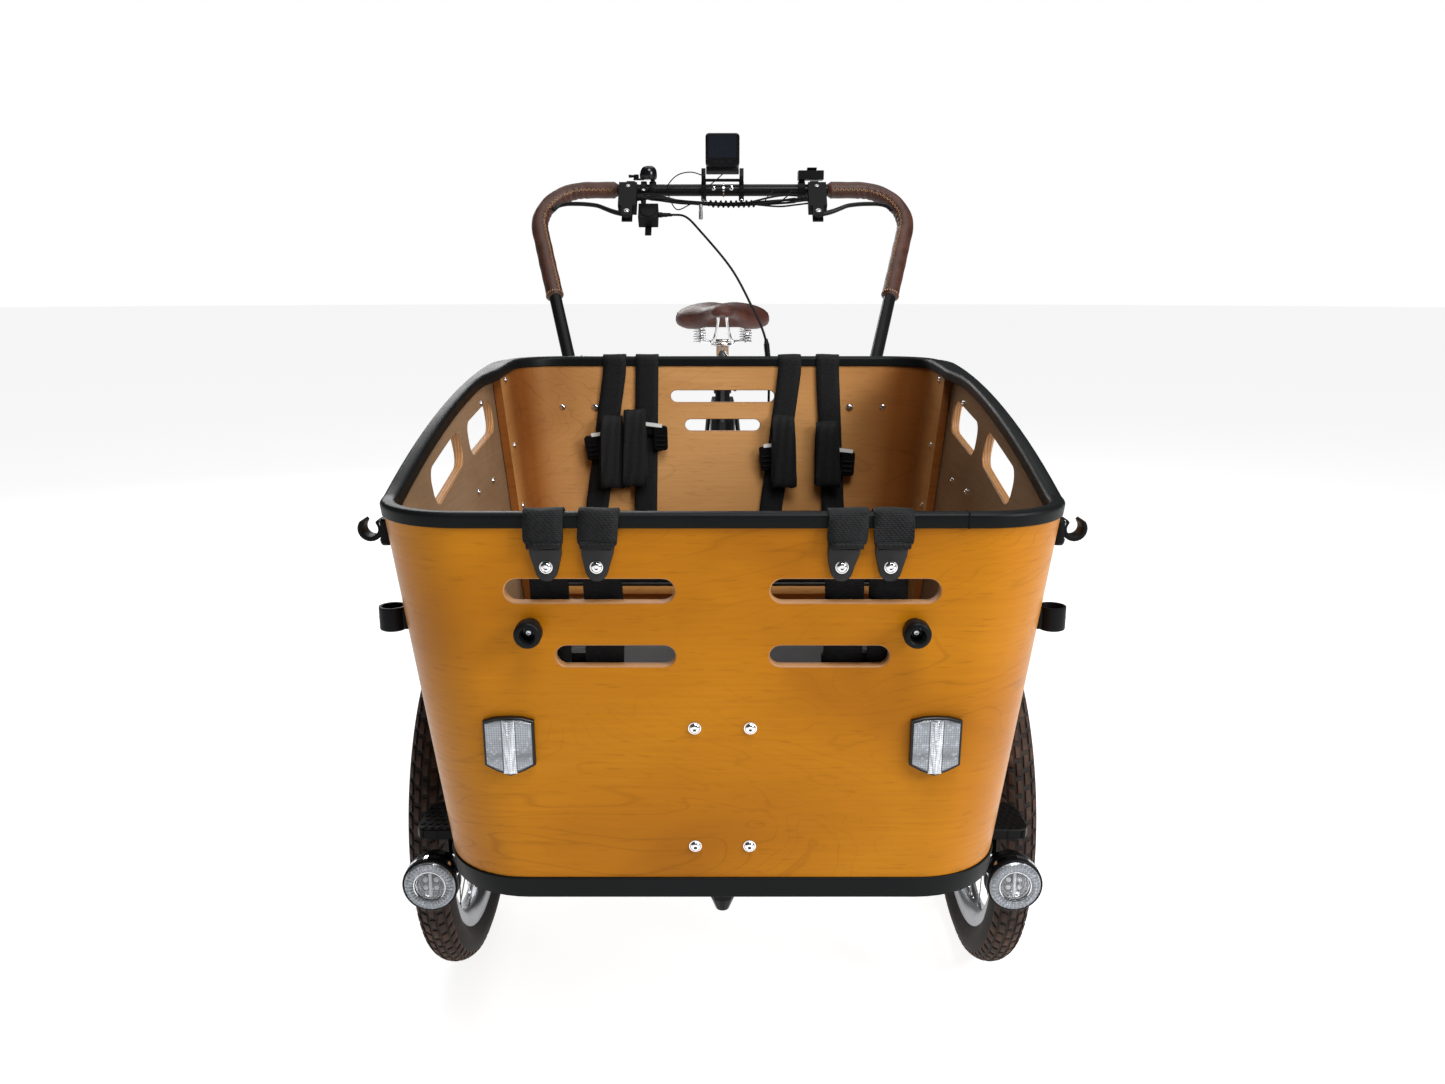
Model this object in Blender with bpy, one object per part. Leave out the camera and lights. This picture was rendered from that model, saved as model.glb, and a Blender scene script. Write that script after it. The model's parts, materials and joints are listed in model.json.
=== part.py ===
"""Three-wheeled cargo bicycle with a curved plywood box between two front wheels.

The box, its chassis and the push bar turn together on a king pin ahead of the front
axle. Lengths are metres. X points to the rider's left, Y to the rear and Z up, and the
model hangs on an empty above the front axle's middle, at ground level.
"""

import math

import bmesh
import bpy
from mathutils import Matrix, Vector

# Whole bicycle
FRONT_AXLE_Y = -0.6260
WHEELBASE = 1.40
GAP = 0.0003
SIDES = {"left": 1, "right": -1}

# Wheels: radius, half the tyre's width, rim edge, rim depth
FRONT_RADIUS = 0.255
FRONT_TYRE_HALF = 0.027
FRONT_RIM_RADIUS = 0.204
TRACK_HALF = 0.380
REAR_RADIUS = 0.335
REAR_TYRE_HALF = 0.025
REAR_RIM_RADIUS = 0.284
RIM_DEPTH = 0.020
SPOKES = 12
AXLE_RADIUS = 0.0085

# Plywood box
SHEET = 0.012
BASE_Z = 0.329
BAND_HEIGHT = 0.024
TRIM_HEIGHT = 0.016
TRIM_LIP = 0.0025
CORNER_RADIUS = 0.098
RIM_FRONT_Z = 0.760
RIM_REAR_Z = 0.863
RIM_ARC_DROP = 0.133
RIM_ARC_START = 0.33
RIM_ARC_LENGTH = 0.82
FRONT_BASE_Y = -0.459
FRONT_RIM_Y = -0.486
REAR_BASE_Y = 0.338
REAR_RIM_Y = 0.346
FRONT_BASE_HALF = 0.3075
FRONT_RIM_HALF = 0.360
REAR_BASE_HALF = 0.3075
REAR_RIM_HALF = 0.361
WALL_Z = BASE_Z + BAND_HEIGHT
LAP_START = 2.84
LAP_END = 2.93
LAP_INSET = SHEET + 0.0012

# Chassis under the box
PIVOT_Y = -0.15
RAIL_X = 0.125
RAIL_TOP = 0.3402
RAIL_LOW = 0.300
PIN_RADIUS = 0.012
PIN_LOW_Z = 0.133

# Push bar: its plane leans back, and DOWN and FACE are that plane's directions
BAR_RADIUS = 0.011
BAR_Y = 0.686
BAR_Z = 1.155
BAR_LEAN = 0.876
GRIP_RADIUS = 0.0155
GRIP_START_X = 0.200
BAR_CORNER_X = 0.366
BAR_BEND = 0.085
LEG_X = 0.240
LEG_Y = 0.3525
LEG_KNEE_Z = 0.775
GRIP_END_SHARE = 0.526
DOWN = Vector((0, -BAR_LEAN, -1)).normalized()
FACE = Vector((0, -1, BAR_LEAN)).normalized()

# Rider's frame
BEAM_Z = 0.200
BRACKET_Y = 0.920
BRACKET_Z = 0.290
SEAT_TUBE_TOP = Vector((0, 1.125, 0.751))
SEAT_TUBE_RADIUS = 0.0175
POST_RADIUS = 0.0136
CRANK_LENGTH = 0.170
CHAIN_X = -0.0545
CHAINRING_RADIUS = 0.085
SPROCKET_RADIUS = 0.032
PULLEY_RADIUS = 0.0135
CHAIN_HALF = 0.004

COLOURS = {
    "varnished_ply": ((0.47, 0.17, 0.02), 0.35, 0.0),
    "inner_ply": ((0.40, 0.20, 0.07), 0.45, 0.0),
    "black_frame": ((0.015, 0.015, 0.016), 0.35, 0.4),
    "black_trim": ((0.012, 0.012, 0.013), 0.55, 0.0),
    "tyre_rubber": ((0.045, 0.026, 0.018), 0.85, 0.0),
    "alloy": ((0.62, 0.62, 0.63), 0.32, 1.0),
    "chrome": ((0.80, 0.80, 0.82), 0.10, 1.0),
    "leather": ((0.085, 0.022, 0.012), 0.55, 0.0),
    "webbing": ((0.010, 0.010, 0.011), 0.80, 0.0),
    "clear_lens": ((0.72, 0.74, 0.78), 0.12, 0.3),
    "gloss_black": ((0.010, 0.010, 0.012), 0.15, 0.0),
}


# ---------------------------------------------------------------- building blocks


def clear_scene():
    for obj in list(bpy.data.objects):
        bpy.data.objects.remove(obj, do_unlink=True)


def make_materials():
    made = {}
    for name, (colour, roughness, metallic) in COLOURS.items():
        mat = bpy.data.materials.new(name)
        mat.use_nodes = True
        shader = mat.node_tree.nodes["Principled BSDF"]
        shader.inputs["Base Color"].default_value = (*colour, 1)
        shader.inputs["Roughness"].default_value = roughness
        shader.inputs["Metallic"].default_value = metallic
        made[name] = mat
    return made


def lerp(a, b, t):
    return a + (b - a) * t


def finish(bm):
    """Turn a bmesh into a mesh whose faces all point outward."""
    bmesh.ops.recalc_face_normals(bm, faces=bm.faces)
    mesh = bpy.data.meshes.new("solid")
    bm.to_mesh(mesh)
    bm.free()
    return mesh


def box(low, high):
    """A block between two opposite corners."""
    low, high = Vector(low), Vector(high)
    bm = bmesh.new()
    bmesh.ops.create_cube(bm, size=1)
    for vert in bm.verts:
        vert.co = Vector(lerp(low[i], high[i], vert.co[i] + 0.5) for i in range(3))
    return finish(bm)


def skin(rings, loop=False):
    """Join rings of points into a closed body; a loop has no ends, otherwise both are capped."""
    bm = bmesh.new()
    made = [[bm.verts.new(point) for point in ring] for ring in rings]
    pairs = list(zip(made, made[1:]))
    if loop:
        pairs.append((made[-1], made[0]))
    else:
        bm.faces.new(made[0])
        bm.faces.new(made[-1])
    for near, far in pairs:
        for i in range(len(near)):
            bm.faces.new((near[i - 1], near[i], far[i], far[i - 1]))
    return finish(bm)


def circle(centre, axis, radius, sides):
    """Points round an axis."""
    turn = Vector((0, 0, 1)).rotation_difference(Vector(axis))
    points = []
    for i in range(sides):
        angle = 2 * math.pi * (i + 0.5) / sides
        flat = Vector((math.cos(angle), math.sin(angle), 0)) * radius
        points.append(Vector(centre) + turn @ flat)
    return points


def lathe(start, axis, profile, sides=16):
    """A turned body: profile pairs are distance along the axis and radius."""
    axis = Vector(axis).normalized()
    return skin([circle(Vector(start) + axis * along, axis, radius, sides) for along, radius in profile])


def rod(start, end, radius, sides=10):
    start, end = Vector(start), Vector(end)
    return lathe(start, end - start, [(0, radius), ((end - start).length, radius)], sides)


def hoop(centre, profile, sides):
    """A ring round an X axis: profile pairs are distance along X and radius, a closed outline.

    Its flats face down, so a wheel stands on one of them.
    """
    centre = Vector(centre)
    grow = 1 / math.cos(math.pi / sides)
    rings = []
    for i in range(sides):
        angle = 2 * math.pi * (i + 0.5) / sides - math.pi / 2
        out = Vector((0, math.cos(angle), math.sin(angle))) * grow
        rings.append([centre + Vector((along, 0, 0)) + out * radius for along, radius in profile])
    return skin(rings, loop=True)


def collar(x_low, x_high, y, z, inner, outer, sides=12):
    """A short tube round an X axis."""
    profile = [(x_low, inner), (x_high, inner), (x_high, outer), (x_low, outer)]
    return hoop((0, y, z), profile, sides)


def frames(path, up, loop):
    """For each path point, the side and upright directions of a section there."""
    made = []
    for i, point in enumerate(path):
        before = path[i - 1] if loop or i else point
        after = path[(i + 1) % len(path)] if loop or i + 1 < len(path) else point
        along = (after - before).normalized()
        side = along.cross(up).normalized()
        made.append((point, side, side.cross(along)))
    return made


def sweep(path, section, up, loop=False):
    """Carry a flat section along a path; section pairs run along side and upright."""
    path = [Vector(point) for point in path]
    rings = []
    for point, side, upright in frames(path, Vector(up), loop):
        rings.append([point + side * a + upright * b for a, b in section])
    return skin(rings, loop)


def round_section(radius, sides):
    turns = [2 * math.pi * (i + 0.5) / sides for i in range(sides)]
    return [(radius * math.cos(turn), radius * math.sin(turn)) for turn in turns]


def flat_section(width, thickness):
    half, deep = width / 2, thickness / 2
    return [(-half, -deep), (half, -deep), (half, deep), (-half, deep)]


def sleeve(path, inner, outer, up, sides):
    """A hollow tube along a curved path, open at both ends."""
    path = [Vector(point) for point in path]
    bm = bmesh.new()
    walls = []
    for radius in (inner, outer):
        rings = []
        for point, side, upright in frames(path, Vector(up), False):
            ring = [point + side * a + upright * b for a, b in round_section(radius, sides)]
            rings.append([bm.verts.new(place) for place in ring])
        walls.append(rings)
    for rings in walls:
        for near, far in zip(rings, rings[1:]):
            for i in range(sides):
                bm.faces.new((near[i - 1], near[i], far[i], far[i - 1]))
    for end in (0, -1):
        near, far = walls[0][end], walls[1][end]
        for i in range(sides):
            bm.faces.new((near[i - 1], near[i], far[i], far[i - 1]))
    return finish(bm)


def fillet(corners, radius, steps=5):
    """A path through corner points with every bend rounded to one radius."""
    corners = [Vector(corner) for corner in corners]
    path = [corners[0]]
    for before, corner, after in zip(corners, corners[1:], corners[2:]):
        inward = (before - corner).normalized()
        outward = (after - corner).normalized()
        half_turn = (math.pi - inward.angle(outward)) / 2
        if half_turn < 0.001:
            path.append(corner)
            continue
        reach = radius * math.tan(half_turn)
        middle = corner + (inward + outward).normalized() * radius / math.cos(half_turn)
        start = corner + inward * reach - middle
        end = corner + outward * reach - middle
        for i in range(steps + 1):
            share = i / steps
            path.append(middle + start.slerp(end, share) * start.length)
    path.append(corners[-1])
    return path


def smooth_path(corners, count):
    """A Catmull-Rom curve through the corners, with count points to each stretch."""
    corners = [Vector(corner) for corner in corners]
    ends = [2 * corners[0] - corners[1], *corners, 2 * corners[-1] - corners[-2]]
    path = []
    for a, b, c, d in zip(ends, ends[1:], ends[2:], ends[3:]):
        for i in range(count):
            t = i / count
            bend = 2 * a - 5 * b + 4 * c - d
            twist = 3 * b - a - 3 * c + d
            path.append((2 * b + (c - a) * t + bend * t * t + twist * t**3) / 2)
    path.append(corners[-1])
    return path


def slab(outline, place, thickness):
    """Extrude a flat outline along the local Z of a placing matrix."""
    lift = Vector((0, 0, thickness))
    low = [place @ Vector((a, b, 0)) for a, b in outline]
    high = [place @ (Vector((a, b, 0)) + lift) for a, b in outline]
    return skin([low, high])


def plate(x_low, x_high, outline):
    """A plate square to X from (y, z) outline points."""
    return skin([[Vector((x, y, z)) for y, z in outline] for x in (x_low, x_high)])


def obround(length, height, steps=4):
    """A slot outline with half-round ends."""
    radius = height / 2
    reach = length / 2 - radius
    outline = []
    for end in (1, -1):
        for i in range(steps + 1):
            angle = math.pi * i / steps - math.pi / 2
            outline.append((end * (reach + radius * math.cos(angle)), end * radius * math.sin(angle)))
    return outline


def rounded_rectangle(width, height, radius, steps=3):
    outline = []
    for index, (a, b) in enumerate(((1, 1), (-1, 1), (-1, -1), (1, -1))):
        middle = (a * (width / 2 - radius), b * (height / 2 - radius))
        for i in range(steps + 1):
            angle = math.pi / 2 * (index + i / steps)
            outline.append((middle[0] + radius * math.cos(angle), middle[1] + radius * math.sin(angle)))
    return outline


def placed(origin, local_x, local_y):
    """A placing matrix from an origin and two directions."""
    x = Vector(local_x).normalized()
    z = x.cross(Vector(local_y)).normalized()
    turned = Matrix((x, z.cross(x), z)).transposed().to_4x4()
    return Matrix.Translation(origin) @ turned


def boolean(solid, other, operation):
    """The evaluated result of a Boolean modifier between two meshes."""
    base = bpy.data.objects.new("base", solid)
    tool = bpy.data.objects.new("tool", other)
    for obj in (base, tool):
        bpy.context.scene.collection.objects.link(obj)
    modifier = base.modifiers.new("boolean", "BOOLEAN")
    modifier.operation = operation
    modifier.solver = "EXACT"
    modifier.object = tool
    graph = bpy.context.evaluated_depsgraph_get()
    result = bpy.data.meshes.new_from_object(base.evaluated_get(graph))
    for obj in (base, tool):
        bpy.data.objects.remove(obj, do_unlink=True)
    return result


def join(*solids):
    """One body from solids that overlap."""
    whole = solids[0]
    for solid in solids[1:]:
        whole = boolean(whole, solid, "UNION")
    return whole


def cut(solid, *tools):
    for tool in tools:
        solid = boolean(solid, tool, "DIFFERENCE")
    return solid


def gathered(solids):
    """Separate solids as one mesh, ready to be joined to a neighbour in one step."""
    bm = bmesh.new()
    for solid in solids:
        bm.from_mesh(solid)
    return finish(bm)


class Bicycle:
    """Keeps the moving bodies' empties and hangs each sub-part on its own body."""

    def __init__(self):
        self.materials = make_materials()
        self.bodies = {}
        self.body("rider_frame", (0, 0, 0), None)

    def body(self, name, pivot, parent="rider_frame"):
        empty = bpy.data.objects.new(name + "_body", None)
        empty.hide_render = True
        bpy.context.scene.collection.objects.link(empty)
        pivot = Vector(pivot)
        if parent is None:
            empty.location = (0, FRONT_AXLE_Y, 0)
        else:
            empty.parent = self.bodies[parent][0]
            empty.location = pivot - self.bodies[parent][1]
        self.bodies[name] = (empty, pivot)
        return name

    def add(self, name, solid, material, body):
        """Name a solid as a sub-part, with its origin on its body's joint."""
        empty, pivot = self.bodies[body]
        solid.name = name
        solid.transform(Matrix.Translation(-pivot))
        solid.materials.clear()
        solid.materials.append(self.materials[material])
        solid.shade_smooth()
        solid.set_sharp_from_angle(angle=math.radians(35))
        obj = bpy.data.objects.new(name, solid)
        obj.parent = empty
        bpy.context.scene.collection.objects.link(obj)


# ---------------------------------------------------------------- plywood box


def rim_height(y):
    """The box's top edge: level at the front, then an arc up to the rear."""
    arc = RIM_REAR_Z - RIM_ARC_DROP * ((RIM_ARC_START - y) / RIM_ARC_LENGTH) ** 2
    return max(RIM_FRONT_Z, arc)


def wall_point(side, place, z, inset=0.0):
    """A point on the box's outer surface, or inset from it.

    Place runs 0 to 5 on each side: front, corner, side wall, corner and rear.
    """
    front_share = (z - BASE_Z) / (RIM_FRONT_Z - BASE_Z)
    rear_share = (z - BASE_Z) / (RIM_REAR_Z - BASE_Z)
    front = lerp(FRONT_BASE_Y, FRONT_RIM_Y, front_share) + inset
    rear = lerp(REAR_BASE_Y, REAR_RIM_Y, rear_share) - inset
    wide_front = lerp(FRONT_BASE_HALF, FRONT_RIM_HALF, front_share) - inset
    wide_rear = lerp(REAR_BASE_HALF, REAR_RIM_HALF, rear_share) - inset
    radius = CORNER_RADIUS - inset
    if place <= 1:
        x, y = (wide_front - radius) * place, front
    elif place <= 2:
        angle = (place - 1) * math.pi / 2
        x = wide_front - radius + radius * math.sin(angle)
        y = front + radius - radius * math.cos(angle)
    elif place <= 3:
        x = lerp(wide_front, wide_rear, place - 2)
        y = lerp(front + radius, rear - radius, place - 2)
    elif place <= 4:
        angle = (place - 3) * math.pi / 2
        x = wide_rear - radius + radius * math.cos(angle)
        y = rear - radius + radius * math.sin(angle)
    else:
        x, y = (wide_rear - radius) * (5 - place), rear
    return Vector((side * x, y, z))


def sheet_top(side, place):
    """Height of the plywood's top edge, just below the rim trim."""
    return rim_height(wall_point(side, place, RIM_FRONT_Z).y) - TRIM_HEIGHT


def steps_between(start, end, count):
    return [lerp(start, end, i / count) for i in range(count + 1)]


def bent_sheet(stations, inset):
    """A bent plywood sheet through stations given as (side, place)."""
    rings = []
    for side, place in stations:
        top = sheet_top(side, place)
        rings.append(
            [
                wall_point(side, place, WALL_Z, inset),
                wall_point(side, place, top, inset),
                wall_point(side, place, top, inset + SHEET),
                wall_point(side, place, WALL_Z, inset + SHEET),
            ]
        )
    return skin(rings)


def front_frame(x, z, lift=GAP):
    """Places flat things on the front panel: local X across, local Y up, local Z forward."""
    up = Vector((0, FRONT_RIM_Y - FRONT_BASE_Y, RIM_FRONT_Z - BASE_Z)).normalized()
    place = placed(wall_point(1, 0, z), (1, 0, 0), up)
    return Matrix.Translation((x, 0, 0)) @ place @ Matrix.Translation((0, 0, lift))


def front_slots():
    """Two long and two short slots through the front panel."""
    tools = []
    for side in SIDES.values():
        for x, z, length, height in ((0.1335, 0.679, 0.171, 0.025), (0.109, 0.609, 0.122, 0.0225)):
            tools.append(slab(obround(length, height), front_frame(side * x, z, -0.03), 0.06))
    return tools


def hand_holds():
    """Two hand-holds through each side wall, level with the rim above them."""
    tools = []
    for side in SIDES.values():
        for y, z, tilt in ((-0.170, 0.755, 0.198), (0.035, 0.780, 0.117)):
            place = placed((side * 0.30, y, z), (0, 1, tilt), (0, -tilt, 1))
            outline = rounded_rectangle(0.160, 0.046, 0.018)
            tools.append(slab(outline, place @ Matrix.Translation((0, 0, -0.10)), 0.20))
    return tools


def rear_slots():
    tools = []
    for z, half in ((0.797, 0.0865), (0.749, 0.063)):
        place = placed((0, 0.28, z), (-1, 0, 0), (0, 0, 1))
        tools.append(slab(obround(2 * half, 0.020), place, 0.10))
    return tools


def ramp(value, start, end):
    return min(1.0, max(0.0, (value - start) / (end - start)))


def edge_insets(place):
    """Outer and inner inset of a trim that covers both sheets where they lap."""
    outer = lerp(0, LAP_INSET, ramp(place, LAP_END + 0.02, LAP_END + 0.12)) - TRIM_LIP
    inner = lerp(SHEET, LAP_INSET + SHEET, ramp(place, LAP_START - 0.12, LAP_START - 0.01)) + TRIM_LIP
    return outer, inner


def edge_stations():
    places = [0, *steps_between(1, 2, 5), *steps_between(2.10, 2.72, 6), 2.83, LAP_END]
    places += [2.98, *steps_between(3.05, 4, 5), 5]
    back = [(-1, place) for place in reversed(places[1:-1])]
    return [(1, place) for place in places] + back


def edge_ring(low_of, high_of, chamfer):
    """A closed ring of trim round the box, between two heights."""
    rings = []
    for side, place in edge_stations():
        outer, inner = edge_insets(place)
        low, high = low_of(side, place), high_of(side, place)
        rings.append(
            [
                wall_point(side, place, low, outer),
                wall_point(side, place, high - chamfer, outer),
                wall_point(side, place, high, outer + chamfer),
                wall_point(side, place, high, inner - chamfer),
                wall_point(side, place, high - chamfer, inner),
                wall_point(side, place, low, inner),
            ]
        )
    return skin(rings, loop=True)


def add_box(bike):
    lap = [(1, place) for place in (LAP_END, *steps_between(2.80, 2.0, 8), *steps_between(1.833, 1.0, 5))]
    stations = [*lap, (1, 0), *[(-1, place) for _, place in reversed(lap)]]
    wrap = cut(bent_sheet(stations, 0), *front_slots(), *hand_holds())
    bike.add("box_front_panel", wrap, "varnished_ply", "carriage")

    lap = [(1, place) for place in (LAP_START, *steps_between(3.0, 4.0, 7))]
    stations = [*lap, (1, 5), *[(-1, place) for _, place in reversed(lap)]]
    bike.add("box_rear_panel", cut(bent_sheet(stations, LAP_INSET), *rear_slots()), "inner_ply", "carriage")

    rim = edge_ring(lambda s, p: sheet_top(s, p) + GAP, lambda s, p: sheet_top(s, p) + TRIM_HEIGHT, 0.004)
    bike.add("rim_trim", rim, "black_trim", "carriage")
    band = edge_ring(lambda s, p: BASE_Z, lambda s, p: WALL_Z - GAP, 0.001)
    bike.add("base_band", band, "black_trim", "carriage")

    inset = LAP_INSET + SHEET + TRIM_LIP + GAP
    low, high = RAIL_TOP + GAP, WALL_Z - GAP
    rings = [[wall_point(side, place, z, inset) for side, place in edge_stations()] for z in (low, high)]
    bike.add("box_floor", skin(rings), "inner_ply", "carriage")


BENCH_HALF = 0.268
BENCH_TOP_Z = 0.575
BENCH_BOARD = 0.052
BENCHES = {"front": (-0.432, -0.205), "rear": (0.296, 0.075)}


def add_benches(bike):
    """A cushioned seat board on a plywood riser across each end of the box."""
    for name, (wall_y, knee_y) in BENCHES.items():
        low_y, high_y = sorted((wall_y, knee_y))
        board = box((-BENCH_HALF, low_y, BENCH_TOP_Z - BENCH_BOARD), (BENCH_HALF, high_y, BENCH_TOP_Z))
        toward = math.copysign(1, wall_y - knee_y)
        riser_y = sorted((knee_y + toward * 0.015, knee_y + toward * (0.015 + SHEET)))
        riser = box((-BENCH_HALF, riser_y[0], WALL_Z), (BENCH_HALF, riser_y[1], BENCH_TOP_Z - 0.02))
        bike.add(f"bench_{name}", join(board, riser), "inner_ply", "carriage")


# ---------------------------------------------------------------- harness straps

STRAP_WIDTH = 0.038
STRAP_THICK = 0.003
STRAPS_FRONT = {"left": (0.1185, 0.167), "right": (-0.125, -0.175)}
STRAPS_REAR = {"left": ((0.111, 0.080), (0.174, 0.188)), "right": ((-0.125, -0.130), (-0.179, -0.215))}


def band_over_edge(x, out_y, in_y, top_z, drop_z):
    """The part of a strap that hooks over the rim, as corner points from outside to inside."""
    return [(x, out_y, drop_z), (x, out_y, top_z), (x, in_y, top_z)]


def add_harnesses(bike):
    """Shoulder straps hooked over the rim, each pair ending in one lap buckle."""
    for name, places in STRAPS_FRONT.items():
        top = RIM_FRONT_Z + STRAP_THICK
        parts = []
        for x in places:
            out_y = FRONT_RIM_Y - TRIM_LIP - STRAP_THICK
            in_y = FRONT_RIM_Y + SHEET + TRIM_LIP + STRAP_THICK
            path = band_over_edge(x, out_y, in_y, top, 0.690)
            path += [(x, in_y + 0.001, 0.740), (x, in_y + 0.012, 0.590)]
            parts.append(ribbon(path))
        middle = sum(places) / 2
        parts.append(box((middle - 0.045, in_y + 0.0075, 0.577), (middle + 0.045, in_y + 0.024, 0.607)))
        bike.add(f"harness_front_{name}", join(*parts), "webbing", "carriage")

    for name, places in STRAPS_REAR.items():
        top = RIM_REAR_Z + STRAP_THICK
        out_y = REAR_RIM_Y - LAP_INSET + TRIM_LIP + STRAP_THICK
        in_y = REAR_RIM_Y - LAP_INSET - SHEET - TRIM_LIP - STRAP_THICK
        parts = []
        for x_top, x_low in places:
            path = band_over_edge(x_top, out_y, in_y, top, 0.815)
            path += [(x_top, in_y - 0.001, 0.840), (lerp(x_top, x_low, 0.5), in_y - 0.002, 0.735)]
            path += [(x_low, in_y - 0.006, 0.590)]
            parts.append(ribbon(path))
            x = lerp(x_top, x_low, 0.5)
            parts.append(box((x - 0.024, in_y - 0.010, 0.715), (x + 0.024, in_y + 0.0015, 0.750)))
        low_x, high_x = sorted(x_low for _, x_low in places)
        parts.append(box((low_x - 0.02, in_y - 0.012, 0.577), (high_x + 0.02, in_y - 0.0005, 0.605)))
        bike.add(f"harness_rear_{name}", join(*parts), "webbing", "carriage")


def ribbon(points):
    """A strap through points, its width always across the box."""
    points = [Vector(point) for point in points]
    rings = []
    for i, point in enumerate(points):
        steps = []
        if i:
            steps.append((point - points[i - 1]).normalized())
        if i + 1 < len(points):
            steps.append((points[i + 1] - point).normalized())
        normals = [step.cross(Vector((1, 0, 0))).normalized() for step in steps]
        middle = sum(normals, Vector()).normalized()
        thick = middle * STRAP_THICK / 2 / middle.dot(normals[0])
        half = Vector((STRAP_WIDTH / 2, 0, 0))
        section = ((-half, -thick), (half, -thick), (half, thick), (-half, thick))
        rings.append([point + wide + deep for wide, deep in section])
    return skin(rings)


# ---------------------------------------------------------------- fittings on the box


def add_front_fittings(bike):
    shield = [(-0.0265, -0.022), (0, -0.0345), (0.0265, -0.022), (0.0265, 0.029)]
    shield += [(0.014, 0.0325), (-0.014, 0.0325), (-0.0265, 0.029)]
    knob = [(0, 0.0105), (0.008, 0.0105), (0.009, 0.014), (0.024, 0.014), (0.026, 0.012)]
    knob += [(0.026, 0.006), (0.018, 0.006)]
    for name, side in SIDES.items():
        reflector = slab(shield, front_frame(side * 0.2215, 0.511), 0.008)
        bike.add(f"front_reflector_{name}", reflector, "clear_lens", "carriage")
        place = front_frame(side * 0.194, 0.640)
        forward = place.to_3x3() @ Vector((0, 0, 1))
        bike.add(f"bumper_{name}", lathe(place.translation, forward, knob, 14), "black_trim", "carriage")


def add_tent_fittings(bike):
    """A snap clip over a pole cup on each side, for a rain cover's poles."""
    y = -0.375
    for name, side in SIDES.items():
        wall_x = wall_point(1, 2.02, 0.735).x
        centre = Vector((side * (wall_x + 0.0225), y, 0.722))
        ring = []
        for radius, angles in ((0.0130, range(130, 411, 28)), (0.0095, range(410, 129, -28))):
            for angle in angles:
                turn = math.radians(angle)
                ring.append((radius * math.cos(turn) * side, radius * math.sin(turn)))
        place = placed(centre - Vector((0, 0.011, 0)), (1, 0, 0), (0, 0, 1))
        hook = slab(ring, place @ Matrix.Rotation(math.pi, 4, "X") @ Matrix.Diagonal((1, -1, 1, 1)), -0.022)
        low_x, high_x = sorted((side * (wall_x + GAP), side * (wall_x + 0.0115)))
        base = box((low_x, y - 0.015, 0.704), (high_x, y + 0.015, 0.734))
        bike.add(f"tent_clip_{name}", join(base, hook), "black_trim", "carriage")

        wall_x = wall_point(1, 2.02, 0.634).x
        cup_x = wall_x + 0.019
        bowl = [(0, 0.0135), (0.002, 0.0150), (0.027, 0.0150), (0.027, 0.0115), (0.006, 0.0115)]
        cup = lathe((side * cup_x, y, 0.607), (0, 0, 1), bowl, 16)
        low_x, high_x = sorted((side * (wall_x + GAP), side * (cup_x - 0.0125)))
        foot = box((low_x, y - 0.009, 0.609), (high_x, y + 0.009, 0.632))
        bike.add(f"tent_pole_cup_{name}", join(cup, foot), "black_trim", "carriage")


LIGHT_X = 0.346
LIGHT_Z = 0.285
LIGHT_FACE_Y = -0.360
STEP_Z = 0.348


def add_lights_and_steps(bike):
    shell = [(0, 0.0285), (0.003, 0.033), (0.020, 0.033), (0.024, 0.0305), (0.042, 0.026), (0.052, 0.012)]
    for name, side in SIDES.items():
        body = lathe((side * LIGHT_X, LIGHT_FACE_Y, LIGHT_Z), (0, 1, 0), shell, 16)
        bike.add(f"headlight_{name}", body, "clear_lens", "carriage")
        outline = [(0.313, -0.340), (0.356, -0.340), (0.365, -0.331), (0.365, -0.285)]
        outline += [(0.352, -0.262), (0.313, -0.262)]
        ring = [(side * x, y) for x, y in outline]
        tread = slab(ring, Matrix.Translation((0, 0, STEP_Z - 0.014)), 0.014)
        low_x, high_x = sorted((side * 0.315, side * 0.333))
        foot = box((low_x, -0.311, 0.3203), (high_x, -0.289, STEP_Z - 0.010))
        bike.add(f"step_{name}", join(tread, foot), "black_frame", "carriage")


# ---------------------------------------------------------------- chassis and front wheels


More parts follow.
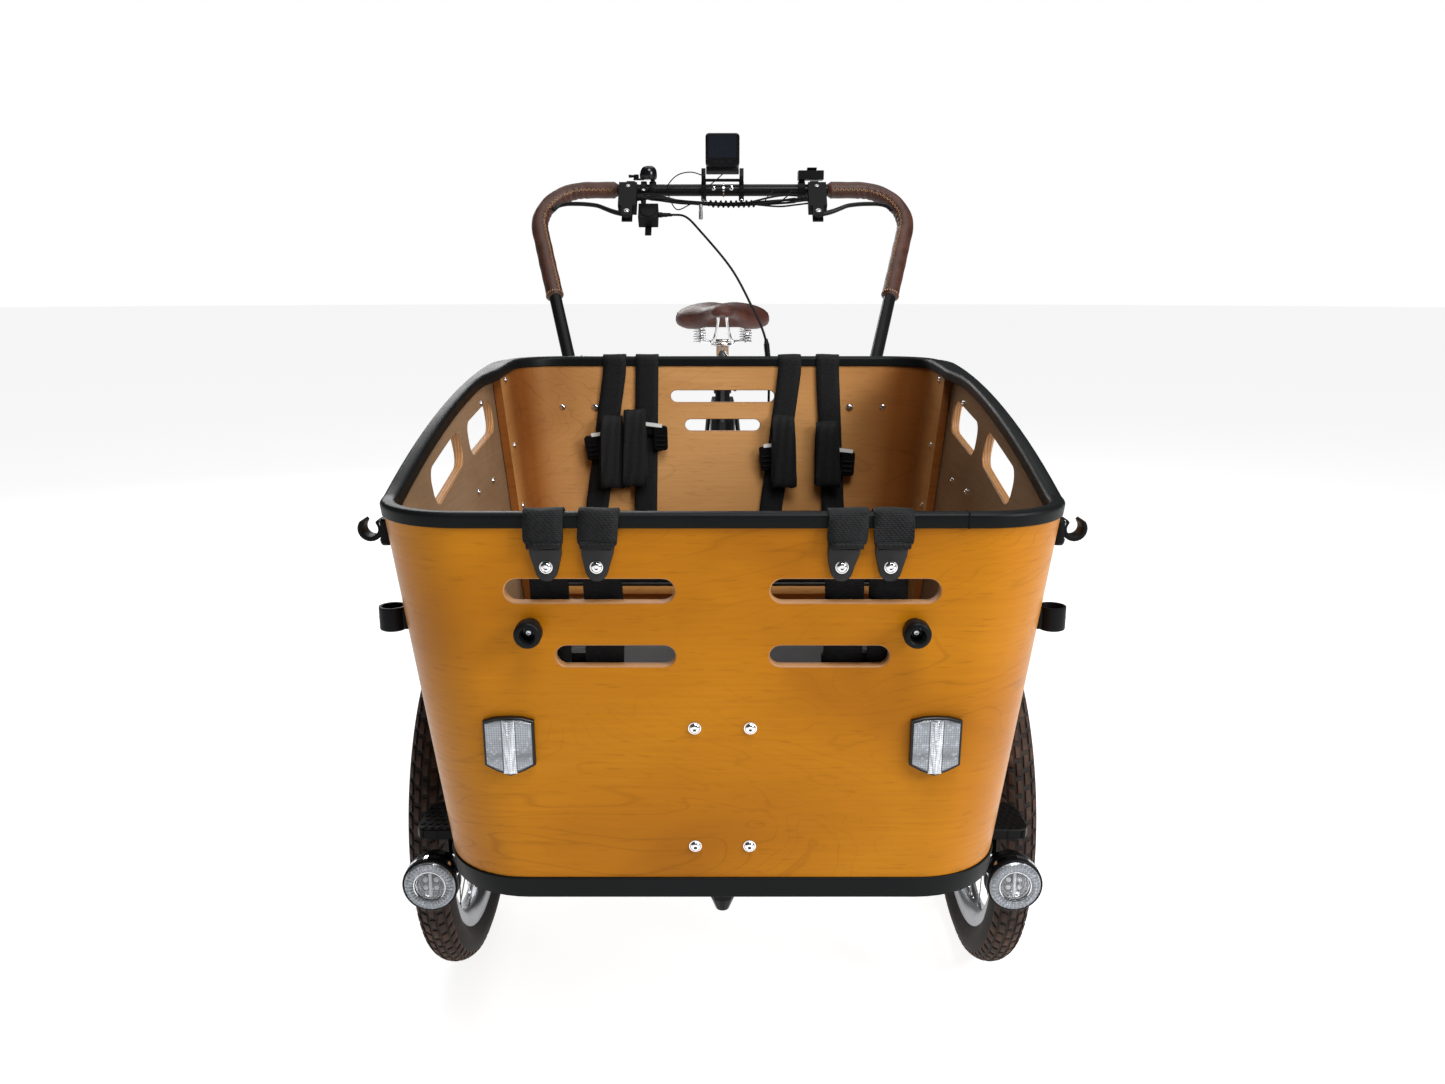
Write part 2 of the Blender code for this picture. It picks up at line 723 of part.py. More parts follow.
def add_subframe(bike):
    """Rails, cross members, axle beam with stub axles, and the king pin in its yoke plate."""
    parts = []
    for side in SIDES.values():
        x = side * RAIL_X
        parts.append(box((x - 0.0151, -0.400, RAIL_LOW), (x + 0.0151, 0.270, RAIL_TOP)))
        parts.append(box((x - 0.030, -0.018, 0.240), (x + 0.030, 0.018, RAIL_LOW + 0.005)))
    for y, half in ((-0.332, 0.300), (-0.300, 0.334), (0.250, 0.285)):
        parts.append(box((-half, y - 0.0115, RAIL_LOW + 0.0002), (half, y + 0.0115, 0.3200)))
    for side in SIDES.values():
        low_x, high_x = sorted((side * 0.297, side * (LIGHT_X - 0.0337)))
        parts.append(box((low_x, -0.341, 0.294), (high_x, -0.325, 0.3135)))
        parts.append(box((side * LEG_X - 0.016, 0.245, 0.3012), (side * LEG_X + 0.016, 0.370, 0.3190)))
    parts.append(box((-RAIL_X - 0.01, PIVOT_Y - 0.04, 0.2885), (RAIL_X + 0.01, PIVOT_Y + 0.04, 0.3202)))
    parts.append(box((-0.305, -0.0203, 0.235), (0.305, 0.0203, 0.275)))
    axle_z = FRONT_RADIUS
    for side in SIDES.values():
        parts.append(rod((side * 0.290, 0, axle_z), (side * 0.430, 0, axle_z), AXLE_RADIUS, 12))
    nut = [(0, PIN_RADIUS), (0.129, PIN_RADIUS), (0.1295, 0.0165), (0.144, 0.0165), (0.162, 0.009)]
    parts.append(lathe((0, PIVOT_Y, PIN_LOW_Z + 0.162), (0, 0, -1), nut, 12))
    bike.add("chassis", join(*parts), "black_frame", "carriage")


def tyre_profile(half, outer, bead):
    """A tyre's closed section: flat where it sits on the rim, round outside."""
    middle = (outer + bead) / 2
    tall = (outer - bead) / 2
    profile = [(0.55 * half, bead), (-0.55 * half, bead)]
    for angle in range(196, -17, -35):
        turn = math.radians(angle)
        profile.append((half * math.cos(turn), middle + tall * math.sin(turn)))
    return profile


def wheel_solid(centre, rim_radius, hub_profile, flange_x, flange_radius, bore, sides):
    """Rim, spokes and hub of one wheel as one body with a bore for its axle."""
    x, y, z = centre
    deep = rim_radius - RIM_DEPTH
    section = [(0.016, rim_radius - GAP), (-0.016, rim_radius - GAP), (-0.016, deep + 0.006)]
    section += [(-0.009, deep), (0.009, deep), (0.016, deep + 0.006)]
    rim = hoop(centre, section, sides)
    spokes = []
    for i in range(SPOKES):
        turn = 2 * math.pi * (i + 0.5) / SPOKES
        lean = turn + (0.3 if i % 4 < 2 else -0.3)
        side = 1 if i % 2 else -1
        out = Vector((0, math.cos(turn), math.sin(turn)))
        inward = Vector((0, math.cos(lean), math.sin(lean)))
        start = Vector(centre) + inward * (flange_radius - 0.004) + Vector((side * flange_x, 0, 0))
        spokes.append(rod(start, Vector(centre) + out * (deep + 0.008), 0.0016, 4))
    hub = lathe((x, y, z), (1, 0, 0), hub_profile, 16)
    whole = join(rim, gathered(spokes), hub)
    return cut(whole, rod((x - 0.2, y, z), (x + 0.2, y, z), bore, 12))


def add_front_wheels(bike):
    """Each front hub carries a drum brake on the side toward the box."""
    for name, side in SIDES.items():
        centre = Vector((side * TRACK_HALF, 0, FRONT_RADIUS))
        bike.body(f"front_wheel_{name}", centre, "carriage")
        inward = -side
        hub = [(0.058, 0.042), (0.031, 0.046), (0.030, 0.022), (0.020, 0.017), (-0.020, 0.017)]
        hub += [(-0.022, 0.030), (-0.026, 0.030), (-0.028, 0.016), (-0.044, 0.016)]
        hub = [(inward * along, radius) for along, radius in hub]
        wheel = wheel_solid(centre, FRONT_RIM_RADIUS, hub, 0.024, 0.030, AXLE_RADIUS + 0.0006, 28)
        bike.add(f"front_wheel_{name}", wheel, "alloy", f"front_wheel_{name}")
        profile = tyre_profile(FRONT_TYRE_HALF, FRONT_RADIUS, FRONT_RIM_RADIUS)
        bike.add(f"front_tyre_{name}", hoop(centre, profile, 28), "tyre_rubber", f"front_wheel_{name}")


# ---------------------------------------------------------------- push bar and controls


def on_bar(x, down, face=0.0):
    """A point by its place along the bar, down its plane and out from its face."""
    return Vector((x, BAR_Y, BAR_Z)) + DOWN * down + FACE * face


def bar_block(x_range, down_range, face_range):
    """A block square to the bar's plane."""
    rings = []
    for x in x_range:
        corners = ((0, 0), (1, 0), (1, 1), (0, 1))
        rings.append([on_bar(x, down_range[i], face_range[j]) for i, j in corners])
    return skin(rings)


def bar_corners(side):
    knee = Vector((side * (LEG_X + 0.002), LEG_Y + 0.001, LEG_KNEE_Z))
    corner = Vector((side * BAR_CORNER_X, BAR_Y, BAR_Z))
    grip_end = corner.lerp(knee, GRIP_END_SHARE)
    grip_start = Vector((side * GRIP_START_X, BAR_Y, BAR_Z))
    foot = Vector((side * LEG_X, LEG_Y, 0.3193))
    return foot, knee, grip_end, corner, grip_start


def add_push_bar(bike):
    left, right = bar_corners(1), bar_corners(-1)
    path = []
    for corners, order in ((left, 1), (right, -1)):
        foot, knee, grip_end, corner, grip_start = corners
        leg = fillet([foot, knee, grip_end], BAR_BEND, 4)
        bend = fillet([grip_end, corner, grip_start], BAR_BEND, 7)
        path += (leg[:-1] + bend)[::order]
    parts = [sweep(path, round_section(BAR_RADIUS, 10), FACE)]
    for side in SIDES.values():
        x = side * LEG_X
        parts.append(box((x - 0.042, 0.3342, 0.766), (x + 0.042, 0.3520, 0.792)))
    bike.add("push_bar", join(*parts), "black_frame", "carriage")
    for name, side in SIDES.items():
        _, _, grip_end, corner, grip_start = bar_corners(side)
        bend = fillet([grip_end, corner, grip_start], BAR_BEND, 7)
        wrap = sleeve(bend, BAR_RADIUS + GAP, GRIP_RADIUS, FACE, 10)
        bike.add(f"grip_{name}", wrap, "leather", "carriage")


DISPLAY_ARM = [(0.676, 1.163), (0.696, 1.163), (0.680, 1.193), (0.662, 1.193), (0.656, 1.178)]
LEVER_X = 0.178
LEVER_DOWN = 0.083
LEVER_FACE = 0.022


def add_brake_levers(bike):
    """A clamped housing with a forked end on each side, and the lever that it holds."""
    for name, side in SIDES.items():
        ring = collar(side * 0.175 - 0.008, side * 0.175 + 0.008, BAR_Y, BAR_Z, BAR_RADIUS + GAP, 0.0165)
        body_x = sorted((side * 0.161, side * 0.195))
        body = cut(
            bar_block(body_x, (0.010, 0.070), (0.006, 0.031)),
            rod((side * 0.15, BAR_Y, BAR_Z), (side * 0.21, BAR_Y, BAR_Z), 0.0135, 16),
        )
        ear_x = sorted((side * 0.168, side * 0.188))
        ears = [bar_block(ear_x, (0.066, 0.094), faces) for faces in ((0.0130, 0.0165), (0.0275, 0.0310))]
        bike.add(f"brake_housing_{name}", join(ring, body, *ears), "black_frame", "carriage")

        pivot = on_bar(side * LEVER_X, LEVER_DOWN, LEVER_FACE)
        bike.body(f"brake_lever_{name}", pivot, "carriage")
        stops = [(0.176, 0.083), (0.205, 0.078), (0.2345, 0.062)]
        stops += [(0.274, 0.058), (0.300, 0.0585), (0.3145, 0.0705)]
        path = smooth_path([on_bar(side * x, down, LEVER_FACE) for x, down in stops], 2)
        blade = sweep(path, round_section(0.0042, 8), FACE)
        boss = lathe(pivot - FACE * 0.005, FACE, [(0, 0.008), (0.010, 0.008)], 14)
        bike.add(f"brake_lever_{name}", join(boss, blade), "black_frame", f"brake_lever_{name}")


def add_bell(bike):
    x = -0.1415
    ring = collar(-0.139, -0.127, BAR_Y, BAR_Z, BAR_RADIUS + GAP, 0.0160)
    stem = rod((-0.133, BAR_Y, BAR_Z + 0.0135), (-0.133, BAR_Y, 1.176), 0.004, 8)
    dome = [(0, 0.0150), (0.004, 0.0165), (0.016, 0.0160), (0.022, 0.0120), (0.0255, 0.004)]
    cup = lathe((x, BAR_Y + 0.002, 1.1745), (0, 0, 1), dome, 16)
    tab = box((-0.1700, BAR_Y - 0.003, 1.1735), (-0.150, BAR_Y + 0.007, 1.1765))
    bike.add("bell", join(ring, stem, cup, tab), "black_frame", "carriage")
    pivot = Vector((-0.1647, BAR_Y + 0.002, 1.177))
    bike.body("bell_striker", pivot, "carriage")
    boss = lathe(pivot, (0, 0, 1), [(0, 0.0050), (0.007, 0.0050)], 12)
    arm = box((-0.179, BAR_Y - 0.001, 1.178), (-0.1655, BAR_Y + 0.005, 1.1835))
    bike.add("bell_striker", join(boss, arm), "black_frame", "bell_striker")


def add_shifter(bike):
    ring = collar(-0.1555, -0.1445, BAR_Y, BAR_Z, BAR_RADIUS + GAP, 0.0160)
    neck = bar_block((-0.1545, -0.1455), (0.0135, 0.053), (-0.006, 0.006))
    pod = bar_block((-0.158, -0.121), (0.048, 0.084), (-0.012, 0.014))
    outlet = rod(on_bar(-0.123, 0.064), on_bar(-0.098, 0.063), 0.0035, 8)
    bike.add("gear_shifter", join(ring, neck, pod, outlet), "black_frame", "carriage")
    pivot = on_bar(-0.140, 0.068, -0.0125)
    bike.body("shift_paddle", pivot, "carriage")
    boss = lathe(pivot, -FACE, [(0, 0.008), (0.0045, 0.008)], 12)
    blade = bar_block((-0.146, -0.134), (0.070, 0.100), (-0.0165, -0.0130))
    bike.add("shift_paddle", join(boss, blade), "black_frame", "shift_paddle")


def add_assist_controls(bike):
    """Control pad with a rocker beside the left grip, and a tilting display on a bracket."""
    ring = collar(0.144, 0.157, BAR_Y, BAR_Z, BAR_RADIUS + GAP, 0.0160)
    post = box((0.1455, BAR_Y - 0.006, BAR_Z + 0.0135), (0.1565, BAR_Y + 0.006, 1.176))
    pad = box((0.1440, BAR_Y - 0.016, 1.1735), (0.192, BAR_Y + 0.016, 1.190))
    bike.add("control_pad", join(ring, post, pad), "black_trim", "carriage")
    pivot = Vector((0.170, BAR_Y, 1.1912))
    bike.body("assist_rocker", pivot, "carriage")
    rocker = [(-0.0100, 0.0022), (-0.0100, 0.0045), (0, 0.0030), (0.0100, 0.0045), (0.0100, 0.0022), (0, 0)]
    outline = placed(pivot + Vector((-0.009, 0, 0)), (0, 1, 0), (0, 0, 1))
    bike.add("assist_rocker", slab(rocker, outline, 0.018), "gloss_black", "assist_rocker")

    hinge = Vector((0, 0.668, 1.186))
    parts = []
    for side in SIDES.values():
        x = side * 0.036
        parts.append(collar(x - 0.0045, x + 0.0045, BAR_Y, BAR_Z, BAR_RADIUS + GAP, 0.0160))
        arm = plate(x - 0.0038, x + 0.0038, DISPLAY_ARM)
        parts.append(cut(arm, rod((x - 0.02, BAR_Y, BAR_Z), (x + 0.02, BAR_Y, BAR_Z), 0.0135, 16)))
    parts.append(rod((-0.036, 0.677, 1.1725), (0.036, 0.677, 1.1725), 0.003, 8))
    bike.add("display_bracket", join(*parts), "black_frame", "carriage")
    bike.body("display", hinge, "carriage")
    lug = box((-0.031, hinge.y - 0.004, hinge.z - 0.004), (0.031, hinge.y + 0.004, 1.198))
    upright = placed((0, 0.674, 1.2255), (1, 0, 0), (0, 0, 1))
    case = slab(rounded_rectangle(0.064, 0.060, 0.006, 2), upright, 0.018)
    bike.add("display", join(lug, case), "gloss_black", "display")


def cord(bike, name, corners, radius, count):
    """A flexible cable as a bevelled curve through its own points."""
    path = smooth_path(corners, count)
    origin = bike.bodies["carriage"][1]
    curve = bpy.data.curves.new(name, "CURVE")
    curve.dimensions = "3D"
    curve.bevel_depth = radius
    curve.bevel_resolution = 2
    curve.use_fill_caps = True
    spline = curve.splines.new("POLY")
    spline.points.add(len(path) - 1)
    for point, place in zip(spline.points, path):
        point.co = (*(place - origin), 1)
    curve.materials.append(bike.materials["black_trim"])
    obj = bpy.data.objects.new(name, curve)
    obj.parent = bike.bodies["carriage"][0]
    bpy.context.scene.collection.objects.link(obj)


def add_cables(bike):
    """Gear cable down behind the box, and the loom between the brake housings."""
    gear = [on_bar(-0.0975, 0.063), on_bar(-0.070, 0.068), (-0.042, 0.620, 1.077), (0.0156, 0.550, 1.008)]
    gear += [(0.0517, 0.450, 0.9406), (0.072, 0.378, 0.892), (0.078, 0.354, 0.840), (0.078, 0.350, 0.740)]
    gear += [(0.078, 0.350, 0.600), (0.078, 0.350, 0.460), (0.078, 0.350, 0.350)]
    cord(bike, "gear_cable", gear, 0.0022, 3)
    loom = [on_bar(-0.1605, 0.044, 0.024), on_bar(-0.120, 0.046, 0.024), on_bar(-0.070, 0.044, 0.012)]
    loom += [on_bar(0, 0.042, 0.006), on_bar(0.070, 0.046, 0.012), on_bar(0.120, 0.050, 0.022)]
    loom += [on_bar(0.1605, 0.048, 0.024)]
    cord(bike, "control_loom", loom, 0.0045, 3)


# ---------------------------------------------------------------- rider's frame


def add_main_frame(bike):
    """Beam under the box, main tube, seat tube and stays as one welded frame."""
    bracket = Vector((0, BRACKET_Y, BRACKET_Z))
    rear = Vector((0, WHEELBASE, REAR_RADIUS))
    seat_axis = (SEAT_TUBE_TOP - bracket).normalized()
    parts = [rod((0, PIVOT_Y, 0.1665), (0, PIVOT_Y, 0.2875), 0.024, 12)]
    beam = [(0, PIVOT_Y, BEAM_Z), (0, 0.560, BEAM_Z), (0, 1.090, 0.650)]
    parts.append(sweep(fillet(beam, 0.16, 5), round_section(0.027, 12), (1, 0, 0)))
    parts.append(rod((0, 0.520, BEAM_Z + 0.004), bracket, 0.018, 12))
    parts.append(rod(bracket, SEAT_TUBE_TOP, SEAT_TUBE_RADIUS, 12))
    parts.append(rod(SEAT_TUBE_TOP - seat_axis * 0.022, SEAT_TUBE_TOP - seat_axis * 0.0003, 0.0215, 12))
    parts.append(rod(bracket - Vector((0.036, 0, 0)), bracket + Vector((0.036, 0, 0)), 0.022, 14))
    for side in SIDES.values():
        end = rear + Vector((side * 0.0655, 0, 0))
        stay_end = Vector((side * 0.060, 1.346, REAR_RADIUS - 0.004))
        parts.append(rod(bracket + Vector((side * 0.030, 0, 0)), stay_end, 0.009, 8))
        top = SEAT_TUBE_TOP - seat_axis * 0.060
        shoulder = top + Vector((side * 0.034, 0.012, -0.012))
        parts.append(rod(top + Vector((side * 0.010, -0.004, 0)), shoulder, 0.009, 8))
        stay_end = end + Vector((side * 0.0010, -0.008, 0.014))
        parts.append(rod(top + Vector((side * 0.032, 0.010, -0.010)), stay_end, 0.0055, 8))
        low_x, high_x = sorted((end.x - side * 0.003, end.x + side * 0.003))
        parts.append(box((low_x, end.y - 0.064, end.z - 0.018), (high_x, end.y + 0.018, end.z + 0.026)))
    frame = cut(
        join(*parts),
        rod((0, PIVOT_Y, 0.10), (0, PIVOT_Y, 0.35), PIN_RADIUS + 0.0006, 12),
        rod(bracket - Vector((0.06, 0, 0)), bracket + Vector((0.06, 0, 0)), 0.0128, 14),
        rod(SEAT_TUBE_TOP - seat_axis * 0.300, SEAT_TUBE_TOP + seat_axis * 0.02, POST_RADIUS + 0.0006, 14),
        rod(rear - Vector((0.09, 0, 0)), rear + Vector((0.09, 0, 0)), 0.0060, 12),
    )
    bike.add("main_frame", frame, "black_frame", "rider_frame")


def add_rear_end(bike):
    rear = Vector((0, WHEELBASE, REAR_RADIUS))
    axle = [(0, 0.0095), (0.010, 0.0095), (0.010, 0.0054), (0.148, 0.0054), (0.148, 0.0095), (0.158, 0.0095)]
    bike.add("rear_axle", lathe(rear - Vector((0.079, 0, 0)), (1, 0, 0), axle, 12), "chrome", "rider_frame")

    arc = []
    for degrees in range(-12, 163, 12):
        turn = math.radians(degrees)
        arc.append(rear + Vector((0, math.cos(turn), math.sin(turn))) * 0.3555)
    half = [(0.002, 0.0275), (-0.010, 0.0310), (-0.0105, 0.0290), (0, 0.0260)]
    section = half + [(radial, -across) for radial, across in reversed(half)]
    guard = sweep(arc, section, (1, 0, 0))
    bike.add("rear_fender", guard, "black_frame", "rider_frame")

    slope = math.atan2(0.450, 0.530)
    along = Vector((0, math.cos(slope), math.sin(slope)))
    lift = Vector((0, -math.sin(slope), math.cos(slope)))
    start = Vector((0, 0.700, 0.319)) + lift * 0.0278
    upright = placed(start + lift * 0.039, (1, 0, 0), lift)
    case = slab(rounded_rectangle(0.068, 0.078, 0.012, 2), upright, -0.330)
    bike.add("battery", case, "black_trim", "rider_frame")


def wrap_line(pulleys):
    """Points round a chain that passes each (centre y, centre z, radius, turn) in order.

    Turn is 1 where the chain passes a pulley counterclockwise and -1 where it passes it clockwise.
    """
    count = len(pulleys)
    headings = []
    for (y1, z1, r1, s1), (y2, z2, r2, s2) in zip(pulleys, pulleys[1:] + pulleys[:1]):
        apart = math.hypot(y2 - y1, z2 - z1)
        headings.append(math.atan2(z2 - z1, y2 - y1) + math.asin((s1 * r1 - s2 * r2) / apart))
    points = []
    for i in range(count):
        y, z, radius, turn = pulleys[i]
        start = headings[i - 1] - turn * math.pi / 2
        sweep_angle = ((headings[i] - headings[i - 1]) * turn) % (2 * math.pi)
        steps = max(2, round(sweep_angle / math.radians(22)))
        for k in range(steps + 1):
            angle = start + turn * sweep_angle * k / steps
            reach = radius / math.cos(sweep_angle / steps / 2)
            points.append(Vector((CHAIN_X, y + reach * math.cos(angle), z + reach * math.sin(angle))))
    return points


UPPER_PULLEY = (1.408, 0.258)
LOWER_PULLEY = (1.378, 0.195)


def add_drivetrain(bike):
    """Cranks and chainring, coupled by the chain to a freewheel sprocket on the rear axle."""
    pitch = CHAIN_HALF + 0.0012
    line = wrap_line(
        [
            (BRACKET_Y, BRACKET_Z, CHAINRING_RADIUS + pitch, 1),
            (*LOWER_PULLEY, PULLEY_RADIUS + pitch, 1),
            (*UPPER_PULLEY, PULLEY_RADIUS + pitch, -1),
            (WHEELBASE, REAR_RADIUS, SPROCKET_RADIUS + pitch, 1),
        ]
    )
    links = sweep(line, flat_section(2 * CHAIN_HALF, 0.0056), (1, 0, 0), loop=True)
    bike.add("chain", links, "alloy", "rider_frame")

    parts = [
        box((-0.0605, 1.366, 0.186), (-0.0588, 1.420, 0.268)),
        box((-0.0760, 1.398, 0.250), (-0.0588, 1.424, 0.306)),
    ]
    for y, z in (UPPER_PULLEY, LOWER_PULLEY):
        parts.append(rod((-0.0600, y, z), (-0.0522, y, z), PULLEY_RADIUS, 14))
    bike.add("rear_derailleur", join(*parts), "black_frame", "rider_frame")

    centre = Vector((0, BRACKET_Y, BRACKET_Z))
    bike.body("crank", centre)
    spindle = rod(centre - Vector((0.070, 0, 0)), centre + Vector((0.070, 0, 0)), 0.0118, 14)
    rim = [(-0.0565, 0.070), (-0.0525, 0.070), (-0.0525, CHAINRING_RADIUS), (-0.0565, CHAINRING_RADIUS)]
    ring = hoop(centre, rim, 28)
    spider = []
    for i in range(5):
        turn = 2 * math.pi * i / 5
        out = Vector((0, math.cos(turn), math.sin(turn)))
        root = centre + Vector((-0.0560, 0, 0))
        spider.append(rod(root, root + Vector((0.0015, 0, 0)) + out * 0.076, 0.0050, 6))
    parts = [spindle, *spider, ring]
    for side, forward in ((-1, -1), (1, 1)):
        low_x, high_x = sorted((side * 0.0600, side * 0.0740))
        low_y, high_y = sorted((BRACKET_Y - forward * 0.018, BRACKET_Y + forward * (CRANK_LENGTH + 0.014)))
        parts.append(box((low_x, low_y, BRACKET_Z - 0.0125), (high_x, high_y, BRACKET_Z + 0.0125)))
        pedal_y = BRACKET_Y + forward * CRANK_LENGTH
        parts.append(rod((side * 0.066, pedal_y, BRACKET_Z), (side * 0.170, pedal_y, BRACKET_Z), 0.0058, 12))
    bike.add("crankset", join(*parts), "alloy", "crank")
    for name, forward in (("right", -1), ("left", 1)):
        side = SIDES[name]
        y = BRACKET_Y + forward * CRANK_LENGTH
        bike.body(f"pedal_{name}", (side * 0.066, y, BRACKET_Z), "crank")
        low_x, high_x = sorted((side * 0.0760, side * 0.1720))
        middle = Matrix.Translation(((low_x + high_x) / 2, y, BRACKET_Z - 0.0125))
        plate = slab(rounded_rectangle(high_x - low_x, 0.100, 0.010, 2), middle, 0.025)
        hole = rod((side * 0.05, y, BRACKET_Z), (side * 0.19, y, BRACKET_Z), 0.0064, 14)
        bike.add(f"pedal_{name}", cut(plate, hole), "black_trim", f"pedal_{name}")


def add_rear_wheel(bike):
    centre = Vector((0, WHEELBASE, REAR_RADIUS))
    bike.body("rear_wheel", centre)
    hub = [(-0.0455, 0.020), (-0.037, 0.022), (-0.034, 0.072), (-0.030, 0.076)]
    hub += [(0.030, 0.076), (0.034, 0.072), (0.038, 0.030), (0.0595, 0.020)]
    wheel = wheel_solid(centre, REAR_RIM_RADIUS, hub, 0.027, 0.076, 0.0060, 32)
    bike.add("rear_wheel", wheel, "alloy", "rear_wheel")
    profile = tyre_profile(REAR_TYRE_HALF, REAR_RADIUS, REAR_RIM_RADIUS)
    bike.add("rear_tyre", hoop(centre, profile, 32), "tyre_rubber", "rear_wheel")
    bike.body("rear_sprocket", centre)
    steps = [(-0.0588, SPROCKET_RADIUS - 0.012), (-0.0564, SPROCKET_RADIUS), (-0.0526, SPROCKET_RADIUS)]
    steps += [(-0.0524, SPROCKET_RADIUS - 0.004), (-0.0462, SPROCKET_RADIUS - 0.004)]
    cog = cut(lathe(centre, (1, 0, 0), steps, 20), rod(centre - Vector((0.1, 0, 0)), centre, 0.0062, 12))
    bike.add("rear_sprocket", cog, "alloy", "rear_sprocket")


SADDLE_SECTIONS = [
    (1.095, 0.014, 0.9225, 0.9027, 0.9027),
    (1.105, 0.026, 0.9300, 0.9027, 0.9027),
    (1.140, 0.031, 0.9340, 0.9027, 0.9027),
    (1.180, 0.042, 0.9320, 0.8930, 0.8930),
    (1.215, 0.068, 0.9300, 0.8700, 0.8775),
    (1.250, 0.100, 0.9320, 0.8660, 0.8775),
    (1.290, 0.117, 0.9360, 0.8690, 0.8775),
    (1.325, 0.108, 0.9380, 0.8740, 0.8775),
    (1.345, 0.070, 0.9360, 0.8840, 0.8840),
]
POST_RISE = 0.083
SPRING_X = 0.057
SPRING_Y = 1.285
RAIL_RADIUS = 0.0038


def saddle_section(y, half, crown, skirt, pan):
    """One outline across the saddle: crown arc, skirt edges and the raised pan between them."""
    waist = (crown + 2 * skirt) / 3
    ring = []
    for i in range(9):
        angle = math.pi * i / 8
        ring.append((half * math.cos(angle), y, waist + (crown - waist) * math.sin(angle) ** 0.6))
    ring += [(-half * 0.90, y, skirt), (-half * 0.80, y, skirt), (-half * 0.74, y, pan)]
    ring += [(half * 0.74, y, pan), (half * 0.80, y, skirt), (half * 0.90, y, skirt)]
    return ring


def add_saddle(bike):
    """Telescoping post with a clamp head, sprung rails and a leather saddle."""
    bracket = Vector((0, BRACKET_Y, BRACKET_Z))
    axis = (SEAT_TUBE_TOP - bracket).normalized()
    bike.body("saddle", SEAT_TUBE_TOP)
    top = SEAT_TUBE_TOP + axis * POST_RISE
    parts = [rod(SEAT_TUBE_TOP - axis * 0.200, top, POST_RADIUS, 14)]
    parts.append(box((-0.015, top.y - 0.014, top.z - 0.012), (0.015, top.y + 0.014, top.z + 0.010)))
    bike.add("seatpost", join(*parts), "chrome", "saddle")

    deck = top.z + 0.0104
    plate = box((-0.026, top.y - 0.020, deck), (0.026, top.y + 0.020, deck + 0.015))
    parts = [plate]
    for side in SIDES.values():
        rail = [(side * 0.010, 1.120, 0.8982), (side * 0.015, 1.123, deck + 0.032)]
        rail += [(side * 0.0215, top.y - 0.026, deck + 0.0098), (side * 0.0215, top.y + 0.026, deck + 0.0078)]
        rail.append((side * 0.0563, SPRING_Y + 0.0011, deck + 0.0105))
        parts.append(sweep(smooth_path(rail, 3), round_section(RAIL_RADIUS, 6), (0, 0, 1)))
        coil = [(0, 0.014), (0.004, 0.0165), (0.0350, 0.0165), (0.0380, 0.014)]
        parts.append(lathe((side * SPRING_X, SPRING_Y, deck + 0.0020), (0, 0, 1), coil, 12))
    bike.add("saddle_springs", join(*parts), "chrome", "saddle")
    bike.add("saddle", skin([saddle_section(*row) for row in SADDLE_SECTIONS]), "leather", "saddle")


def main():
    clear_scene()
    bike = Bicycle()
    bike.body("carriage", (0, PIVOT_Y, BEAM_Z))
    add_box(bike)
    add_benches(bike)
    add_harnesses(bike)
    add_front_fittings(bike)
    add_tent_fittings(bike)
    add_lights_and_steps(bike)
    add_subframe(bike)
    add_front_wheels(bike)
    add_push_bar(bike)
    add_brake_levers(bike)
    add_bell(bike)
    add_shifter(bike)
    add_assist_controls(bike)
    add_cables(bike)
    add_main_frame(bike)
    add_rear_end(bike)
    add_drivetrain(bike)
    add_rear_wheel(bike)
    add_saddle(bike)


main()
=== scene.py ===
"""Looks of the cargo bicycle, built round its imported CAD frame. Lengths are metres."""

import json
import math

import bmesh
import bpy
from mathutils import Matrix, Vector

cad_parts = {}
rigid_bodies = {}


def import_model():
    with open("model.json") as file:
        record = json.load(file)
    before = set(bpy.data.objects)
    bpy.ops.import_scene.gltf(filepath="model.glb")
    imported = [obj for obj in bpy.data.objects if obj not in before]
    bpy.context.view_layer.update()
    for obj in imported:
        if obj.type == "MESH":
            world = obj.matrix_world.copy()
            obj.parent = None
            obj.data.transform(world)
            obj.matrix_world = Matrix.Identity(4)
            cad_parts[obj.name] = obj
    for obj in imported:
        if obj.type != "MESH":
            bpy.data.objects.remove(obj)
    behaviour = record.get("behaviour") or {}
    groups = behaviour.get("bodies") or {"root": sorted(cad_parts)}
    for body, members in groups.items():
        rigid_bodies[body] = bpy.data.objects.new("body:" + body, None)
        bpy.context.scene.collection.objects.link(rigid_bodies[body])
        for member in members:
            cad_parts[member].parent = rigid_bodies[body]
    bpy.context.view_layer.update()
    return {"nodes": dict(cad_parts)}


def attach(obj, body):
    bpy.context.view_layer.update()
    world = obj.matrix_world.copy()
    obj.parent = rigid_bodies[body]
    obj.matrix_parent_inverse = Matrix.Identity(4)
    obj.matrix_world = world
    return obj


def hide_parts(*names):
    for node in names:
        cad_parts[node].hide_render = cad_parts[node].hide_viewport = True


for leftover in list(bpy.data.objects):
    bpy.data.objects.remove(leftover, do_unlink=True)

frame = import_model()
NODES = frame["nodes"]

# Sizes here are measured from above the front axle's middle, like the CAD model's own.
SHIFT = Vector((0, -0.626, 0))
SIDES = {"left": 1, "right": -1}

